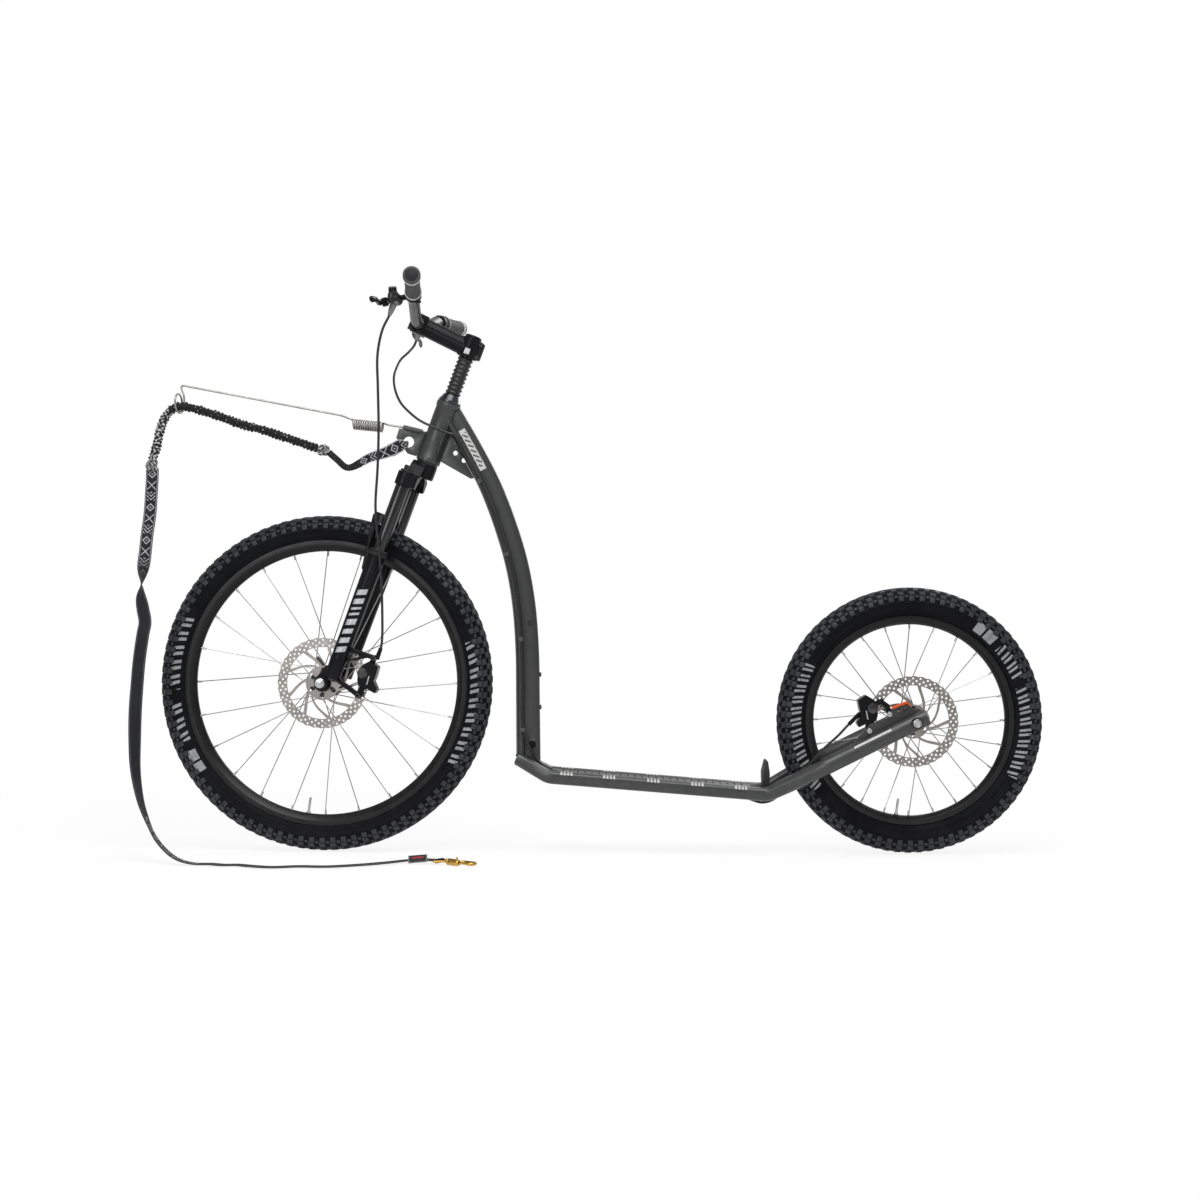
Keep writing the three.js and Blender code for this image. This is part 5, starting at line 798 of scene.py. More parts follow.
def on_points_tree():
    """Sets a unit on each vertex of the object, its Y axis along the vertex's own direction."""
    tree, into, out = new_tree("Place Fasteners", [
        ("Unit", "Object", None), ("Size", "Float", 1.0)])
    unit = node_in(tree, "GeometryNodeObjectInfo", {"Object": into.outputs["Unit"],
                                                    "As Instance": True})
    way = node_in(tree, "GeometryNodeInputNamedAttribute", {"Name": "way"},
                  data_type="FLOAT_VECTOR")
    spin = node_in(tree, "FunctionNodeAlignRotationToVector", {"Vector": way.outputs[0]}, axis="Y")
    size = node_in(tree, "ShaderNodeCombineXYZ", dict.fromkeys("XYZ", into.outputs["Size"]))
    copies = node_in(tree, "GeometryNodeInstanceOnPoints", {
        "Points": into.outputs["Geometry"], "Instance": unit.outputs["Geometry"],
        "Rotation": spin.outputs[0], "Scale": size.outputs[0]})
    return end_tree(tree, into, out, copies.outputs[0])


def pierced_disc_tree():
    """Fills the outlines between rows of round holes and thickens the sheet along Z."""
    tree, into, out = new_tree("Pierced Disc", [
        ("Hole", "Float", 2.2), ("Rows", "Int", 3), ("Holes", "Int", 36),
        ("Inner Row", "Float", 73.0), ("Row Step", "Float", 6.0), ("Slant", "Float", 0.06),
        ("Thickness", "Float", 1.8)])
    outline = node_in(tree, "GeometryNodeMeshToCurve", {"Mesh": into.outputs["Geometry"]})
    total = math_node(tree, "MULTIPLY", into.outputs["Rows"], into.outputs["Holes"])
    line = node_in(tree, "GeometryNodeMeshLine", {"Count": total, "Offset": (0, 0, 0)})
    index = tree.nodes.new("GeometryNodeInputIndex").outputs[0]
    middle = math_node(tree, "ADD", index, 0.5)
    row = math_node(tree, "FLOOR", math_node(tree, "DIVIDE", middle, into.outputs["Holes"]))
    before = math_node(tree, "MULTIPLY", row, into.outputs["Holes"])
    seat = math_node(tree, "SUBTRACT", index, before)
    part = math_node(tree, "DIVIDE", math_node(tree, "MULTIPLY", seat, 2 * math.pi),
                     into.outputs["Holes"])
    angle = math_node(tree, "ADD", part, math_node(tree, "MULTIPLY", row, into.outputs["Slant"]))
    further = math_node(tree, "MULTIPLY", row, into.outputs["Row Step"])
    radius = math_node(tree, "ADD", into.outputs["Inner Row"], further)
    place = node_in(tree, "ShaderNodeCombineXYZ", {
        "X": math_node(tree, "MULTIPLY", radius, math_node(tree, "COSINE", angle)),
        "Y": math_node(tree, "MULTIPLY", radius, math_node(tree, "SINE", angle))})
    spots = node_in(tree, "GeometryNodeSetPosition", {"Geometry": line.outputs[0],
                                                      "Position": place.outputs[0]})
    ring = node_in(tree, "GeometryNodeCurvePrimitiveCircle",
                   {"Resolution": 10, "Radius": into.outputs["Hole"]})
    holes = node_in(tree, "GeometryNodeInstanceOnPoints", {"Points": spots.outputs[0],
                                                           "Instance": ring.outputs[0]})
    both = tree.nodes.new("GeometryNodeJoinGeometry")
    tree.links.new(node_in(tree, "GeometryNodeRealizeInstances",
                           {"Geometry": holes.outputs[0]}).outputs[0], both.inputs[0])
    tree.links.new(outline.outputs[0], both.inputs[0])
    filled = node_in(tree, "GeometryNodeFillCurve", {"Curve": both.outputs[0]})
    half = math_node(tree, "MULTIPLY", into.outputs["Thickness"], -0.5)
    low = node_in(tree, "ShaderNodeCombineXYZ", {"Z": half})
    sheet = node_in(tree, "GeometryNodeSetPosition", {"Geometry": filled.outputs[0],
                                                      "Offset": low.outputs[0]})
    raised = node_in(tree, "GeometryNodeExtrudeMesh", {"Mesh": sheet.outputs[0],
                                                       "Offset": (0, 0, 1),
                                                       "Offset Scale": into.outputs["Thickness"],
                                                       "Individual": False})
    back = node_in(tree, "GeometryNodeFlipFaces", {"Mesh": sheet.outputs[0]})
    whole = tree.nodes.new("GeometryNodeJoinGeometry")
    tree.links.new(raised.outputs["Mesh"], whole.inputs[0])
    tree.links.new(back.outputs[0], whole.inputs[0])
    sealed = node_in(tree, "GeometryNodeMergeByDistance", {"Geometry": whole.outputs[0],
                                                           "Distance": 0.001})
    return end_tree(tree, into, out, sealed.outputs[0])


TREES = {}


def run_tree(name, worker_mesh, space=GROUND, crease=35.0, **values):
    """Runs a tree on a mesh in millimetres and returns the plain result in metres."""
    makers = {"Repeat Around Axle": around_axle_tree, "Repeat Along Path": along_path_tree,
              "Place Fasteners": on_points_tree, "Pierced Disc": pierced_disc_tree}
    if name not in TREES:
        TREES[name] = makers[name]()
    worker = in_scene("worker", worker_mesh)
    modifier = worker.modifiers.new(name, "NODES")
    modifier.node_group = TREES[name]
    for item in TREES[name].interface.items_tree:
        given = item.name.replace(" ", "_")
        if item.item_type == "SOCKET" and item.in_out == "INPUT" and given in values:
            modifier[item.identifier] = values[given]
    mesh = evaluated_mesh(worker)
    worker.modifiers.clear()
    bpy.data.objects.remove(worker)
    mesh.transform(space)
    mesh.transform(Matrix.Scale(MM, 4))
    shade(mesh, crease)
    return mesh


def rough_mesh(name, shape, space=GROUND):
    """A mesh that is left in millimetres, to be worked on."""
    mesh = mesh_of(name, shape, space)
    mesh.transform(Matrix.Scale(1 / MM, 4))
    return mesh


def line_mesh(name, lines):
    """Open or closed lines as bare edges, in millimetres; a closed one repeats its first point."""
    corners, edges = [], []
    for line in lines:
        closed = (Vector(line[0]) - Vector(line[-1])).length < 1e-6
        points = line[:-1] if closed else line
        start = len(corners)
        corners += [tuple(p) for p in points]
        edges += [(start + i, start + i + 1) for i in range(len(points) - 1)]
        if closed:
            edges.append((start + len(points) - 1, start))
    mesh = bpy.data.meshes.new(name)
    mesh.from_pydata(corners, edges, [])
    return mesh


def along_path(unit, line, count, material, seed, uneven):
    """A mesh of units set along a line."""
    path = in_scene("path", line_mesh("path", [line]))
    mesh = run_tree("Repeat Along Path", unit, GROUND, 60.0, Path=path, Count=count, Turn=0.0,
                    Unevenness=uneven, Seed=seed, Material=material)
    bpy.data.objects.remove(path)
    return mesh


def fasteners(unit, places, material, space=GROUND):
    """A mesh of fasteners from pairs of place and outward direction."""
    base = bpy.data.meshes.new("seats")
    base.from_pydata([tuple(p) for p, _ in places], [], [])
    ways = base.attributes.new("way", "FLOAT_VECTOR", "POINT")
    for seat, (_, way) in zip(ways.data, places):
        seat.vector = Vector(way).normalized()
    keeper = in_scene("unit", unit)
    mesh = run_tree("Place Fasteners", base, space, 30.0, Unit=keeper, Size=1.0, Material=material)
    bpy.data.objects.remove(keeper)
    return mesh


def merged(name, *meshes):
    """One mesh from several, which keep their own finishes."""
    edit = bmesh.new()
    finishes = []
    for mesh in meshes:
        start = len(edit.faces)
        edit.from_mesh(mesh)
        edit.faces.ensure_lookup_table()
        for face in edit.faces[start:]:
            own = mesh.materials[face.material_index] if len(mesh.materials) else None
            if own not in finishes:
                finishes.append(own)
            face.material_index = finishes.index(own)
    whole = bpy.data.meshes.new(name)
    edit.to_mesh(whole)
    edit.free()
    for material in finishes:
        whole.materials.append(material)
    return whole


def put_merged(name, meshes, crease, body, replaces=()):
    """Puts several meshes in the scene as one piece."""
    whole = merged(name, *meshes)
    shade(whole, crease)
    return put(name, whole, body, replaces)


# ---------------------------------------------------------------- settings


class KickBikeStage(PropertyGroup):
    floor: FloatVectorProperty(name="Floor colour", description="Colour of the floor",
                               subtype="COLOR", default=(0.9, 0.9, 0.9), min=0, max=1)
    lamp: FloatProperty(name="Lamp power", description="Power of the overhead lamp", default=74.0,
                        min=0, subtype="POWER", unit="POWER")
    camera_distance: FloatProperty(name="Camera distance",
                                   description="How far the camera stands from the bike",
                                   default=4.0, min=1, unit="LENGTH", subtype="DISTANCE")


class KickBikeWheels(PropertyGroup):
    front_tread: FloatProperty(name="Front tyre radius",
                               description="Axle to the top of the front tread", default=0.334,
                               unit="LENGTH", subtype="DISTANCE")
    rear_tread: FloatProperty(name="Rear tyre radius",
                              description="Axle to the top of the rear tread", default=0.265,
                              unit="LENGTH", subtype="DISTANCE")
    knob: FloatProperty(name="Knob height", description="Height of the tread knobs", default=0.0034,
                        unit="LENGTH", subtype="DISTANCE")
    front_sectors: IntProperty(name="Front tread rows",
                               description="Knob rows round the front tyre", default=92, min=12)
    rear_sectors: IntProperty(name="Rear tread rows", description="Knob rows round the rear tyre",
                              default=74, min=12)
    spoke: FloatProperty(name="Spoke radius", description="Half the thickness of a spoke",
                         default=0.001, unit="LENGTH", subtype="DISTANCE")


class KickBikeFrame(PropertyGroup):
    colour: FloatVectorProperty(name="Frame colour", description="Satin paint of the frame",
                                subtype="COLOR", default=(0.040, 0.041, 0.042), min=0, max=1)
    weld: FloatProperty(name="Weld bead", description="Radius of the weld ripples", default=0.0026,
                        unit="LENGTH", subtype="DISTANCE")


class KickBikeLeash(PropertyGroup):
    webbing: FloatVectorProperty(name="Webbing colour", description="Ground colour of the webbing",
                                 subtype="COLOR", default=(0.014, 0.0145, 0.0175), min=0, max=1)
    figure: FloatVectorProperty(name="Figure colour", description="Colour of the woven figures",
                                subtype="COLOR", default=(0.42, 0.42, 0.43), min=0, max=1)
    ruffle: FloatProperty(name="Ruffle pitch", description="Length of one gather on the bungee",
                          default=0.0074, unit="LENGTH", subtype="DISTANCE")


class KickBikeSettings(PropertyGroup):
    stage: PointerProperty(type=KickBikeStage)
    wheels: PointerProperty(type=KickBikeWheels)
    frame: PointerProperty(type=KickBikeFrame)
    leash: PointerProperty(type=KickBikeLeash)


# ---------------------------------------------------------------- stage


class KICKBIKE_OT_stage(Operator):
    """Sets the camera, the pale floor and the soft light."""
    bl_idname = "kickbike.stage"
    bl_label = "Stage"

    def execute(self, context):
        settings = context.scene.kick_bike.stage
        context.scene.view_settings.view_transform = "Standard"
        lens = bpy.data.cameras.new("Camera")
        lens.lens, lens.sensor_width = 60, 36
        lens.shift_x, lens.shift_y = -0.00833, -0.00417
        lens.clip_start, lens.clip_end = 0.05, 60
        camera = in_scene("Camera", lens)
        camera.matrix_world = shift(0.018, -settings.camera_distance, 0.512) @ turn(90, "X") @ turn(
            0.266, "Z")
        context.scene.camera = camera
        self.floor(settings)
        self.light(context, settings)
        return {"FINISHED"}

    def floor(self, settings):
        edit = bmesh.new()
        bmesh.ops.create_circle(edit, cap_ends=True, segments=64, radius=9.0)
        bmesh.ops.translate(edit, vec=(0, 0, -0.0012), verts=edit.verts)
        mesh = bpy.data.meshes.new("floor")
        edit.to_mesh(mesh)
        edit.free()
        material = bpy.data.materials.new("Pale floor")
        material.use_nodes = True
        tree = material.node_tree
        shader = tree.nodes["Principled BSDF"]
        shader.inputs["Base Color"].default_value = (*settings.floor, 1)
        shader.inputs["Roughness"].default_value = 0.9
        shader.inputs["Specular IOR Level"].default_value = 0.1
        glow = tree.nodes.new("ShaderNodeEmission")
        glow.inputs["Strength"].default_value = 1.0
        path = tree.nodes.new("ShaderNodeLightPath")
        seen = math_node(tree, "MAXIMUM", path.outputs["Is Camera Ray"],
                         path.outputs["Is Glossy Ray"])
        seen = math_node(tree, "MAXIMUM", seen, path.outputs["Is Transmission Ray"])
        where = tree.nodes.new("ShaderNodeTexCoord")
        reach = tree.nodes.new("ShaderNodeVectorMath")
        reach.operation = "LENGTH"
        tree.links.new(where.outputs["Object"], reach.inputs[0])
        share = math_node(tree, "MULTIPLY", seen, between(tree, reach.outputs["Value"], 1.1, 2.2,
                                                          0.86, 1.0))
        blend = tree.nodes.new("ShaderNodeMixShader")
        tree.links.new(share, blend.inputs[0])
        tree.links.new(shader.outputs[0], blend.inputs[1])
        tree.links.new(glow.outputs[0], blend.inputs[2])
        tree.links.new(blend.outputs[0], tree.nodes["Material Output"].inputs["Surface"])
        mesh.materials.append(material)
        in_scene("floor", mesh)

    def light(self, context, settings):
        world = bpy.data.worlds.new("Studio")
        context.scene.world = world
        world.use_nodes = True
        tree = world.node_tree
        sky = tree.nodes["Background"]
        sky.inputs["Color"].default_value = (1, 1, 1, 1)
        path = tree.nodes.new("ShaderNodeLightPath")
        seen = math_node(tree, "MAXIMUM", path.outputs["Is Camera Ray"],
                         path.outputs["Is Transmission Ray"])
        strength = between(tree, seen, 0.0, 1.0, 0.46, 1.0)
        tree.links.new(strength, sky.inputs["Strength"])
        for name, place, size, share in (
                ("Overhead lamp", (0.1, -1.2, 3.0), 2.6, 1),
                ("Front lamp", (-1.6, -3.2, 1.6), 1.8, 0.42),
                ("Rear lamp", (1.4, 2.6, 2.2), 1.8, 0.4)):
            lamp = bpy.data.lights.new(name, "AREA")
            lamp.shape, lamp.size, lamp.energy = "DISK", size, settings.lamp * share
            way = Vector((0.05, 0, 0.45)) - Vector(place)
            holder = in_scene(name, lamp)
            tilt = way.to_track_quat("-Z", "Y").to_matrix().to_4x4()
            holder.matrix_world = Matrix.Translation(place) @ tilt


# ---------------------------------------------------------------- cords

REAR_HOSE_TOP = [(-289.03, -30, 823.54), (-281.03, -26.5, 808.04)]
REAR_HOSE_UNDER = [(-139, -23.2, 205), (-127, -20, 185), (-106, -17, 165), (-90, -17, 150.5),
                   (-70, -17, 149), (0, -17, 140), (150, -17, 129), (270, -20, 119),
                   (300, -25, 107), (322, -30, 101.5), (345, -35, 109), (368, -38, 135),
                   (390, -48, 162), (413, -56, 181), (433, -59, 204), (470, -58, 238),
                   (487, -56.5, 256), (497.2, -56, 266)]
FRONT_HOSE = [(-140, -160, 717.9), (-143, -160, 690), (-141, -153, 659), (-135.6, -144, 631),
              (-120.5, -131, 587), (-92.3, -112, 506), (-70, -100, 434), (-52, -90, 369),
              (-36, -86, 330), (-12, -84, 280), (12, -78, 225), (32, -66, 170), (45, -53, 128),
              (49, -46.5, 108), (49, -45.8, 96)]
REAR_LOOP = [(-140, 160, 717.9), (-140.2, 159.8, 708), (-145, 153, 690), (-150, 132, 670),
             (-146, 98, 646), (-136, 62, 622), (-116, 28, 596), (-92, 2, 576), (-66, -20, 564),
             (-38, -32, 555), (-8, -34, 552), (18, -31, 551), (34, -29.5, 552)]
STRAP = [(-424, 9, 799), (-412, 9.5, 805), (-400, 9.5, 811), (-391, 6.5, 813.5), (-387.6, 0, 813),
         (-391, -6.5, 811), (-401, -10, 808.5), (-414, -13, 801.5), (-430, -16, 794),
         (-462, -21, 782.5), (-504, -26, 762.5), (-526, -28, 779), (-542, -30, 793)]
BUNGEE = [(-563.2, -30, 800.8), (-569.5, -30, 802), (-596, -30, 811), (-635, -28, 824),
          (-675, -26, 837), (-721, -24, 849), (-754, -22, 861), (-787, -20, 872), (-815, -19, 880),
          (-842, -19, 882.5), (-860, -21, 873), (-871, -27, 853), (-877, -36, 826),
          (-880, -43, 804), (-884, -49, 784), (-887, -50, 774.5)]
WEBBING = [(-886.5, -52, 756), (-885.5, -56, 746), (-886.5, -60, 705), (-888, -65, 665),
           (-892, -71, 625), (-895, -76, 584), (-899, -84, 540), (-899, -92, 508), (-893, -98, 480),
           (-888, -102, 455), (-891, -107, 430), (-896, -115, 380), (-898, -124, 330),
           (-899, -132, 285), (-898, -140, 233), (-894, -150, 171), (-882, -160, 114),
           (-868, -170, 80), (-850, -181, 48), (-826, -200, 25), (-796, -222, 9), (-765, -233, 2.6),
           (-731, -236, 2.2), (-705, -248, 2.2), (-680, -246, 2.2), (-650, -262, 2.2),
           (-610, -275, 2.2), (-562, -262, 2.2), (-510, -264, 2.2), (-450, -238, 2.2),
           (-400, -203, 2.4), (-365, -184, 4), (-335, -184, 5.6), (-305.6, -204.8, 6.8)]


def length_of(line):
    return sum((Vector(b) - Vector(a)).length for a, b in zip(line, line[1:]))


DOWN_SHARES = [(0, 0), (0.01, 0.177), (0.022, 0.322), (0.067, 0.452), (0.157, 0.567),
               (0.297, 0.675), (0.502, 0.795), (0.757, 0.906), (1, 1)]
# Half of its section: share of the depth from rear to front, and share of the half width.
DOWN_FLANK = [(-1, 0.35), (-0.9, 0.72), (-0.72, 0.95), (-0.5, 1), (-0.34, 0.88), (-0.24, 0.66),
              (-0.08, 0.6), (0.72, 0.6), (0.93, 0.48), (1, 0.26)]
DOWN_HALF_WIDTH = 20
DOWN_KNOTS = [(-143.5 - 156.5 * lean, 0, 177 + 693 * rise) for lean, rise in DOWN_SHARES]
HOSE_SHARES = (0.9, 0.8, 0.68, 0.56, 0.44, 0.32, 0.2, 0.11)


def on_down_tube(share, back, side):
    """A place on the down tube: share of its length, rearward and sideways in millimetres."""
    count = 200
    line = curve_through(DOWN_KNOTS, count)
    at = min(count - 1, max(0, int(share * count)))
    centre = line[at].lerp(line[at + 1], share * count - at)
    along = (line[min(count, at + 2)] - line[max(0, at - 1)]).normalized()
    rearward = Vector((0, 1, 0)).cross(along)
    return centre + rearward * back + Vector((0, side, 0)), along


def down_depth(share):
    """The depth of the down tube, which tapers upwards."""
    return 48 - 5 * share


def hose_on_tube(share):
    fore = -0.42 + (-0.86 + 0.42) * share ** 2
    return on_down_tube(share, fore * down_depth(share) / 2, -22.9)[0]


def rear_hose_line():
    return curve_through([*REAR_HOSE_TOP, *[hose_on_tube(s) for s in HOSE_SHARES],
                          *REAR_HOSE_UNDER], 260)


class KICKBIKE_OT_hoses(Operator):
    """Makes the three stretches of brake hose."""
    bl_idname = "kickbike.hoses"
    bl_label = "Hoses"

    def execute(self, context):
        skin = finish("Hose jacket", (0.005, 0.005, 0.0055), (0.008, 0.008, 0.0085), (0.3, 0.42),
                      grain=(2500, 0.2, 0.0001), dust=0.05)
        for name, line, space, node in (
                ("rear_hose_line", rear_hose_line(), GROUND, "rear_hose"),
                ("front_hose_line", curve_through(FRONT_HOSE, 150), STEER, "front_hose"),
                ("rear_hose_slack", curve_through(REAR_LOOP, 110), STEER, "rear_hose_loop")):
            piece = make(name, tube(line, 2.5, 14), space, NODE_BODY[node], NODE_SLOT[node], [skin],
                         [node])
        return {"FINISHED"}


# ---------------------------------------------------------------- leash


def inside(tree, value, low, high):
    """One where the value lies between the two bounds."""
    above = math_node(tree, "GREATER_THAN", value, low)
    below = math_node(tree, "LESS_THAN", value, high)
    return math_node(tree, "MULTIPLY", above, below)


# Millimetres of webbing for one diamond, one cross and one chevron, and half a figure's width.
FIGURE_CELL, FIGURE_HALF = 66.0, 8.2


def woven_figures(figure, faint_after=None, edge_at=10.5):
    """Diamonds, crosses and chevrons between pale edges, from the band's UV in millimetres."""
    def ink(tree, ground):
        along, across = lie_parts(tree)
        reach = math_node(tree, "ABSOLUTE", across)
        cell = math_node(tree, "MODULO", along, FIGURE_CELL)
        marks = []
        for middle, kind in ((11.0, "diamond"), (33.0, "cross"), (55.0, "chevron")):
            off = math_node(tree, "SUBTRACT", cell, middle)
            size = math_node(tree, "ABSOLUTE", off)
            if kind == "diamond":
                rim = math_node(tree, "ADD", size, reach)
                marks.append(math_node(tree, "MAXIMUM", inside(tree, rim, 6.0, FIGURE_HALF),
                                       inside(tree, rim, -1.0, 1.8)))
            elif kind == "cross":
                arm = math_node(tree, "ABSOLUTE", math_node(tree, "SUBTRACT", size, reach))
                marks.append(math_node(tree, "MULTIPLY", inside(tree, arm, -1.0, 1.0),
                                       inside(tree, reach, -1.0, FIGURE_HALF)))
            else:
                step = math_node(tree, "MODULO", math_node(tree, "ADD",
                                                           math_node(tree, "ADD", off, reach),
                                                           22.0), 7.0)
                limits = math_node(tree, "MULTIPLY", inside(tree, size, -1.0, 8.6),
                                   inside(tree, reach, -1.0, FIGURE_HALF))
                marks.append(math_node(tree, "MULTIPLY", inside(tree, step, 0.0, 1.9), limits))
        mark = math_node(tree, "MAXIMUM", math_node(tree, "MAXIMUM", marks[0], marks[1]), marks[2])
        edge = inside(tree, reach, edge_at - 0.8, edge_at + 0.8)
        if faint_after:
            fade = between(tree, along, faint_after - 40, faint_after, 1.0, 0.0)
            again = math_node(tree, "MULTIPLY", inside(tree, along, 690.0, 860.0), 0.8)
            mark = math_node(tree, "MULTIPLY", mark, math_node(tree, "MAXIMUM", fade, again))
            faint = math_node(tree, "MAXIMUM", math_node(tree, "MULTIPLY", fade, 0.55), 0.16)
            edge = math_node(tree, "MULTIPLY", edge, faint)
        return mixed(tree, math_node(tree, "MAXIMUM", mark, edge), ground, figure)
    return ink


def flecks(figure, start=None, amount=0.60):
    """Pale flecks of the gathered band, thicker past the start."""
    def ink(tree, ground):
        along, across = lie_parts(tree)
        place = node_in(tree, "ShaderNodeCombineXYZ",
                        {"X": math_node(tree, "MULTIPLY", along, 0.16),
                         "Y": math_node(tree, "MULTIPLY", across, 7.0)})
        spots = tree.nodes.new("ShaderNodeTexNoise")
        tree.links.new(place.outputs[0], spots.inputs["Vector"])
        spots.inputs["Scale"].default_value = 1.4
        limit = amount
        if start:
            limit = between(tree, along, start - 20, start + 20, amount, amount - 0.13)
        return mixed(tree, math_node(tree, "GREATER_THAN", spots.outputs[0], limit), ground, figure)
    return ink


def band_section(half_width, half_thick):
    """A flat band with rolled edges, as thickness and width pairs."""
    across = 9
    front = [(half_thick, half_width * (-1 + 2 * k / across)) for k in range(across + 1)]
    front[0] = (half_thick * 0.5, -half_width)
    front[-1] = (half_thick * 0.5, half_width)
    return front + [(-a, b) for a, b in reversed(front)]


def band(line, half_width, half_thick, up):
    """A flat band whose UV gives millimetres along and across it."""
    section = band_section(half_width, half_thick)
    shape = sweep(line, section, up=up)
    columns = len(section)
    shape.uvs = [(u, section[k % columns][1]) for k, (u, _) in enumerate(shape.uvs)]
    return shape


def knot_shape(start, end, radius, cord_radius):
    """A tight overhand knot: one thick cord wound through itself between two points."""
    start, end = Vector(start), Vector(end)
    frame_of_knot = aim(start.lerp(end, 0.5), end)
    half = (end - start).length / 2
    line = []
    steps, turns_across, turns_round = 96, 3, 2
    for k in range(steps + 1):
        t = 2 * math.pi * k / steps
        ring = 2 + math.cos(turns_across * t)
        line.append(frame_of_knot @ Vector((ring * math.cos(turns_round * t)
                                            * (radius - cord_radius) / 3,
                                            math.sin(turns_across * t) * max(half - cord_radius, 1),
                                            ring * math.sin(turns_round * t)
                                            * (radius - cord_radius) / 3)))
    return sweep(line, round_section(cord_radius, 10))


class KICKBIKE_OT_leash(Operator):
    """Makes the tying strap, the gathered bungee, the figured webbing, their knots and the tag."""
    bl_idname = "kickbike.leash"
    bl_label = "Leash"

    def execute(self, context):
        look = context.scene.kick_bike.leash
        ground, figure = tuple(look.webbing), tuple(look.figure)
        darker = tuple(c * 0.7 for c in ground)
        figured = finish("Figured webbing", ground, darker, (0.62, 0.8), sheen=0.08, specular=0.18,
                         weave=(0.9, 0.55, 0.00035), ink=woven_figures(figure, 215))
        gathered = finish("Gathered bungee cover", (0.006, 0.006, 0.007), (0.01, 0.01, 0.011),
                          (0.6, 0.78), sheen=0.08, specular=0.2, weave=(1.1, 26.0, 0.0003),
                          ink=flecks(figure, 305, 0.67))
        plain = finish("Plain black strap", (0.007, 0.007, 0.0075), (0.011, 0.011, 0.012),
                       (0.6, 0.78), sheen=0.08, specular=0.2, weave=(1.0, 0.8, 0.0003),
                       ink=flecks(figure, None, 0.69))
        knotted = finish("Knotted figured band", (0.016, 0.016, 0.018), (0.026, 0.026, 0.029),
                         (0.62, 0.8), sheen=0.3, specular=0.3, weave=(0.9, 14.0, 0.0003),
                         ink=flecks(figure, None, 0.53))
        self.strap(plain, knotted, finish("Figured strap", ground, darker, (0.62, 0.8), sheen=0.08,
                                          specular=0.18, weave=(0.9, 0.55, 0.00035),
                                          ink=woven_figures(figure, None, 9.5)))
        self.bungee(gathered, look)
        self.webbing(figured, knotted)
        return {"FINISHED"}

    def strap(self, plain, knotted, figured):
        """A figured band through the bracket's eye, that runs on as a narrow strap to the knot."""
        count = 150
        line = curve_through(STRAP, count)

        def half_width(i):
            share = i / count
            loop = eased(held((abs(share - 0.16) - 0.045) / 0.085))
            narrow = held((share - 0.62) / 0.14)
            full = 13.0 - 4.2 * held((share - 0.3) / 0.3)
            return (5.4 + (full - 5.4) * loop) * (1 - narrow) + 6.4 * narrow

        def section(i):
            return band_section(half_width(i), 1.3)
        shape = sweep(line, section, up=(0, 0, 1))
        columns = len(section(0))
        shape.uvs = [(u, section(k // columns)[k % columns][1] * 10.5 / half_width(k // columns))
                     for k, (u, _) in enumerate(shape.uvs)]
        shape.finishes = [1 if k // columns > 0.66 * count else 0 for k in range(len(shape.faces))]
        strap = make("tying_strap", shape, GROUND, "frame", "strap_black", [figured, plain],
                     ["leash_strap"])
        knot = make("strap_knot", knot_shape(STRAP[-1], (-563, -30, 800.5), 13, 4.6), GROUND,
                    "frame", "strap_black", [knotted])

    def bungee(self, gathered, look):
        pitch = look.ruffle / MM
        count, sides, waist = 460, 24, 6.2
        line = curve_through(BUNGEE, count)
        total = length_of(line)
        chance = random.Random(11)
        folds = [(chance.uniform(0.7, 1.0), chance.uniform(0, 6.28), chance.choice((2, 3, 3, 4)))
                 for _ in range(int(total / pitch) + 3)]

        def section(i):
            along = total * i / count / pitch
            fold = int(along)
            size, phase, waves = folds[fold]
            swell = math.sin(math.pi * (along - fold)) ** 0.7
            pairs = []
            for k in range(sides):
                angle = 2 * math.pi * k / sides
                frill = 0.5 + 0.5 * math.cos(waves * angle + phase + 1.1 * (along - fold))
                radius = waist + size * swell * (2.6 + 2.0 * frill)
                pairs.append(on_circle(radius, angle))
            return pairs
        piece = make("gathered_bungee", sweep(line, section), GROUND, "frame", "bungee_black",
                     [gathered], ["leash_bungee"], crease=70, merge=False)

    def webbing(self, figured, knotted):
        count = 520
        line = curve_through(WEBBING, count)
        twist_from, twist_to, lay_from, flat_from = 600, 470, 330, 60
        heights = [p.z for p in line]

        def width_way(i):
            share = held((lay_from - heights[i]) / (lay_from - flat_from))
            lying = i > count / 2 and heights[i] < flat_from
            angle = (1.0 if lying else share) * math.pi / 2
            angle += math.pi * eased(held((twist_from - heights[i]) / (twist_from - twist_to)))
            return (math.cos(angle), math.sin(angle), 0)
        shape = band(line, 12.5, 1.1, width_way)
        piece = make("figured_webbing", shape, GROUND, "frame", "webbing_grey", [figured],
                     ["leash_webbing"], crease=50)
        knot = make("webbing_knot", knot_shape((-887.4, -50, 776), (-887, -52, 750), 13, 4.6),
                    GROUND, "frame", "webbing_grey", [knotted])
        roll = make("webbing_roll", lathe([(2.4, -10.5), (4.1, -10.5), (4.4, -10), (4.4, 10),
                                           (4.1, 10.5), (2.4, 10.5)], 28, closed=True), SNAP,
                    "frame", "webbing_grey", [figured])
        stitches = self.stitching(line)
        tag = self.tag()

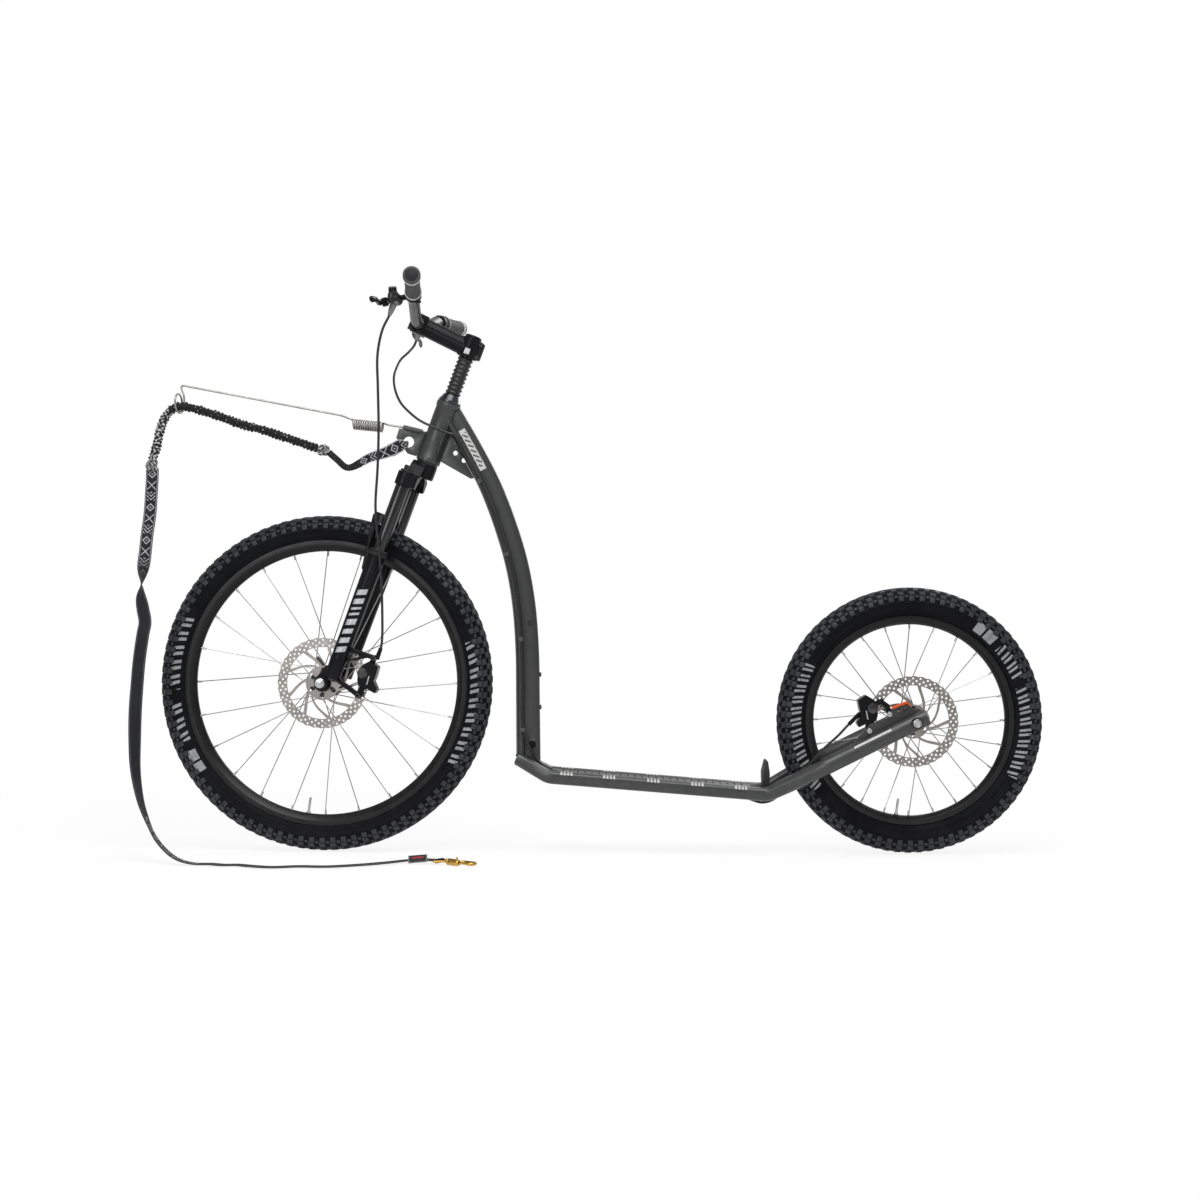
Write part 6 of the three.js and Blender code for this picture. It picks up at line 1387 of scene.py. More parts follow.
    def stitching(self, line):
        """Two rows of lockstitch where the webbing is folded back at the snap."""
        thread = finish("Pale thread", (0.42, 0.42, 0.41), (0.34, 0.34, 0.33), (0.6, 0.8),
                        sheen=0.3, grain=(3000, 0.3, 0.0001))
        unit = rough_mesh("stitch", Shape().add([(-0.45, 0, -1.25), (0.45, 0, -1.25),
                                                 (0.45, 0, 1.25), (-0.45, 0, 1.25), (0, 0.5, -0.7),
                                                 (0, 0.5, 0.7)],
                                                [(0, 1, 4), (1, 2, 5, 4), (2, 3, 5), (3, 0, 4, 5),
                                                 (3, 2, 1, 0)]))
        tail = line[-66:-8]
        meshes = []
        for off in (-8.0, 8.0):
            rows = [p + Vector((0, 0, 1.2)) for p in tail]
            sides = frames_on(rows, (0, 0, 1))
            row = [p + side * off for p, (_, side, _) in zip(rows, sides)]
            meshes.append(along_path(unit, row, 34, thread, seed=5, uneven=0.05))
        return put("webbing_stitches", merged("webbing_stitches", *meshes), "frame")

    def tag(self):
        """A small folded tag sewn under the webbing near the snap, with one plain red field."""
        dark = finish("Dark tag cloth", (0.012, 0.012, 0.013), (0.02, 0.02, 0.021), (0.7, 0.85),
                      sheen=0.2, weave=(2.2, 2.0, 0.0001))
        red = finish("Red tag cloth", (0.36, 0.016, 0.02), (0.3, 0.012, 0.016), (0.7, 0.85),
                     sheen=0.2, weave=(2.2, 2.0, 0.0001))
        high = 1.3
        place = shift(-344, -206, 2.6) @ turn(-5, "Y") @ turn(62, "X")
        shape = Shape().join(block((-18, 0, 0), (18, 15, high), 0, place))
        shape.join(block((-11, 8.2, high), (11, 11.4, high + 0.35), 1, place))
        for low, far in (((-17.4, 0.7), (-16.6, 14.4)), ((16.6, 0.7), (17.4, 14.4)),
                         ((-17.4, 0.6), (17.4, 1.3))):
            shape.join(block((*low, high), (*far, high + 0.3), 2, place))
        return make("webbing_tag", shape, GROUND, "frame", "webbing_grey",
                    [dark, red, pale_print()], bevel=0.2)


class KICKBIKE_OT_snap(Operator):
    """Makes the swivel eye, the barrel, the hook and the sliding bolt of the snap."""
    bl_idname = "kickbike.snap"
    bl_label = "Bolt Snap"

    def execute(self, context):
        metal = brass()
        bar, neck = 18, 17
        corners = [(0, -bar + 3, 0), (0, bar - 3, 0), (2.2, bar - 0.6, 0), (5.4, bar - 2.4, 0),
                   (neck, 2.6, 0), (neck + 0.8, 0, 0), (neck, -2.6, 0), (5.4, -bar + 2.4, 0),
                   (2.2, -bar + 0.6, 0)]
        closed = curve_through([*corners, corners[0], corners[1]], 150)
        eye = tube(closed, 2.0, 14)
        eye.join(lathe([(0, 0), (2.4, 0), (2.4, 6), (0, 6)], 20,
                       place=aim((neck - 1, 0, 0), (neck + 2, 0, 0))))
        make("swivel_eye_wire", eye, SNAP, "frame", "brass", [metal], ["snap_swivel_eye"],
             crease=50)
        barrel = lathe([(3.0, 21), (5.2, 21), (6.0, 21.8), (6.5, 23), (6.5, 25), (5.6, 25.8),
                        (5.6, 26.6), (6.5, 27.4), (6.5, 46), (6.1, 48), (5.2, 50.4), (4.4, 52),
                        (3.0, 52)], 36, closed=True, place=turn(-90, "Z"))
        line = [(38, 6.4, 0), (44, 10.6, 0), (50, 15, 0), (56, 17, 0), (65, 17, 0), (74, 17, 0)]
        for k in range(1, 10):
            angle = math.pi / 2 - math.pi * k / 9
            line.append((74 + 8.5 * math.cos(angle), 8.5 + 8.5 * math.sin(angle), 0))
        line.append((70.4, 0, 0))
        hook = tube(curve_through(line, 90), lambda i: 3.2 if i < 82 else 3.2 - 0.08 * (i - 82), 16)
        slot = block((32, -2.7, 0), (48.8, 2.7, 13))
        body = carve(mesh_of("snap_barrel", barrel, SNAP, [metal]),
                     mesh_of("snap_slot", slot, SNAP))
        put_merged("snap_hook_body", [body, mesh_of("snap_hook_wire", hook, SNAP, [metal])], 50,
                   "snap_hook", ["snap_body"])
        dressed("snap_bolt", metal, 0.35)
        return {"FINISHED"}


# ---------------------------------------------------------------- wheels

# For each wheel: its space, its body, and its own lengths in millimetres.
WHEELS = {"front": {"space": FRONT_WHEEL, "body": "front_wheel", "bead": 279.5, "inner": 263.0,
                    "half": 28.5, "rotor_y": -39.7, "flanges": (-22.0, 34.0), "hub_half": 49.6,
                    "print": ((247, 263), (267, 296), (74, 123)), "blocks": (234, 243)},
          "rear": {"space": REAR_WHEEL, "body": "rear_wheel", "bead": 203.0, "inner": 191.0,
                   "half": 30.0, "rotor_y": -52.0, "flanges": (-32.0, 32.0), "hub_half": 67.1,
                   "print": ((50, 68), (73, 119), (234, 299)), "blocks": (34, 46)},}


def tyre_ink(spans, blocks, low, high):
    """Plain slanted dashes and two plain blocks on the sidewall, where UV is degrees and radius."""
    def ink(tree, ground):
        angle, radius = lie_parts(tree)
        ring = inside(tree, radius, low, high)
        lean = math_node(tree, "MULTIPLY_ADD", radius, 0.055, angle)
        stroke = math_node(tree, "MODULO", lean, 5.6)
        dash = math_node(tree, "MAXIMUM", inside(tree, stroke, 0.0, 1.25),
                         inside(tree, stroke, 2.3, 3.55))
        total = None
        for start, end in spans:
            span = inside(tree, angle, start, end)
            total = span if total is None else math_node(tree, "MAXIMUM", total, span)
        start, end = blocks
        solid = math_node(tree, "MAXIMUM", inside(tree, angle, start, start + (end - start) * 0.42),
                          inside(tree, angle, start + (end - start) * 0.52, end))
        free = math_node(tree, "SUBTRACT", 1.0, inside(tree, angle, start - 1.5, end + 1.5))
        marks = math_node(tree, "MAXIMUM", math_node(tree, "MULTIPLY",
                                                     math_node(tree, "MULTIPLY", dash, total),
                                                     free), solid)
        worn = between(tree, noise_on_object(tree, 90.0, 4.0), 0.3, 0.5, 0.6, 1.0)
        share = math_node(tree, "MULTIPLY", math_node(tree, "MULTIPLY", marks, ring), worn)
        return mixed(tree, share, ground, (0.27, 0.275, 0.285))
    return ink


def both_sides(half_profile):
    """A full cross section from the profile of one side, given from bead to crown."""
    return [(r, y) for r, y in half_profile] + [(r, -y) for r, y in reversed(half_profile)]


def ring_of(profile, sides, uv_degrees=False):
    """A closed ring about Y whose UV is the angle in degrees and the radius."""
    shape = Shape()
    columns = sides + 1 if uv_degrees else sides
    corners, uvs = [], []
    for radius, height in profile:
        for j in range(columns):
            angle = 2 * math.pi * j / sides
            corners.append(polar(radius, angle, height))
            uvs.append((360.0 * j / sides, radius))
    faces = grid(len(profile), columns, wrap_rows=True, wrap_columns=not uv_degrees)
    return shape.add(corners, faces, 0, uvs)


def knob(centre_y, radius, angle, width, length, height, lean=0.0, side_tilt=0.0):
    """One tread knob: a block with drafted sides, set on the carcass at an angle round the tyre."""
    corners = []
    for level, share in ((-1.6, 1.12), (height * 0.8, 1.0), (height, 0.86)):
        for sy, sx in ((-1, -1), (1, -1), (1, 1), (-1, 1)):
            y, along = sy * width / 2 * share, sx * length / 2 * share + lean * sy
            r = radius + level
            y2 = centre_y + y * math.cos(side_tilt) + level * math.sin(side_tilt)
            r2 = radius + level * math.cos(side_tilt) - y * math.sin(side_tilt)
            theta = angle + along / max(r, 1)
            corners.append(polar(r2, theta, y2))
    faces = [(0, 1, 5, 4), (1, 2, 6, 5), (2, 3, 7, 6), (3, 0, 4, 7), (4, 5, 9, 8), (5, 6, 10, 9),
             (6, 7, 11, 10), (7, 4, 8, 11), (8, 9, 10, 11), (3, 2, 1, 0)]
    return Shape().add(corners, faces)


class KICKBIKE_OT_tyres(Operator):
    """Makes both tyres: carcass, sidewall rings and print, and the knobs of the tread."""
    bl_idname = "kickbike.tyres"
    bl_label = "Tyres"

    def execute(self, context):
        wheels = context.scene.kick_bike.wheels
        for name, tread, sectors in (("front", wheels.front_tread, wheels.front_sectors),
                                     ("rear", wheels.rear_tread, wheels.rear_sectors)):
            self.tyre(name, tread / MM, sectors, wheels.knob / MM)
        return {"FINISHED"}

    def tyre(self, name, tread, sectors, height):
        data = WHEELS[name]
        bead, half, crown = data["bead"], data["half"], tread - height
        belly = tread - half
        profile = [(bead + 0.3, 8.6), (bead + 0.3, 12.2), (bead + 4.2, 12.6), (bead + 5.8, 13.1)]
        span = belly - bead
        for share, wide in ((0.22, 0.6), (0.34, 0.69), (0.46, 0.77), (0.5, 0.795), (0.52, 0.83),
                            (0.56, 0.835), (0.58, 0.83), (0.7, 0.885), (0.82, 0.93), (0.93, 0.957),
                            (0.96, 0.985), (1.02, 0.985), (1.05, 0.965)):
            profile.append((bead + share * span, half * wide))
        for r, wide in ((0.72, 0.955), (0.55, 0.925), (0.4, 0.86), (0.27, 0.76), (0.16, 0.6),
                        (0.07, 0.4), (0.0, 0.14)):
            profile.append((crown - r * half, half * wide))
        low, high = bead + 0.3 * span + 5, belly + 5
        black = finish(name.capitalize() + " tyre rubber", (0.0042, 0.0044, 0.0054),
                       (0.0068, 0.007, 0.0084), (0.5, 0.68), grain=(1500, 0.3, 0.0002), dust=0.02,
                       specular=0.06, ink=tyre_ink(data["print"], data["blocks"], low, high))
        tread_rubber = finish("Tread rubber", (0.018, 0.019, 0.0235), (0.03, 0.0315, 0.038),
                              (0.52, 0.7), grain=(1500, 0.3, 0.0002), dust=0.08, specular=0.3)
        carcass = mesh_of(name + "_carcass", ring_of(both_sides(profile), 180, uv_degrees=True),
                          data["space"], [black], crease=50)
        unit = self.sector(crown, half, height, sectors)
        knobs = run_tree("Repeat Around Axle", rough_mesh("sector", unit), data["space"], 30,
                         Count=sectors, Step=2 * math.pi / sectors, Material=tread_rubber)
        put_merged(name + "_tyre_tread", [carcass, knobs], 38, data["body"],
                   [name + "_tyre"])

    def sector(self, crown, half, height, sectors):
        """The knobs of one row: crown, inner and tall shoulder blocks that step round the tyre."""
        step = 2 * math.pi / sectors
        shape = Shape()
        for side in (-1, 1):
            late = 0.5 if side > 0 else 0.0
            shape.join(knob(side * half * 0.16, crown - 0.2, step * (late + 0.05), half * 0.24,
                            12.5, height, 1.2 * side))
            shape.join(knob(side * half * 0.47, crown - 2.9, step * (late + 0.45), half * 0.26,
                            11.0, height * 1.05, -1.0 * side, side * 0.28))
            shape.join(knob(side * half * 0.78, crown - 9.4, step * (late + 0.02), half * 0.3, 11.5,
                            height * 1.15, 0.8 * side, side * 0.8))
            shape.join(knob(side * half * 0.94, crown - 18.5, step * (late + 0.02), half * 0.34,
                            10.0, height * 0.75, 0.0, side * 1.3))
            shape.join(knob(side * half * 0.9, crown - 14.5, step * (late + 0.52), half * 0.16, 7.0,
                            height * 0.6, 0.0, side * 1.15))
        return shape


class KICKBIKE_OT_rims(Operator):
    """Makes both rims with their spoke nipples and valves."""
    bl_idname = "kickbike.rims"
    bl_label = "Rims"

    def execute(self, context):
        silver = bright_metal()
        for name, data in WHEELS.items():
            bead, inner = data["bead"], data["inner"]
            profile = [(inner, -3.0), (inner, 3.0), (inner + 0.8, 4.6), (bead - 5.6, 13.4),
                       (bead - 4.4, 14.3), (bead + 4.6, 15.0), (bead + 5.5, 14.7),
                       (bead + 5.5, 13.4), (bead + 4.4, 13.2), (bead, 12.5), (bead - 1.2, 11.6),
                       (bead - 1.5, 9.0), (bead - 6.5, 7.0), (bead - 7.2, 0.0)]
            mirrored = profile + [(r, -y) for r, y in reversed(profile[2:-1])]
            hoop = mesh_of(name + "_hoop", ring_of(mirrored, 180), data["space"], [rim_black()],
                           crease=28)
            nipple = lathe([(0, inner - 9.5), (1.5, inner - 9.5), (1.9, inner - 9.0),
                            (1.9, inner - 1.2), (2.5, inner - 0.9), (2.5, inner + 1.0),
                            (0, inner + 1.0)], 10, place=turn(90, "X"))
            unit = Shape()
            for i in (0, 1):
                unit.join(nipple, turn(15 * i, "Y") @ turn(0.4 if i else -0.4, "X"))
            nipples = run_tree("Repeat Around Axle", rough_mesh("nipple", unit), data["space"], 40,
                               Count=12, Step=math.radians(30), Material=silver)
            valve = self.valve(inner, data["space"], silver)
            put_merged(name + "_rim_hoop", [hoop, nipples, valve], 32, data["body"],
                       [name + "_rim"])
        return {"FINISHED"}

    def valve(self, inner, space, silver):
        stem = lathe([(0, inner - 32), (1.8, inner - 32), (2.6, inner - 31), (2.6, inner - 26),
                      (2.1, inner - 25.6), (2.1, inner - 24.8), (2.6, inner - 24.4),
                      (2.6, inner - 4), (4.6, inner - 3.6), (4.6, inner - 0.6), (2.6, inner + 0.5),
                      (0, inner + 0.5)], 20, place=turn(187.5, "Y") @ turn(90, "X"))
        return mesh_of("valve", stem, space, [silver], crease=32)


class KICKBIKE_OT_hubs(Operator):
    """Makes both hubs and lays their crossed spokes."""
    bl_idname = "kickbike.hubs"
    bl_label = "Hubs and Spokes"

    def execute(self, context):
        radius = context.scene.kick_bike.wheels.spoke / MM
        for name, data in WHEELS.items():
            shell = mesh_of(name + "_shell", self.shell(data), data["space"], [black_metal()],
                            crease=30, bevel=0.35)
            spokes = run_tree("Repeat Around Axle", rough_mesh("spokes", self.spokes(data, radius)),
                              data["space"], 60, Count=6, Step=math.radians(60),
                              Material=self.spoke_steel())
            put_merged(name + "_hub_spokes", [shell, spokes], 35, data["body"],
                       [name + "_hub"])
        return {"FINISHED"}

    def spoke_steel(self):
        return finish("Stainless spokes", (0.40, 0.395, 0.39), (0.3, 0.295, 0.29), (0.18, 0.3),
                      metal=1.0, grain=(3000, 0.08, 0.00004))

    def shell(self, data):
        low, high = data["flanges"]
        end, seat = data["hub_half"], data["rotor_y"] + 0.9
        profile = [(4.9, -end), (10, -end), (10, -end + 3), (15, seat), (25.5, seat),
                   (25.5, seat + 4), (15, seat + 5.5), (15, low - 5), (20, low - 2.4),
                   (29, low - 1.6), (29, low + 1.6), (19, low + 2.4), (14, low + 8),
                   (12.5, low + 14), (12.5, high - 14), (14, high - 8), (19, high - 2.4),
                   (29, high - 1.6), (29, high + 1.6), (20, high + 2.4), (15, high + 5),
                   (13, end - 3), (10, end - 3), (10, end), (4.9, end)]
        shape = ring_of(profile, 72)
        return shape

    def spokes(self, data, radius):
        """The four spokes of one sixth of the wheel, each from its flange hole to its nipple."""
        shape = Shape()
        rim = data["inner"] - 1
        for i in range(4):
            side = 1 if i % 2 else -1
            lead = -1 if (i // 2) % 2 else 1
            rim_angle = math.radians(i * 15)
            hub_angle = rim_angle - math.radians(lead * 60)
            flange = data["flanges"][1 if side > 0 else 0]
            away = 2.4 if lead > 0 else -2.4
            hub_at = Vector(polar(24, hub_angle, flange + away))
            rim_at = Vector(polar(rim, rim_angle, side * 3))
            inner = Vector(polar(24, hub_angle, flange - away))
            way = (rim_at - hub_at).normalized()
            line = [inner, inner.lerp(hub_at, 0.6), hub_at + way * 1.6, hub_at + way * 6, rim_at]
            shape.join(tube(line, radius, 8))
            shape.join(rod(inner, inner + (inner - hub_at).normalized() * 1.1, 1.9, 10,
                           end_radius=1.2))
        return shape


class KICKBIKE_OT_rotors(Operator):
    """Makes both pierced brake rotors and their bolts."""
    bl_idname = "kickbike.rotors"
    bl_label = "Brake Rotors"

    def execute(self, context):
        steel = rotor_steel()
        for name, data in WHEELS.items():
            flat = run_tree("Pierced Disc", line_mesh("rotor outline", self.outline()), GROUND, 30,
                            Hole=2.25, Rows=3, Holes=36, Inner_Row=75.0, Row_Step=5.2, Slant=0.0873,
                            Thickness=1.8, Material=steel)
            flat.transform(Matrix.Scale(1 / MM, 4))
            flat.transform(data["space"] @ shift(0, data["rotor_y"], 0) @ turn(90, "X"))
            flat.transform(Matrix.Scale(MM, 4))
            head = rough_mesh("rotor bolt", hexagon_bolt((0, 0, 0), (0, 2.4, 0), 4.0, 1.7))
            out = data["rotor_y"] - 0.9
            seats = [(polar(22, math.radians(a), out), (0, -1, 0)) for a in range(0, 360, 60)]
            bolts = fasteners(head, seats, black_metal(), space=data["space"])
            put_merged(name + "_rotor_disc", [flat, bolts], 30, data["body"],
                       [name + "_rotor"])
        return {"FINISHED"}

    def outline(self):
        """The scalloped rim, nine swept windows, the spigot hole and six round holes."""
        rim = []
        for k in range(360):
            angle = 2 * math.pi * k / 360
            radius = 89.3 + 0.7 * math.cos(36 * (angle - 0.15))
            rim.append((*on_circle(radius, angle), 0))
        lines = [rim + [rim[0]]]
        arms = []
        for third in range(3):
            for at, lean in ((0, 24), (40, 49), (80, 30)):
                arms.append((120 * third + at, 120 * third + at - lean))
        arms.append((360 + arms[0][0], 360 + arms[0][1]))
        for (out_a, in_a), (out_b, in_b) in zip(arms, arms[1:]):
            low, high = 33.8, 71.2
            outer = [(high, out_a + 2.9 + (out_b - out_a - 5.8) * k / 12) for k in range(13)]
            steps = max(2, int((in_b - in_a) / 6))
            wide = max(1.6, in_b - in_a - 10.0)
            middle = (in_a + in_b) / 2
            inner = [(low, middle + wide / 2 - wide * k / steps) for k in range(steps + 1)]
            down, up = self.swept(outer[-1], inner[0]), self.swept(outer[0], inner[-1])[::-1]
            loop = [(*on_circle(r, math.radians(a)), 0) for r, a in (*outer, *down, *inner, *up)]
            lines.append(loop + [loop[0]])
        lines.append(self.ring(0, 0, 17.6, 48))
        for i in range(6):
            angle = math.radians(60 * i + 27)
            lines.append(self.ring(26.4 * math.cos(angle), 26.4 * math.sin(angle), 4.4, 24))
        return lines

    def swept(self, rim_end, hub_end):
        """The inner points of one side of an arm, radial at the rim and swept towards the hub."""
        (high, outer), (low, inner) = rim_end, hub_end
        return [(high + (low - high) * k / 8, outer + (inner - outer) * (k / 8) ** 1.5)
                for k in range(1, 8)]

    def ring(self, x, y, radius, count):
        loop = [(x + radius * math.cos(2 * math.pi * k / count),
                 y + radius * math.sin(2 * math.pi * k / count), 0) for k in range(count)]
        return loop + [loop[0]]


# ---------------------------------------------------------------- frame tubes


def weld_unit(radius):
    """One ripple of a weld: a low dome, wider than it is long."""
    profile = [(0, -0.5 * radius), (0.55 * radius, -0.38 * radius), (0.95 * radius, -0.1 * radius),
               (radius, 0.12 * radius), (0.8 * radius, 0.42 * radius),
               (0.4 * radius, 0.55 * radius), (0, 0.58 * radius)]
    return rough_mesh("ripple", lathe(profile, 10, axis="Z"))


def welded(lines, paint_finish, radius, pitch=2.1):
    """Ripples of weld along several lines, as one mesh."""
    meshes = []
    for k, line in enumerate(lines):
        line = [Vector(p) for p in line]
        count = max(3, int(length_of(line) / pitch))
        meshes.append(along_path(weld_unit(radius), line, count, paint_finish, seed=4 + k,
                                 uneven=0.12))
    return merged("weld", *meshes)


def ring_line(centre, axis, radius):
    """Points of a circle round an axis; the last one is the first again."""
    base = aim(centre, Vector(centre) + Vector(axis))
    steps = 48
    points = []
    for k in range(steps + 1):
        angle = math.radians(360.0 * k / steps)
        points.append(base @ Vector((radius * math.cos(angle), 0, radius * math.sin(angle))))
    return points


def softened_pairs(pairs, count):
    """The closed outline through the pairs, smoothed by a curve."""
    ring = [Vector((a, b, 0)) for a, b in pairs]
    loop = curve_through([*ring, ring[0]], count)
    return [(p.x, p.y) for p in loop[:-1]]


def down_outline(count):
    """The down tube's section as shares of its half depth and half width."""
    return softened_pairs([*DOWN_FLANK, *[(a, -b) for a, b in reversed(DOWN_FLANK)]], count)


class KICKBIKE_OT_frame(Operator):
    """Makes the head tube, the down tube and the gusset, with welds, bolts, clips and label."""
    bl_idname = "kickbike.frame"
    bl_label = "Head and Down Tubes"

    def execute(self, context):
        coat = frame_paint()
        bead = context.scene.kick_bike.frame.weld / MM
        self.head(coat)
        self.down(coat, bead)
        self.gusset(coat)
        return {"FINISHED"}

    def head(self, coat):
        profile = [(15.2, 483), (23.2, 483), (24.3, 483.8), (24.5, 485), (24.5, 491.5), (24.0, 493),
                   (23, 494.2), (23, 597.8), (24.0, 599), (24.5, 600.5), (24.5, 607), (24.3, 608.2),
                   (23.2, 609), (15.2, 609)]
        shape = Shape()
        corners = [(*on_circle(r, 2 * math.pi * j / 64), z) for r, z in profile for j in range(64)]
        shape.add(corners, grid(len(profile), 64, wrap_rows=True))
        make("head_tube_shell", shape, HEAD, "frame", "frame_black", [coat], ["head_tube"],
             crease=40)

    def down(self, coat, bead):
        # Painted shade: the down tube takes the same frame paint darkened to three quarters, so that
        # it reads as lying in shade.
        shaded_paint = frame_paint("Frame paint with painted shade", 0.76)
        steps = 120
        line = curve_through(DOWN_KNOTS, steps)
        outline = down_outline(84)

        def section(i):
            half_depth = down_depth(i / steps) / 2
            return [(-fore * half_depth, wide * DOWN_HALF_WIDTH) for fore, wide in outline]
        skin = sweep(line, section, up=(0, 1, 0))
        tube_mesh = mesh_of("down_tube_skin", skin, GROUND, [shaded_paint], crease=60)
        room = rod((0, 0, 470), (0, 0, 622), 23.2, 64)
        tube_mesh = carve(tube_mesh, mesh_of("head_room", room, HEAD))
        extras = Shape()
        for share in (0.152, 0.242):
            low, high = on_down_tube(share, 21, 0)[0], on_down_tube(share, 27, 0)[0]
            extras.join(hexagon_bolt(low, high, 4.5, 2.0), finish=1)
        plug_share, bolt_share = self.share_at(line, 213), self.share_at(line, 457)
        plug_place = aim(on_down_tube(plug_share, 8, -11)[0], on_down_tube(plug_share, 8, -12)[0])
        extras.join(lathe([(0, 0), (10.8, 0), (10.8, 1.8), (10.0, 2.5), (8.4, 2.5), (7.9, 1.7),
                           (0, 1.7)], 40, place=plug_place), finish=0)
        extras.join(lathe([(0, 1.2), (7.7, 1.2), (7.7, 2.1), (6.7, 2.8), (0, 2.8)], 40,
                          place=plug_place), finish=2)
        extras.join(hexagon_bolt(on_down_tube(bolt_share, 9.5, -11)[0],
                                 on_down_tube(bolt_share, 9.5, -14.2)[0], 4.6, 2.3), finish=1)
        for height in (246, 425, 594, 745):
            extras.join(self.clip(self.share_at(line, height)), finish=0)
        plug = finish("Plug rubber", (0.003, 0.003, 0.0032), (0.005, 0.005, 0.0052), (0.5, 0.68),
                      grain=(1800, 0.2, 0.0001), specular=0.15)
        extra_mesh = mesh_of("down_tube_fittings", extras, GROUND, [coat, black_metal(), plug],
                             crease=32)
        welds = welded(self.foot_welds() + self.head_welds(), coat, bead)
        put_merged("down_tube_body", [tube_mesh, extra_mesh, welds], 45, "frame",
                   ["down_tube"])
        self.label(line)

    def clip(self, share):
        """A small ring that holds the hose on the tube's flank."""
        along = on_down_tube(share, 0, 0)[1]
        start = hose_on_tube(share) - along * 4
        ring = ring_of([(5.2, 0), (5.2, 8), (2.75, 8), (2.75, 0)], 28)
        return Shape().join(ring, aim(start, start + along))

    def foot_welds(self):
        return [[(-167 + 46 * k / 14, side * (20.6 - 3.5 * abs(k / 14 - 0.2)), 193 - 24 * k / 14)
                 for k in range(15)] for side in (-1, 1)]

    def head_welds(self):
        """Where the down tube's two flanks meet the round of the head tube."""
        head_radius, flank = 23.4, 19.2
        ahead = math.sqrt(head_radius ** 2 - flank ** 2)
        heights = [(HEAD.inverted() @ on_down_tube(0.83 + 0.165 * k / 15, 0, 0)[0]).z
                   for k in range(16)]
        return [[HEAD @ Vector((ahead, side * flank, z)) for z in heights] for side in (-1, 1)]

    def label(self, line):
        """A bare pale label with dark slanted bars, wrapped on the tube's left flank."""
        low, high = self.share_at(line, 761), self.share_at(line, 840)
        corners = []
        steps, rows, proud = 40, 6, 0.35
        for i in range(steps + 1):
            share = low + (high - low) * i / steps
            for j in range(rows + 1):
                fore = -0.20 + 0.62 * j / rows
                out = self.skin_at(fore) * DOWN_HALF_WIDTH + proud
                corners.append(on_down_tube(share, fore * down_depth(share) / 2, -out)[0])
        shape = Shape().add(corners, grid(steps + 1, rows + 1, wrap_columns=False))
        shape.finishes = [int(1 <= j <= rows - 2 and 3 <= i <= steps - 4 and (i + j) % 5 < 2)
                          for i in range(steps) for j in range(rows)]
        ink = finish("Dark label stripe", (0.03, 0.03, 0.03), (0.04, 0.04, 0.04), (0.3, 0.4),
                     grain=(2000, 0.05, 0.00003))
        mesh = mesh_of("bare_label", shape, GROUND, [pale_print(), ink], crease=180, merge=False)
        put("bare_label", mesh, "frame")

    def skin_at(self, fore):
        """The share of the half width at a share of the half depth."""
        return next(wide + (wider - wide) * (fore - a) / (b - a)
                    for (a, wide), (b, wider) in zip(DOWN_FLANK, DOWN_FLANK[1:]) if a <= fore <= b)

    def share_at(self, line, height):
        return min(range(len(line)), key=lambda i: abs(line[i].z - height)) / (len(line) - 1)

    def gusset(self, coat):
        dressed("gusset_plate", coat, 0.8)
        corners = [(-323.6, 776.4), (-318.5, 778.5), (-281.5, 865.5), (-291.8, 866.5)]
        web = Shape().add([(x, y, z) for y in (-2.4, 2.4) for x, z in corners],
                          [(0, 1, 2, 3), (7, 6, 5, 4), (0, 4, 5, 1), (1, 5, 6, 2), (2, 6, 7, 3),
                           (3, 7, 4, 0)])
        beads = [[(-322.4 + 31.0 * k / 20, side * 3.0, 778 + 87 * k / 20) for k in range(21)]
                 for side in (-1, 1)]
        seam = merged("gusset_seam", mesh_of("web", web, GROUND, [coat], crease=35),
                      welded(beads, coat, 1.8, 1.7))
        shade(seam, 45)
        put("gusset_seam", seam, "frame")


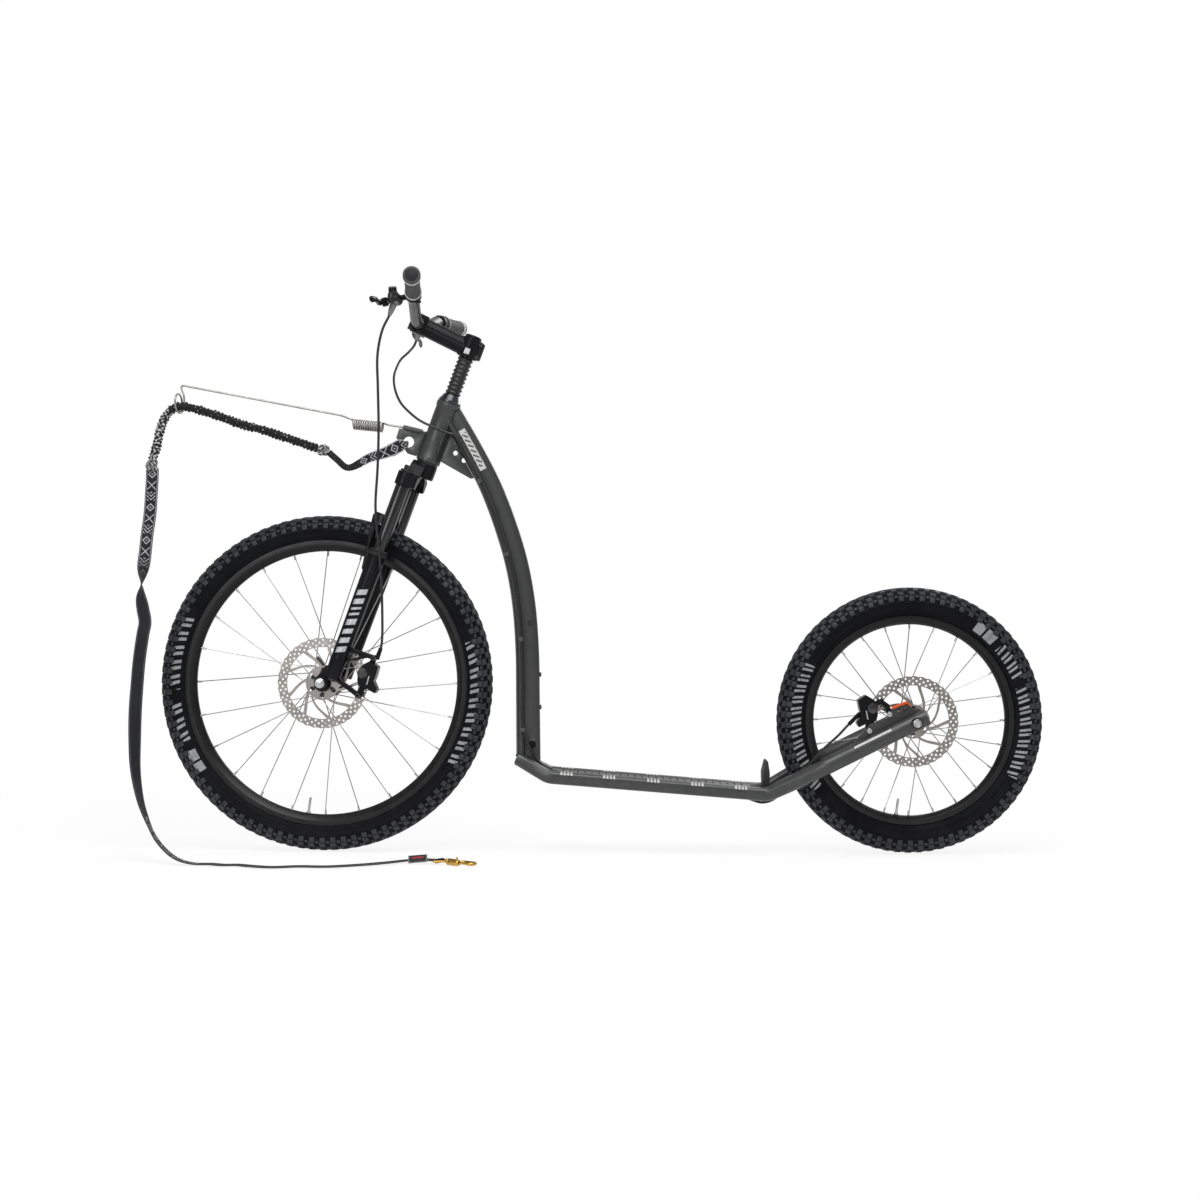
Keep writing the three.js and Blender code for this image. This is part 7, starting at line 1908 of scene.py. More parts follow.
class KICKBIKE_OT_deck(Operator):
    """Makes the deck tubes, the foot plate with studs and pale bars, the bridge and the guard."""
    bl_idname = "kickbike.deck"
    bl_label = "Deck"

    def execute(self, context):
        coat = frame_paint()
        for side, name in SIDES:
            self.deck_tube(side, name, coat)
        self.plate(coat)
        self.bridge(coat)
        self.guard()
        return {"FINISHED"}

    def deck_z(self, x):
        return 144.3 - 0.075892 * x

    def stay_z(self, x):
        return REAR_AXLE_Z - 0.49858 * (REAR_AXLE_X - x)

    def deck_tube(self, side, name, coat):
        corners = [(-163, side * 24, 185),
                   *[(x, side * DECK_Y, self.deck_z(x)) for x in (-102, 330.5)],
                   *[(x, side * STAY_Y, self.stay_z(x)) for x in (440, STAY_END_X)]]
        line = evenly(bent_line(corners, [30, 40, 36], 14), 150)
        deck_high, deck_wide, foot_radius, stay_radius = 13, 16, 13, 16

        def section(i):
            x = line[i].x
            flat = eased(held((x + 163) / 45) * (1 - held((x - 296.5) / 94)))
            start = foot_radius if x < -76 else stay_radius
            high, wide = start + (deck_high - start) * flat, start + (deck_wide - start) * flat
            return [(b, a) for a, b in oval(wide, high, 2 + 1.4 * flat, 40)]
        skin = mesh_of("deck_skin", sweep(line, section, up=(0, 1, 0)), GROUND, [coat], crease=60)
        tail, tail_z = STAY_END_X, self.stay_z(STAY_END_X)
        profile = [(tail - 9.9, tail_z - 32), (tail + 22, tail_z - 32), (tail + 22, tail_z + 5.6)]
        corner = Shape().add([(x, side * STAY_Y + y, z) for y in (-32, 32) for x, z in profile],
                             [(0, 1, 2), (5, 4, 3), (0, 3, 4, 1), (1, 4, 5, 2), (2, 5, 3, 0)])
        hole = rod(*[(REAR_AXLE_X, side * y, REAR_AXLE_Z) for y in (60, 116)], 5.6, 32)
        skin = carve(skin, mesh_of("corner", corner), mesh_of("axle_hole", hole),
                     self.down_tube_room())
        body = merged("deck_tube_" + name + "_body", skin)
        shade(body, 40)
        put("deck_tube_" + name + "_body", body, "frame", ["deck_tube_" + name])
        self.stay_stripe(side, name, line)

    def down_tube_room(self):
        line = curve_through(DOWN_KNOTS, 120)[:14]
        line[0] = line[0] - Vector((0, 0, 0.3))
        section = [(-a * 23.9, b * 19.9) for a, b in down_outline(60)]
        return mesh_of("room", sweep(line, section, up=(0, 1, 0)))

    def stay_stripe(self, side, name, line):
        """A plain pale stripe along the outer face of the stay."""
        rows = [p for p in line if 500 <= p.x <= 577]
        outward, upward, reach = Vector((0, side, 0)), Vector((-0.446, 0, 0.895)), 16.15
        corners = []
        for p in rows:
            for k in range(5):
                angle = math.radians(-9 + 18 * k / 4 + 40)
                normal = outward * math.cos(angle) + upward * math.sin(angle)
                corners.append(p + normal * reach)
        faces = grid(len(rows), 5, wrap_columns=False)
        if side > 0:
            faces = [(a, d, c, b) for a, b, c, d in faces]
        mesh = mesh_of("stay_stripe_" + name, Shape().add(corners, faces), GROUND, [pale_print()],
                       crease=180, merge=False)
        put("stay_stripe_" + name, mesh, "frame")

    def plate(self, coat):
        """The sheet with its cross ribs underneath, the rows of studs and the pale bars."""
        def top(x):
            return self.deck_z(x) + 11
        half = DECK_Y - 16 - 0.3
        edit = Shape()
        left, right = -85, 300
        corners = []
        for x in (left, right):
            for level in (0, -4):
                corners += [(x, -half, top(x) + level), (x, half, top(x) + level)]
        edit.add(corners, [(0, 1, 5, 4), (2, 6, 7, 3), (0, 2, 3, 1), (4, 5, 7, 6), (0, 4, 6, 2),
                           (1, 3, 7, 5)])
        for share in (0.14, 0.38, 0.62, 0.86):
            x = left + (right - left) * share
            under = top(x) - 3.9
            edit.join(block((x - 2, -half, under - 6), (x + 2, half, under)))
        sheet = mesh_of("plate", edit, GROUND, [coat], bevel=0.6, crease=35)
        stud = rough_mesh("stud", lathe([(0, -0.3), (2.6, -0.3), (2.4, 0.35), (1.7, 0.8),
                                         (1.5, 0.75), (1.4, 0.3), (0, 0.25)], 12))
        seats = []
        for i in range(26):
            for j in range(5):
                x = -72 + i * 14.2
                y = -24 + 12 * j + (6 if i % 2 else 0)
                if abs(y) < 30 and x < 292:
                    seats.append(((x, y, top(x)), (0.0757, 0, 0.997)))
        studs = fasteners(stud, seats, coat)
        put_merged("foot_plate_sheet", [sheet, studs, self.pale_bars()], 35, "frame",
                   ["foot_plate"])

    def pale_bars(self):
        """Five groups of pale bars on each tube: a row on its top and a row on its shoulder."""
        shape, square = Shape(), 2 / 3.4
        for x in (-66, 18, 105, 192, 278):
            for side in (-1, 1):
                for off in (-9.9, -3.3, 3.3, 9.9):
                    for first, last in ((116, 78), (66, 22)):
                        corners = []
                        for k in range(6):
                            angle = math.radians(first + (last - first) * k / 5)
                            out = math.copysign(abs(math.cos(angle)) ** square, math.cos(angle))
                            rise = math.sin(angle) ** square
                            for px in (x + off - 2.1, x + off + 2.1):
                                corners.append((px, side * (DECK_Y + 16.22 * out),
                                                self.deck_z(px) + 13.22 * rise))
                        faces = grid(6, 2, wrap_columns=False)
                        if side < 0:
                            faces = [tuple(reversed(face)) for face in faces]
                        shape.add(corners, faces)
        mesh = mesh_of("pale_bars", shape, GROUND, [pale_print()], merge=False)
        edit = bmesh.new()
        edit.from_mesh(mesh)
        for face in edit.faces:
            if face.normal.z < 0:
                face.normal_flip()
        edit.to_mesh(mesh)
        edit.free()
        return mesh

    def bridge(self, coat):
        x = 318
        z = self.deck_z(x) - 1
        mesh = mesh_of("bridge", rod((x, -33.7, z), (x, 33.7, z), 9, 40), GROUND, [coat])
        lines = [ring_line((x, side * 33.0, z), (0, 1, 0), 9.6) for side in (-1, 1)]
        put_merged("rear_bridge_tube", [mesh, welded(lines, coat, 1.8, 1.7)], 45, "frame",
                   ["rear_bridge"])

    def guard(self):
        """The rubber flap in front of the rear tyre."""
        dressed("heel_guard", rubber(), 1.6)


class KICKBIKE_OT_rear_end(Operator):
    """Makes the dropouts, the lock strip, the rear axle and its release lever."""
    bl_idname = "kickbike.rear_end"
    bl_label = "Rear Dropouts"

    def execute(self, context):
        coat = frame_paint()
        for _, name in SIDES:
            dressed("dropout_" + name, coat, 0.8)
        dressed("axle_lock_plate", orange_metal(), 0.6)
        shape = Shape()
        for profile, tone in (([(0, -113.3), (5.2, -113.3), (6.9, -115.3), (7.8, -114.9),
                                (8.4, -114), (8.4, -109), (0, -109)], 0),
                              ([(0, -109.4), (10.6, -109.4), (11.5, -108.5), (11.5, -105),
                                (11, -104.3), (0, -104.3)], 1),
                              ([(0, -104.4), (5.3, -104.4), (5.3, -67.4), (4.6, -67.4), (4.6, 67.4),
                                (5.3, 67.4), (5.3, 104.4), (0, 104.4)], 0),
                              ([(0, 104.3), (11, 104.3), (11.5, 105), (11.5, 108.5), (10.9, 109.3),
                                (0, 109.3)], 1)):
            shape.join(lathe(profile, 56, place=REAR_WHEEL), finish=tone)
        make("rear_axle_turned", shape, GROUND, "frame", "bright_metal",
             [bright_metal(), black_metal()], ["rear_axle"], crease=30)
        dressed("rear_qr_lever", black_metal(), 0.9)
        self.bolts()
        return {"FINISHED"}

    def bolts(self):
        """The two bright bolts that hold the rear caliper's adapter."""
        head = rough_mesh("mount bolt", hexagon_bolt((0, 0, 0), (0, 3.4, 0), 5.3, 2.5))
        seats = [((529, -71.6, 247), (0, -1, 0)), ((568.2, -71.6, 279.8), (0, -1, 0))]
        put("mount_bolts", fasteners(head, seats, bright_metal()), "frame")


# ---------------------------------------------------------------- fork


def on_leg(side, height=0):
    """The space of one fork leg, at a height on it."""
    return shift(LEG_X, side * LEG_Y, height)


def leg_radius(height):
    """The lower leg widens upwards."""
    return 15.5 + (17 - 15.5) * (height - 17) / (276 - 17)


def bar_on_leg(low, thick, lean):
    """One plain slanted bar wrapped on the outer face of the left leg."""
    corners, steps, half_degrees = [], 8, 34
    for height in (low, low + thick):
        for k in range(steps + 1):
            share = k / steps * 2 - 1
            angle = math.radians(half_degrees * share)
            level = height + lean * share
            reach = leg_radius(level) + 0.3
            corners.append((LEG_X + reach * math.sin(angle), -LEG_Y - reach * math.cos(angle),
                            level))
    return Shape().add(corners, grid(2, steps + 1, wrap_columns=False))


class KICKBIKE_OT_fork(Operator):
    """Makes the fork: crown, dark upper tubes, cast lower legs, knobs, axle and release lever."""
    bl_idname = "kickbike.fork"
    bl_label = "Fork"

    def execute(self, context):
        self.lowers()
        self.crown()
        for side, name in SIDES:
            make("stanchion_" + name + "_tube", rod((LEG_X, side * LEG_Y, 140.1),
                                                    (LEG_X, side * LEG_Y, 448.9), 14, 72,
                                                    round_off=0.8), STEER, "steering", "dark_tube",
                 [dark_tube()], ["stanchion_" + name], crease=40)
        self.knobs()
        self.axle()
        return {"FINISHED"}

    def lowers(self):
        """Legs and arch cast as one, with wiper seals, foot nuts, bolts and plain silver bars."""
        forms, trims = Shape(), Shape()
        for side in (-1, 1):
            forms.join(lathe([(0, 17.2), (13.4, 17.2), (15.3, 18.6), (15.75, 22), (17.2, 276),
                              (17.2, 278), (0, 278)], 64, axis="Z", place=on_leg(side)))
            forms.join(lathe([(0, 44), (15.8, 44), (16.6, 52), (16.6, 58), (15.8, 66), (0, 66)], 64,
                             axis="Z", place=on_leg(side)))
            trims.join(lathe([(14.4, 274.5), (17.7, 274.5), (18.6, 275.4), (18.6, 280.6),
                              (17.6, 281.4), (17.6, 282.6), (18.5, 283.4), (18.5, 285.2),
                              (17.4, 286.4), (14.4, 286.8)], 64, axis="Z", closed=True,
                             place=on_leg(side)))
        trims.join(hexagon_bolt((LEG_X, -LEG_Y, 17.5), (LEG_X, -LEG_Y, 12), 7.5, 3.0, finish=1))
        for x, z in ((45, 83), (41, 3)):
            trims.join(hexagon_bolt((x, -52, z), (x, -66, z), 5.0, 2.4, finish=1))
        trim_mesh = mesh_of("seals", trims, STEER, [rubber(), black_metal()], crease=32)
        bars = Shape()
        for k, (thick, lean) in enumerate(((10.5, 4), (10, 4), (9, 4), (11, 4), (4.5, 4), (4.5, 4),
                                           (10, 4), (10, 4))):
            bars.join(bar_on_leg(72 + sum((16.5, 16.5, 15.5, 17, 10, 10, 16, 16)[:k]) * 1.18,
                                 thick * 1.1, lean))
        silver = finish("Silver bar print", (0.48, 0.49, 0.50), (0.36, 0.37, 0.38), (0.3, 0.42),
                        metal=0.3, grain=(1800, 0.1, 0.00005), drift=90)
        bar_mesh = mesh_of("bars", bars, STEER, [silver], crease=180, merge=False)
        cast("fork_lowers_cast", "fork_lowers", forms, STEER, 1.5, 3, (trim_mesh, bar_mesh),
             self.lean_arch)

    def lean_arch(self, place):
        """Thins the arch's feet in towards the legs, so that it leans forward above the seals."""
        leg_front, leg_top, full_height = -37, 284, 350
        if place.x > leg_front or place.z < 200:
            return place
        if place.z > leg_top:
            share = min(1, 0.37 + 0.63 * (place.z - leg_top) / (full_height - leg_top))
        else:
            share = max(0.04, 0.37 - 0.0075 * (leg_top - place.z))
        return Vector((leg_front + (place.x - leg_front) * share, place.y, place.z))

    def crown(self):
        """The forged crown, with a blended boss round the steerer and two sleeves."""
        forms = Shape()
        forms.join(lathe([(14.8, 452), (20.5, 452), (22.3, 454), (22.3, 478), (20.8, 479.9),
                          (14.8, 479.9)], 64, axis="Z", closed=True))
        for side in (-1, 1):
            forms.join(lathe([(14.6, 420.7), (17.0, 420.7), (18.0, 422), (18.0, 447), (16.8, 448.9),
                              (14.6, 448.9)], 64, axis="Z", closed=True, place=on_leg(side)))
        race = lathe([(14.6, 479.5), (21.4, 479.5), (21.8, 480.2), (21.8, 482.2), (21.2, 482.7),
                      (14.6, 482.7)], 64, axis="Z", closed=True)
        race_mesh = mesh_of("race", race, STEER, [black_metal()], crease=32)
        cast("fork_crown_forged", "fork_crown", forms, STEER, 1.1, 4, (race_mesh,))

    def knobs(self):
        ribbed = [(0, 0), (14.2, 0), (15, 0.8), (15, 3.4), (14.2, 4), (10.2, 4.2), (9.8, 5.2)]
        for name, node, body, side in (("air_cap_turned", "air_cap", "steering", -1),
                                       ("lockout_knob_turned", "lockout_knob", "lockout", 1)):
            place = on_leg(side, 449.3)
            shape = lathe([*ribbed, (9.8, 12.4), (8.8, 13.6), (5, 13.7), (4.4, 13.0), (0, 13.0)],
                          48, axis="Z", place=place)
            shape.join(self.ribs(18, [(0, 5.6), (0.9, 5.9), (0.9, 11.8), (0, 12.1)], 9.6, place))
            if side > 0:
                tab = [(6, -3.6), (17.5, -2.6), (19, 0), (17.5, 2.6), (6, 3.6)]
                shape.join(Shape().add([(x, y, z) for z in (4.2, 9) for x, y in tab],
                                       [(4, 3, 2, 1, 0), (5, 6, 7, 8, 9),
                                        *[(k, (k + 1) % 5, 5 + (k + 1) % 5,
                                           5 + k) for k in range(5)]], 0, place=place))
            make(name, shape, STEER, body, "black_metal", [black_metal()], [node], crease=35)
        shape = lathe([(0, 16.6), (6.9, 16.6), (7, 16.2), (7, 11), (6.2, 9.2), (5.6, 7.8),
                       (0, 7.8)], 40, axis="Z", place=on_leg(1))
        shape.join(self.ribs(16, [(0, 10.6), (0.7, 10.9), (0.7, 15.6), (0, 15.9)], 6.7, on_leg(1)))
        make("rebound_knob_turned", shape, STEER, "rebound", "red_knob", [red_knob()],
             ["rebound_knob"], crease=35)

    def ribs(self, count, profile, reach, place):
        """Thin upright ribs round a knob."""
        shape = Shape()
        for k in range(count):
            shape.join(lathe(profile, 8, axis="Z", place=place @ turn(360 / count * k, "Z")
                             @ shift(reach, 0, 0)))
        return shape

    def axle(self):
        """The front axle with a black ring and bright domed cap, and its release lever."""
        profile = [(0, -71.2), (6.4, -71.2), (7.2, -70.9), (8.6, -70.9), (9.4, -70.2), (9.75, -69),
                   (9.75, -65.2)]
        cap = lathe([*profile, (0, -65.2)], 56)
        ring = lathe([(0, -65.4), (10.4, -65.4), (11.3, -64.9), (11.5, -63.8), (11.5, -59),
                      (10.9, -58.4), (0, -58.4)], 56)
        rest = lathe([(0, -58.5), (4.8, -58.5), (4.8, 58.5), (9.4, 58.5), (9.75, 59.2),
                      (9.75, 64.6), (9.2, 65.2), (0, 65.2)], 48)
        shape = Shape().join(cap, finish=0).join(ring, finish=1).join(rest, finish=0)
        make("front_axle_turned", shape, STEER @ shift(FRONT_AXLE_X, 0, 0), "lowers",
             "bright_metal", [bright_metal(), black_metal()], ["front_axle"], crease=30)
        dressed("front_qr_lever", black_metal(), 1.0)


# ---------------------------------------------------------------- cockpit


def bar_point(side, y):
    """A place on the outer run of the bar, between its bend and its end."""
    bend, end = [Vector((x, side * out, z)) for x, out, z in (BAR_BEND, BAR_END)]
    return bend.lerp(end, (y - BAR_BEND[1]) / (BAR_END[1] - BAR_BEND[1]))


class KICKBIKE_OT_steering(Operator):
    """Makes the headset cover, the ribbed boot, the stem with its bolts, and the top cap."""
    bl_idname = "kickbike.steering"
    bl_label = "Headset and Stem"

    def execute(self, context):
        cover = lathe([(14.5, 609.4), (22.4, 609.4), (23, 610), (23, 613.3), (22.2, 613.9),
                       (16.6, 625.2), (15.8, 625.9), (14.5, 625.9)], 64, axis="Z", closed=True)
        cover_metal = finish("Polished black cover", (0.03, 0.032, 0.04), (0.04, 0.043, 0.052),
                             (0.12, 0.24), metal=0.85, grain=(2500, 0.05, 0.00004), coat=0.5)
        make("headset_cover_turned", cover, STEER, "steering", "black_metal", [cover_metal],
             ["headset_cover"], crease=30)
        tube_shape = lathe([(0, 455.4), (13.6, 455.4), (14.3, 456.2), (14.3, 624.8), (11, 625),
                            (11, 745.2), (10.4, 745.7), (0, 745.7)], 56, axis="Z")
        make("steerer_turned", tube_shape, STEER, "steering", "bright_metal", [bright_metal()],
             ["steerer_tube"], crease=30)
        self.boot()
        self.stem()
        return {"FINISHED"}

    def boot(self):
        """The ribbed rubber boot: round crests with narrow grooves between them."""
        ribs, low, high = 9, 626.4, 705.6
        rib_steps, groove_radius, rib_depth = 9, 11.9, 3.9
        pitch = (high - low) / ribs
        outer = [(11.3, low), (14.4, low)]
        for i in range(ribs):
            for k in range(rib_steps):
                share = (k + 0.5) / rib_steps
                swell = math.sin(math.pi * share) ** 0.55
                outer.append((groove_radius + rib_depth * swell,
                              low + pitch * (i + 0.1 + 0.8 * share)))
        outer += [(14.4, high), (11.3, high)]
        skin = finish("Boot rubber", (0.006, 0.006, 0.0065), (0.009, 0.009, 0.0095), (0.32, 0.46),
                      grain=(1600, 0.2, 0.0001), specular=0.5)
        make("ribbed_boot", lathe(outer, 56, axis="Z", closed=True), STEER, "steering",
             "rubber_black", [skin], ["bellows_boot"], crease=60)

    def stem(self):
        """The stem run together from clamp, tube and cradle, with two lugs behind and its bolts."""
        forms, bolts = Shape(), Shape()
        forms.join(rod((-6, 0, STEM_Z), (-97, 0, 735.3), 18.1, 64))
        forms.join(lathe([(11.6, 706.3), (19.2, 706.3), (20.2, 707.4), (20.2, 744.6), (19.2, 745.7),
                          (11.6, 745.7)], 64, axis="Z", closed=True))
        for z in (713.2, 738.8):
            forms.join(rod((21, -8.4, z), (21, 8.4, z), 6.0, 32, round_off=1.2))
            bolts.join(hexagon_bolt((21, -7, z), (21, -11.5, z), 4.2, 2.0))
            bolts.join(hexagon_bolt((21, 7, z), (21, 10.5, z), 4.2, 2.0))
        bolt_mesh = mesh_of("stem_bolts", bolts, STEER, [black_metal()], crease=30)
        rows, columns = 6, 6
        corners = []
        for i in range(rows + 1):
            for j in range(columns + 1):
                angle = math.radians(-14 + 30 * j / columns)
                corners.append((20.55 * math.sin(angle), -20.55 * math.cos(angle),
                                712 + 11.5 * i / rows))
        square = Shape().add(corners, grid(rows + 1, columns + 1, wrap_columns=False))
        print_mesh = mesh_of("stem_square", square, STEER, [pale_print()], crease=180, merge=False)
        cast("stem_forged", "stem", forms, STEER, 0.9, 3, (bolt_mesh, print_mesh))
        place = shift(BAR_X, 0, BAR_Z) @ turn(math.degrees(math.atan2(BAR_Z - STEM_Z, -BAR_X)), "Y")
        heads = Shape()
        for y in (-14, 14):
            for z in (-15.6, 15.6):
                heads.join(hexagon_bolt((-12.5, y, z), (-16.6, y, z), 3.6, 1.8), place)
        plate = rounded("faceplate", "stem_faceplate", cast_black(), 1.6, 30, 3, 40)
        head_mesh = mesh_of("faceplate_bolts", heads, STEER, [black_metal()], crease=30)
        whole = merged("stem_faceplate_bolted", plate, head_mesh)
        put("stem_faceplate_bolted", whole, "steering", ["stem_faceplate"])
        cap = lathe([(0, 746.4), (16.4, 746.4), (17, 747), (17, 749.6), (16.2, 751.2),
                     (14.6, 752.2), (6.2, 752.2), (5.4, 750.4), (0, 750.2)], 56, axis="Z")
        make("top_cap_turned", cap, STEER, "steering", "black_metal", [cast_black()],
             ["stem_top_cap"], crease=32)


class KICKBIKE_OT_bars(Operator):
    """Makes the bar and the two ribbed grips."""
    bl_idname = "kickbike.bars"
    bl_label = "Bar and Grips"

    def execute(self, context):
        satin = finish("Satin grey bar", (0.105, 0.105, 0.108), (0.085, 0.085, 0.088), (0.3, 0.42),
                       metal=0.6, grain=(2400, 0.1, 0.00006), worn=((0.3, 0.3, 0.3), 0.2))
        left = [(x, -out, z) for x, out, z in (BAR_END, BAR_BEND, (BAR_X, 48, BAR_Z))]
        corners = left + [(x, -y, z) for x, y, z in reversed(left)]
        line = evenly(bent_line(corners, [26, 30, 30, 26], 16), 260)

        def radius(i):
            return 11.1 + 1.6 * eased(held((34 - abs(line[i].y)) / 8))
        make("bar_bent", tube(line, radius, 40), STEER, "steering", "black_metal", [satin],
             ["handlebar"], crease=40)
        for side, name in SIDES:
            self.grip(side, name)
        return {"FINISHED"}

    def grip(self, side, name):
        """A ribbed sleeve between two collars with thin pale rings, and a round end disc."""
        start, end = bar_point(side, 186), bar_point(side, 317)
        length = (end - start).length
        sleeve = [(11.2, 0.2), (15.6, 0.2), (16.6, 1.2), (16.6, 6.6), (16.0, 7.4), (15.2, 8.2)]
        ribs = 34
        for k in range(ribs):
            low = 8.8 + (length - 15.8) * k / ribs
            share = k / (ribs - 1) * 2 - 1
            base = 14.5 + 0.75 * share * share
            step = (length - 15.8) / ribs
            sleeve += [(base - 0.35, low), (base, low + 0.25 * step), (base, low + 0.7 * step),
                       (base - 0.35, low + 0.95 * step)]
        tail = length - 6.4
        sleeve += [(15.3, tail), (16.6, tail + 0.8), (16.6, length + 1.0), (15.8, length + 2.0),
                   (13.0, length + 2.2), (12.6, length + 1.6), (0, length + 1.6), (0, length + 0.4),
                   (11.2, length + 0.4)]
        place = aim(start, end)
        grey = finish("Grip rubber", (0.044, 0.044, 0.045), (0.058, 0.058, 0.06), (0.55, 0.72),
                      grain=(1400, 0.3, 0.0002), specular=0.35)
        pale = finish("Pale grip ring", (0.62, 0.62, 0.63), (0.54, 0.54, 0.55), (0.4, 0.55),
                      grain=(1800, 0.1, 0.00006))
        dark = finish("Grip end disc", (0.011, 0.011, 0.013), (0.016, 0.016, 0.018), (0.45, 0.6),
                      grain=(1600, 0.2, 0.0001), specular=0.2)
        shape = lathe(sleeve, 56, closed=True, place=place)
        for low in (7.0, length - 7.2, length - 15.0):
            shape.join(lathe([(14.4, low), (16.6, low + 0.1), (16.95, low + 1.0), (16.6, low + 1.9),
                              (14.4, low + 2.0)], 56, closed=True, place=place), finish=1)
        shape.join(lathe([(0, length + 1.2), (12.3, length + 1.2), (12.3, length + 1.75),
                          (11.4, length + 2.1), (0, length + 2.1)], 56, place=place), finish=2)
        make("grip_" + name + "_sleeve", shape, STEER, "steering", "rubber_black",
             [grey, pale, dark], ["grip_" + name], crease=50)


class KICKBIKE_OT_brakes(Operator):
    """Makes the brake bodies and levers on the bar, and the calipers with their pads."""
    bl_idname = "kickbike.brakes"
    bl_label = "Brakes"

    def execute(self, context):
        for side, name in SIDES:
            self.body(side, name)
            self.lever(side, name)
        self.calipers()
        return {"FINISHED"}

    def body(self, side, name):
        """The clamp, the cylinder and the reservoir run together, with a grey cap and hose boot."""
        forms = Shape()
        forms.join(rod((-137, side * 151, 752), (-137, side * 202, 752), 11.2, 40, round_off=2))
        forms.join(rod((-141, side * 190, 756), (-145.6, side * 190, 766.6), 8.2, 32,
                       round_off=1.0))
        grey = finish("Grey fitting", (0.20, 0.20, 0.205), (0.16, 0.16, 0.165), (0.3, 0.44),
                      metal=0.6, grain=(2200, 0.1, 0.00006))
        trims = Shape()
        cap_place = aim((-145.6, side * 190, 766.4), (-146.6, side * 190, 768.7))
        trims.join(lathe([(0, 0), (7.4, 0), (8.0, 0.7), (8.0, 2.2), (7.3, 2.9), (3.0, 2.9),
                          (2.6, 2.3), (0, 2.3)], 32, place=cap_place))
        boot = [(3.3, 0), (7.2, 0), (7.4, 1.0), (6.9, 2.2), (6.2, 9.5), (4.2, 21), (3.5, 23.9),
                (3.3, 23.9)]
        boot_place = aim((-140, side * 160, 742.2), (-140, side * 160, 718.2))
        trims.join(lathe(boot, 32, closed=True, place=boot_place))
        trims.join(hexagon_bolt((-137, side * 202, 752), (-137, side * 203, 752), 6.0, 2.4,
                                finish=1))
        clamp = bar_point(side, 166)
        trims.join(hexagon_bolt(clamp + Vector((14, 0, -6)), clamp + Vector((16.5, 0, -10)), 3.6,
                                1.8, finish=1))
        trim_mesh = mesh_of("brake_trims", trims, STEER, [grey, black_metal()], crease=32)
        cast("brake_body_" + name + "_cast", "brake_body_" + name, forms, STEER, 0.8, 2,
             (trim_mesh,))

    def lever(self, side, name):
        """The knuckle of the CAD lever with a full, rounded blade that swells at its tip."""
        node = "brake_lever_" + name
        knuckle = rounded("knuckle", node, cast_black(), 0.8, 25, 3, 50, plain_faces=False)
        shares = [(-0.05, 0.10, -0.01), (-0.08, 0.3, -0.03), (-0.045, 0.6, -0.06),
                  (-0.05, 0.84, -0.085), (-0.1, 1.0, -0.1)]
        steps, reach = 60, 113
        line = curve_through([(a * reach, side * b * reach, c * reach) for a, b, c in shares],
                             steps)

        def section(i):
            share = i / steps
            tip = max(0.0, (share - 0.93) / 0.07)
            end = math.sqrt(max(0.0, 1 - tip * tip)) * 0.98 + 0.02
            start = math.sqrt(min(1.0, (share + 0.004) / 0.04))
            swell = (1 + 0.25 * max(0.0, (share - 0.78) / 0.22)) * end * start
            return oval(3.0 * (1.1 - 0.25 * share) * swell, 6.4 * (1 - 0.18 * share) * swell, 2.6,
                        24)
        blade = mesh_of("blade", sweep(line, section, up=(0, 0, 1)),
                        STEER @ shift(-153, side * 178, 738) @ turn(-36.2, "Y"), [cast_black()],
                        crease=60)
        put(node + "_blade", merged("lever", knuckle, blade), NODE_BODY[node],
            [node])

    def calipers(self):
        """The calipers with a plain silver slash and bright bolts, and the pads' backing plates."""
        silver = bright_metal()
        for node, space, centre, degrees, plane, mirror, hose in (
                ("front_caliper", STEER, (FRONT_AXLE_X, 0), 26.9, -39.7, -1,
                 ((49, -45.9, 106), (50, -45.5, 82))),
                ("rear_caliper", GROUND, (REAR_AXLE_X, REAR_AXLE_Z), 168.5, -52.0, 1,
                 ((490, -56.4, 259), (512, -54.5, 281)))):
            base = space @ (shift(centre[0], plane, centre[1]) @ turn(-degrees, "Y"))
            trims = Shape()
            slash = Shape().add([(95, -15.6, mirror * -2), (97.6, -15.6, mirror * -3),
                                 (91.6, -15.6, mirror * 13), (88.8, -15.6, mirror * 14)],
                                [(0, 1, 2, 3)])
            trims.join(slash, finish=0)
            trims.join(lathe([(0, 0), (9.8, 0), (10.3, 0.5), (10.3, 1.0), (9.0, 1.6), (0, 1.6)], 36,
                             place=aim((84, -14.8, mirror * -10), (84, -16.6, mirror * -10))),
                       finish=1)
            trims.join(hexagon_bolt((106, -6, mirror * 22), (106, -12, mirror * 22), 3.4, 1.7,
                                    finish=1))
            trim_mesh = mesh_of("caliper_trims", trims, base, [silver, black_metal()], crease=32,
                                merge=False)
            collar = rod(*(base.inverted() @ space @ Vector(end) for end in hose), 4.1, 28)
            cast(node + "_cast", node, collar, base, 0.8, 2, (trim_mesh,))
        for end in ("front", "rear"):
            for place in ("outer", "inner"):
                dressed(end + "_pad_" + place, lining(), 0.4)


# ---------------------------------------------------------------- antenna


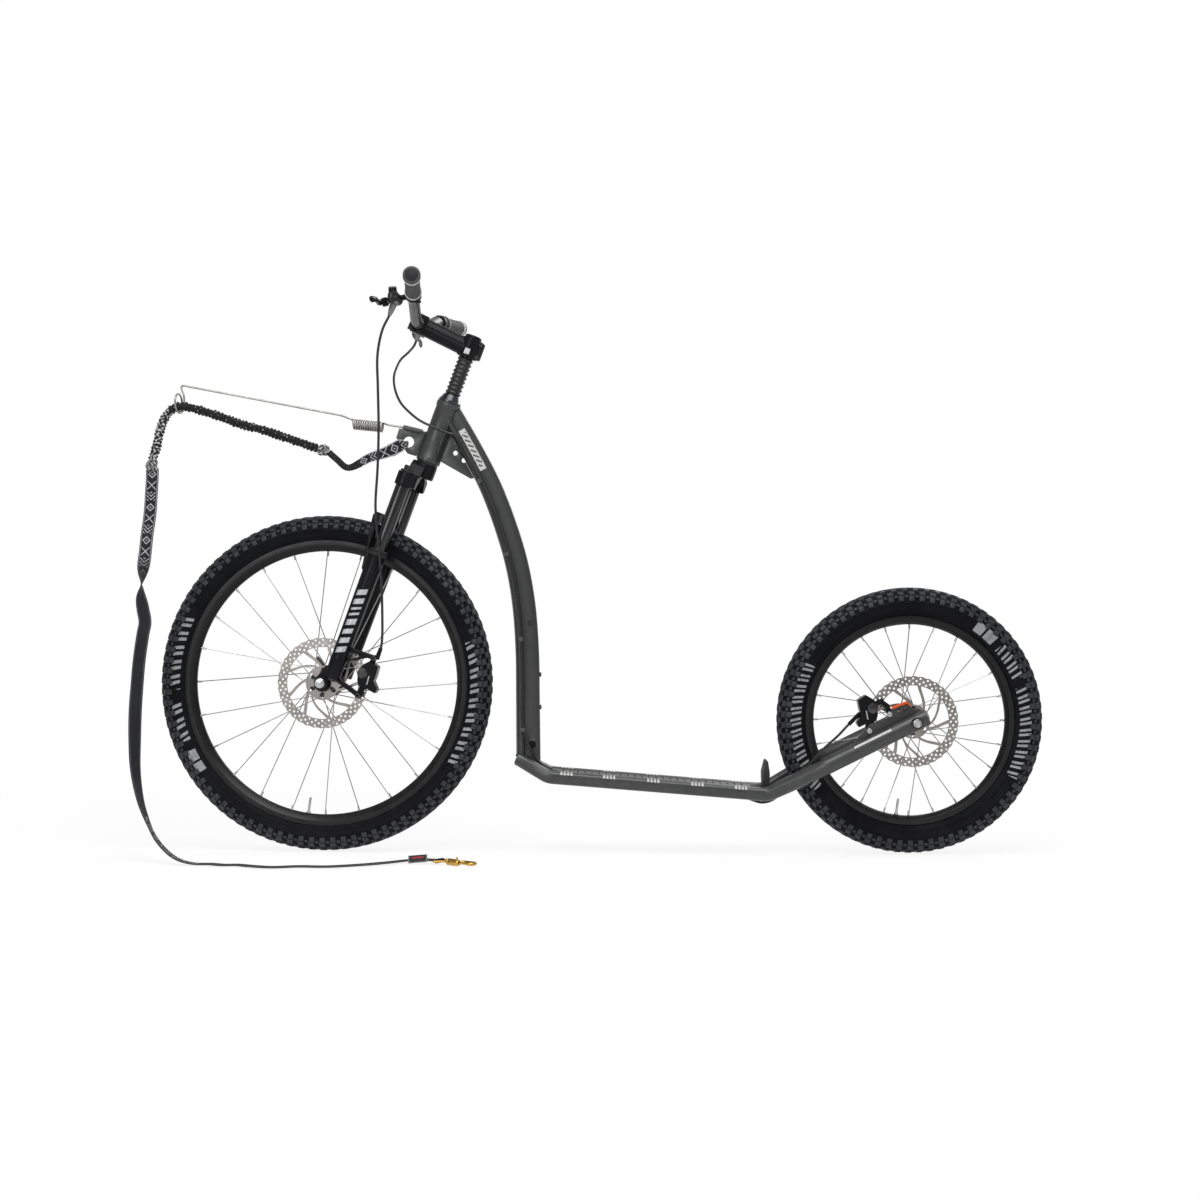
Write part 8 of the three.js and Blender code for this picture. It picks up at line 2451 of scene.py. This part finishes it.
class KICKBIKE_OT_antenna(Operator):
    """Makes the spring wire that holds the leash up, and its bracket on the head tube."""
    bl_idname = "kickbike.antenna"
    bl_label = "Antenna"

    def execute(self, context):
        lead = [(-361, 0, 837.2), (-397, 0, 845.5), (-412, 0, 847.6), (-428, 0, 850.4),
                (-434, -0.6, 852.6)]
        turns, start, end, coil_radius, eye_radius = 13, 0.08, 1.0, 9, 19
        span = turns - 1 + end - start
        count = round(span * 28)
        coil = []
        for i in range(count + 1):
            angle = 2 * math.pi * (start + span * i / count)
            share = i / count
            coil.append((-438 - 59 * share, coil_radius * math.sin(angle),
                         845.4 + 5.6 * share + coil_radius * math.cos(angle)))
        lead_out = [(-499.4, 2.4, 860.4), (-503, 3.2, 861.6), (-508, 2.3, 863.6),
                    (-515, 0.8, 866.4), (-522, 0, 868.7)]
        cant = math.radians(12)
        wide = Vector((math.sin(cant), math.cos(cant), 0))
        away = Vector((-math.cos(cant), math.sin(cant), 0))
        eye = []
        for i in range(25):
            angle = 2 * math.pi * i / 20
            eye.append(Vector((-839, -19, 889)) + wide * (eye_radius * math.cos(angle))
                       + away * (5.2 * i / 20) + Vector((0, 0, -eye_radius * math.sin(angle))))
        tip = [(-836.5, 0, 926.5), (-840, 0, 925.6), (-841, 0, 921.5), (-839, -0.2, 915),
               (-836, -0.6, 907)]
        points = [Vector(p) for p in (*lead, *coil, *lead_out)]
        straight = [points[-1].lerp(Vector(tip[0]), k / 24) for k in range(1, 24)]
        knots = [*points, *straight, *[Vector(p) for p in tip], *eye]
        line = curve_through(knots, 1500)
        make("antenna_wire", tube(line, 2.0, 14), GROUND, "frame", "spring_wire", [spring_wire()],
             ["antenna"], crease=60)
        self.bracket()
        return {"FINISHED"}

    def bracket(self):
        """The eye plate on the head tube and the socket for the wire, in the frame's paint."""
        coat = frame_paint()
        plate = rounded("bracket", "antenna_bracket", coat, 0.9, 30, 3, 38)
        front, rear = Vector((-397, 0, 845.5)), Vector((-358, 0, 836.5))
        sleeve = mesh_of("sleeve", lathe([(2.3, 0), (4.4, 0), (4.9, 0.5), (4.9, 36), (2.3, 36)], 32,
                                         closed=True, place=aim(front, rear)), GROUND, [coat],
                         crease=32)
        beads = []
        for side in (-1, 1):
            beads.append([(-392 + 26 * k / 8, side * 3.4, 839.6 - 6 * k / 8) for k in range(9)])
            beads.append([(-366 + 13 * k / 12, side * 3.2, 800 + 34 * k / 12) for k in range(13)])
        whole = merged("antenna_bracket_welded", plate, sleeve, welded(beads, coat, 1.5, 1.5))
        put("antenna_bracket_welded", whole, "frame", ["antenna_bracket"])


OPERATORS = (KICKBIKE_OT_stage, KICKBIKE_OT_hoses, KICKBIKE_OT_leash, KICKBIKE_OT_snap,
             KICKBIKE_OT_tyres, KICKBIKE_OT_rims, KICKBIKE_OT_hubs, KICKBIKE_OT_rotors,
             KICKBIKE_OT_frame, KICKBIKE_OT_deck, KICKBIKE_OT_rear_end, KICKBIKE_OT_fork,
             KICKBIKE_OT_steering, KICKBIKE_OT_bars, KICKBIKE_OT_brakes, KICKBIKE_OT_antenna)


class KICKBIKE_PT_panel(Panel):
    """Lists the kick bike's operators and sizes."""
    bl_label = "Kick Bike"
    bl_idname = "KICKBIKE_PT_panel"
    bl_space_type = "VIEW_3D"
    bl_region_type = "UI"
    bl_category = "Kick Bike"

    def draw(self, context):
        settings = context.scene.kick_bike
        for group in (settings.stage, settings.wheels, settings.frame, settings.leash):
            box = self.layout.box()
            for name in group.bl_rna.properties.keys():
                if name not in ("rna_type", "name"):
                    box.prop(group, name)
        for operator in OPERATORS:
            self.layout.operator(operator.bl_idname)


CLASSES = (KickBikeStage, KickBikeWheels, KickBikeFrame, KickBikeLeash, KickBikeSettings,
           *OPERATORS, KICKBIKE_PT_panel)


def register():
    for cls in CLASSES:
        bpy.utils.register_class(cls)
    bpy.types.Scene.kick_bike = PointerProperty(type=KickBikeSettings)


def unregister():
    del bpy.types.Scene.kick_bike
    for cls in reversed(CLASSES):
        bpy.utils.unregister_class(cls)


def main():
    register()
    for operator in OPERATORS:
        group, name = operator.bl_idname.split(".")
        getattr(getattr(bpy.ops, group), name)()
    bpy.context.view_layer.update()


if __name__ == "__main__":
    main()
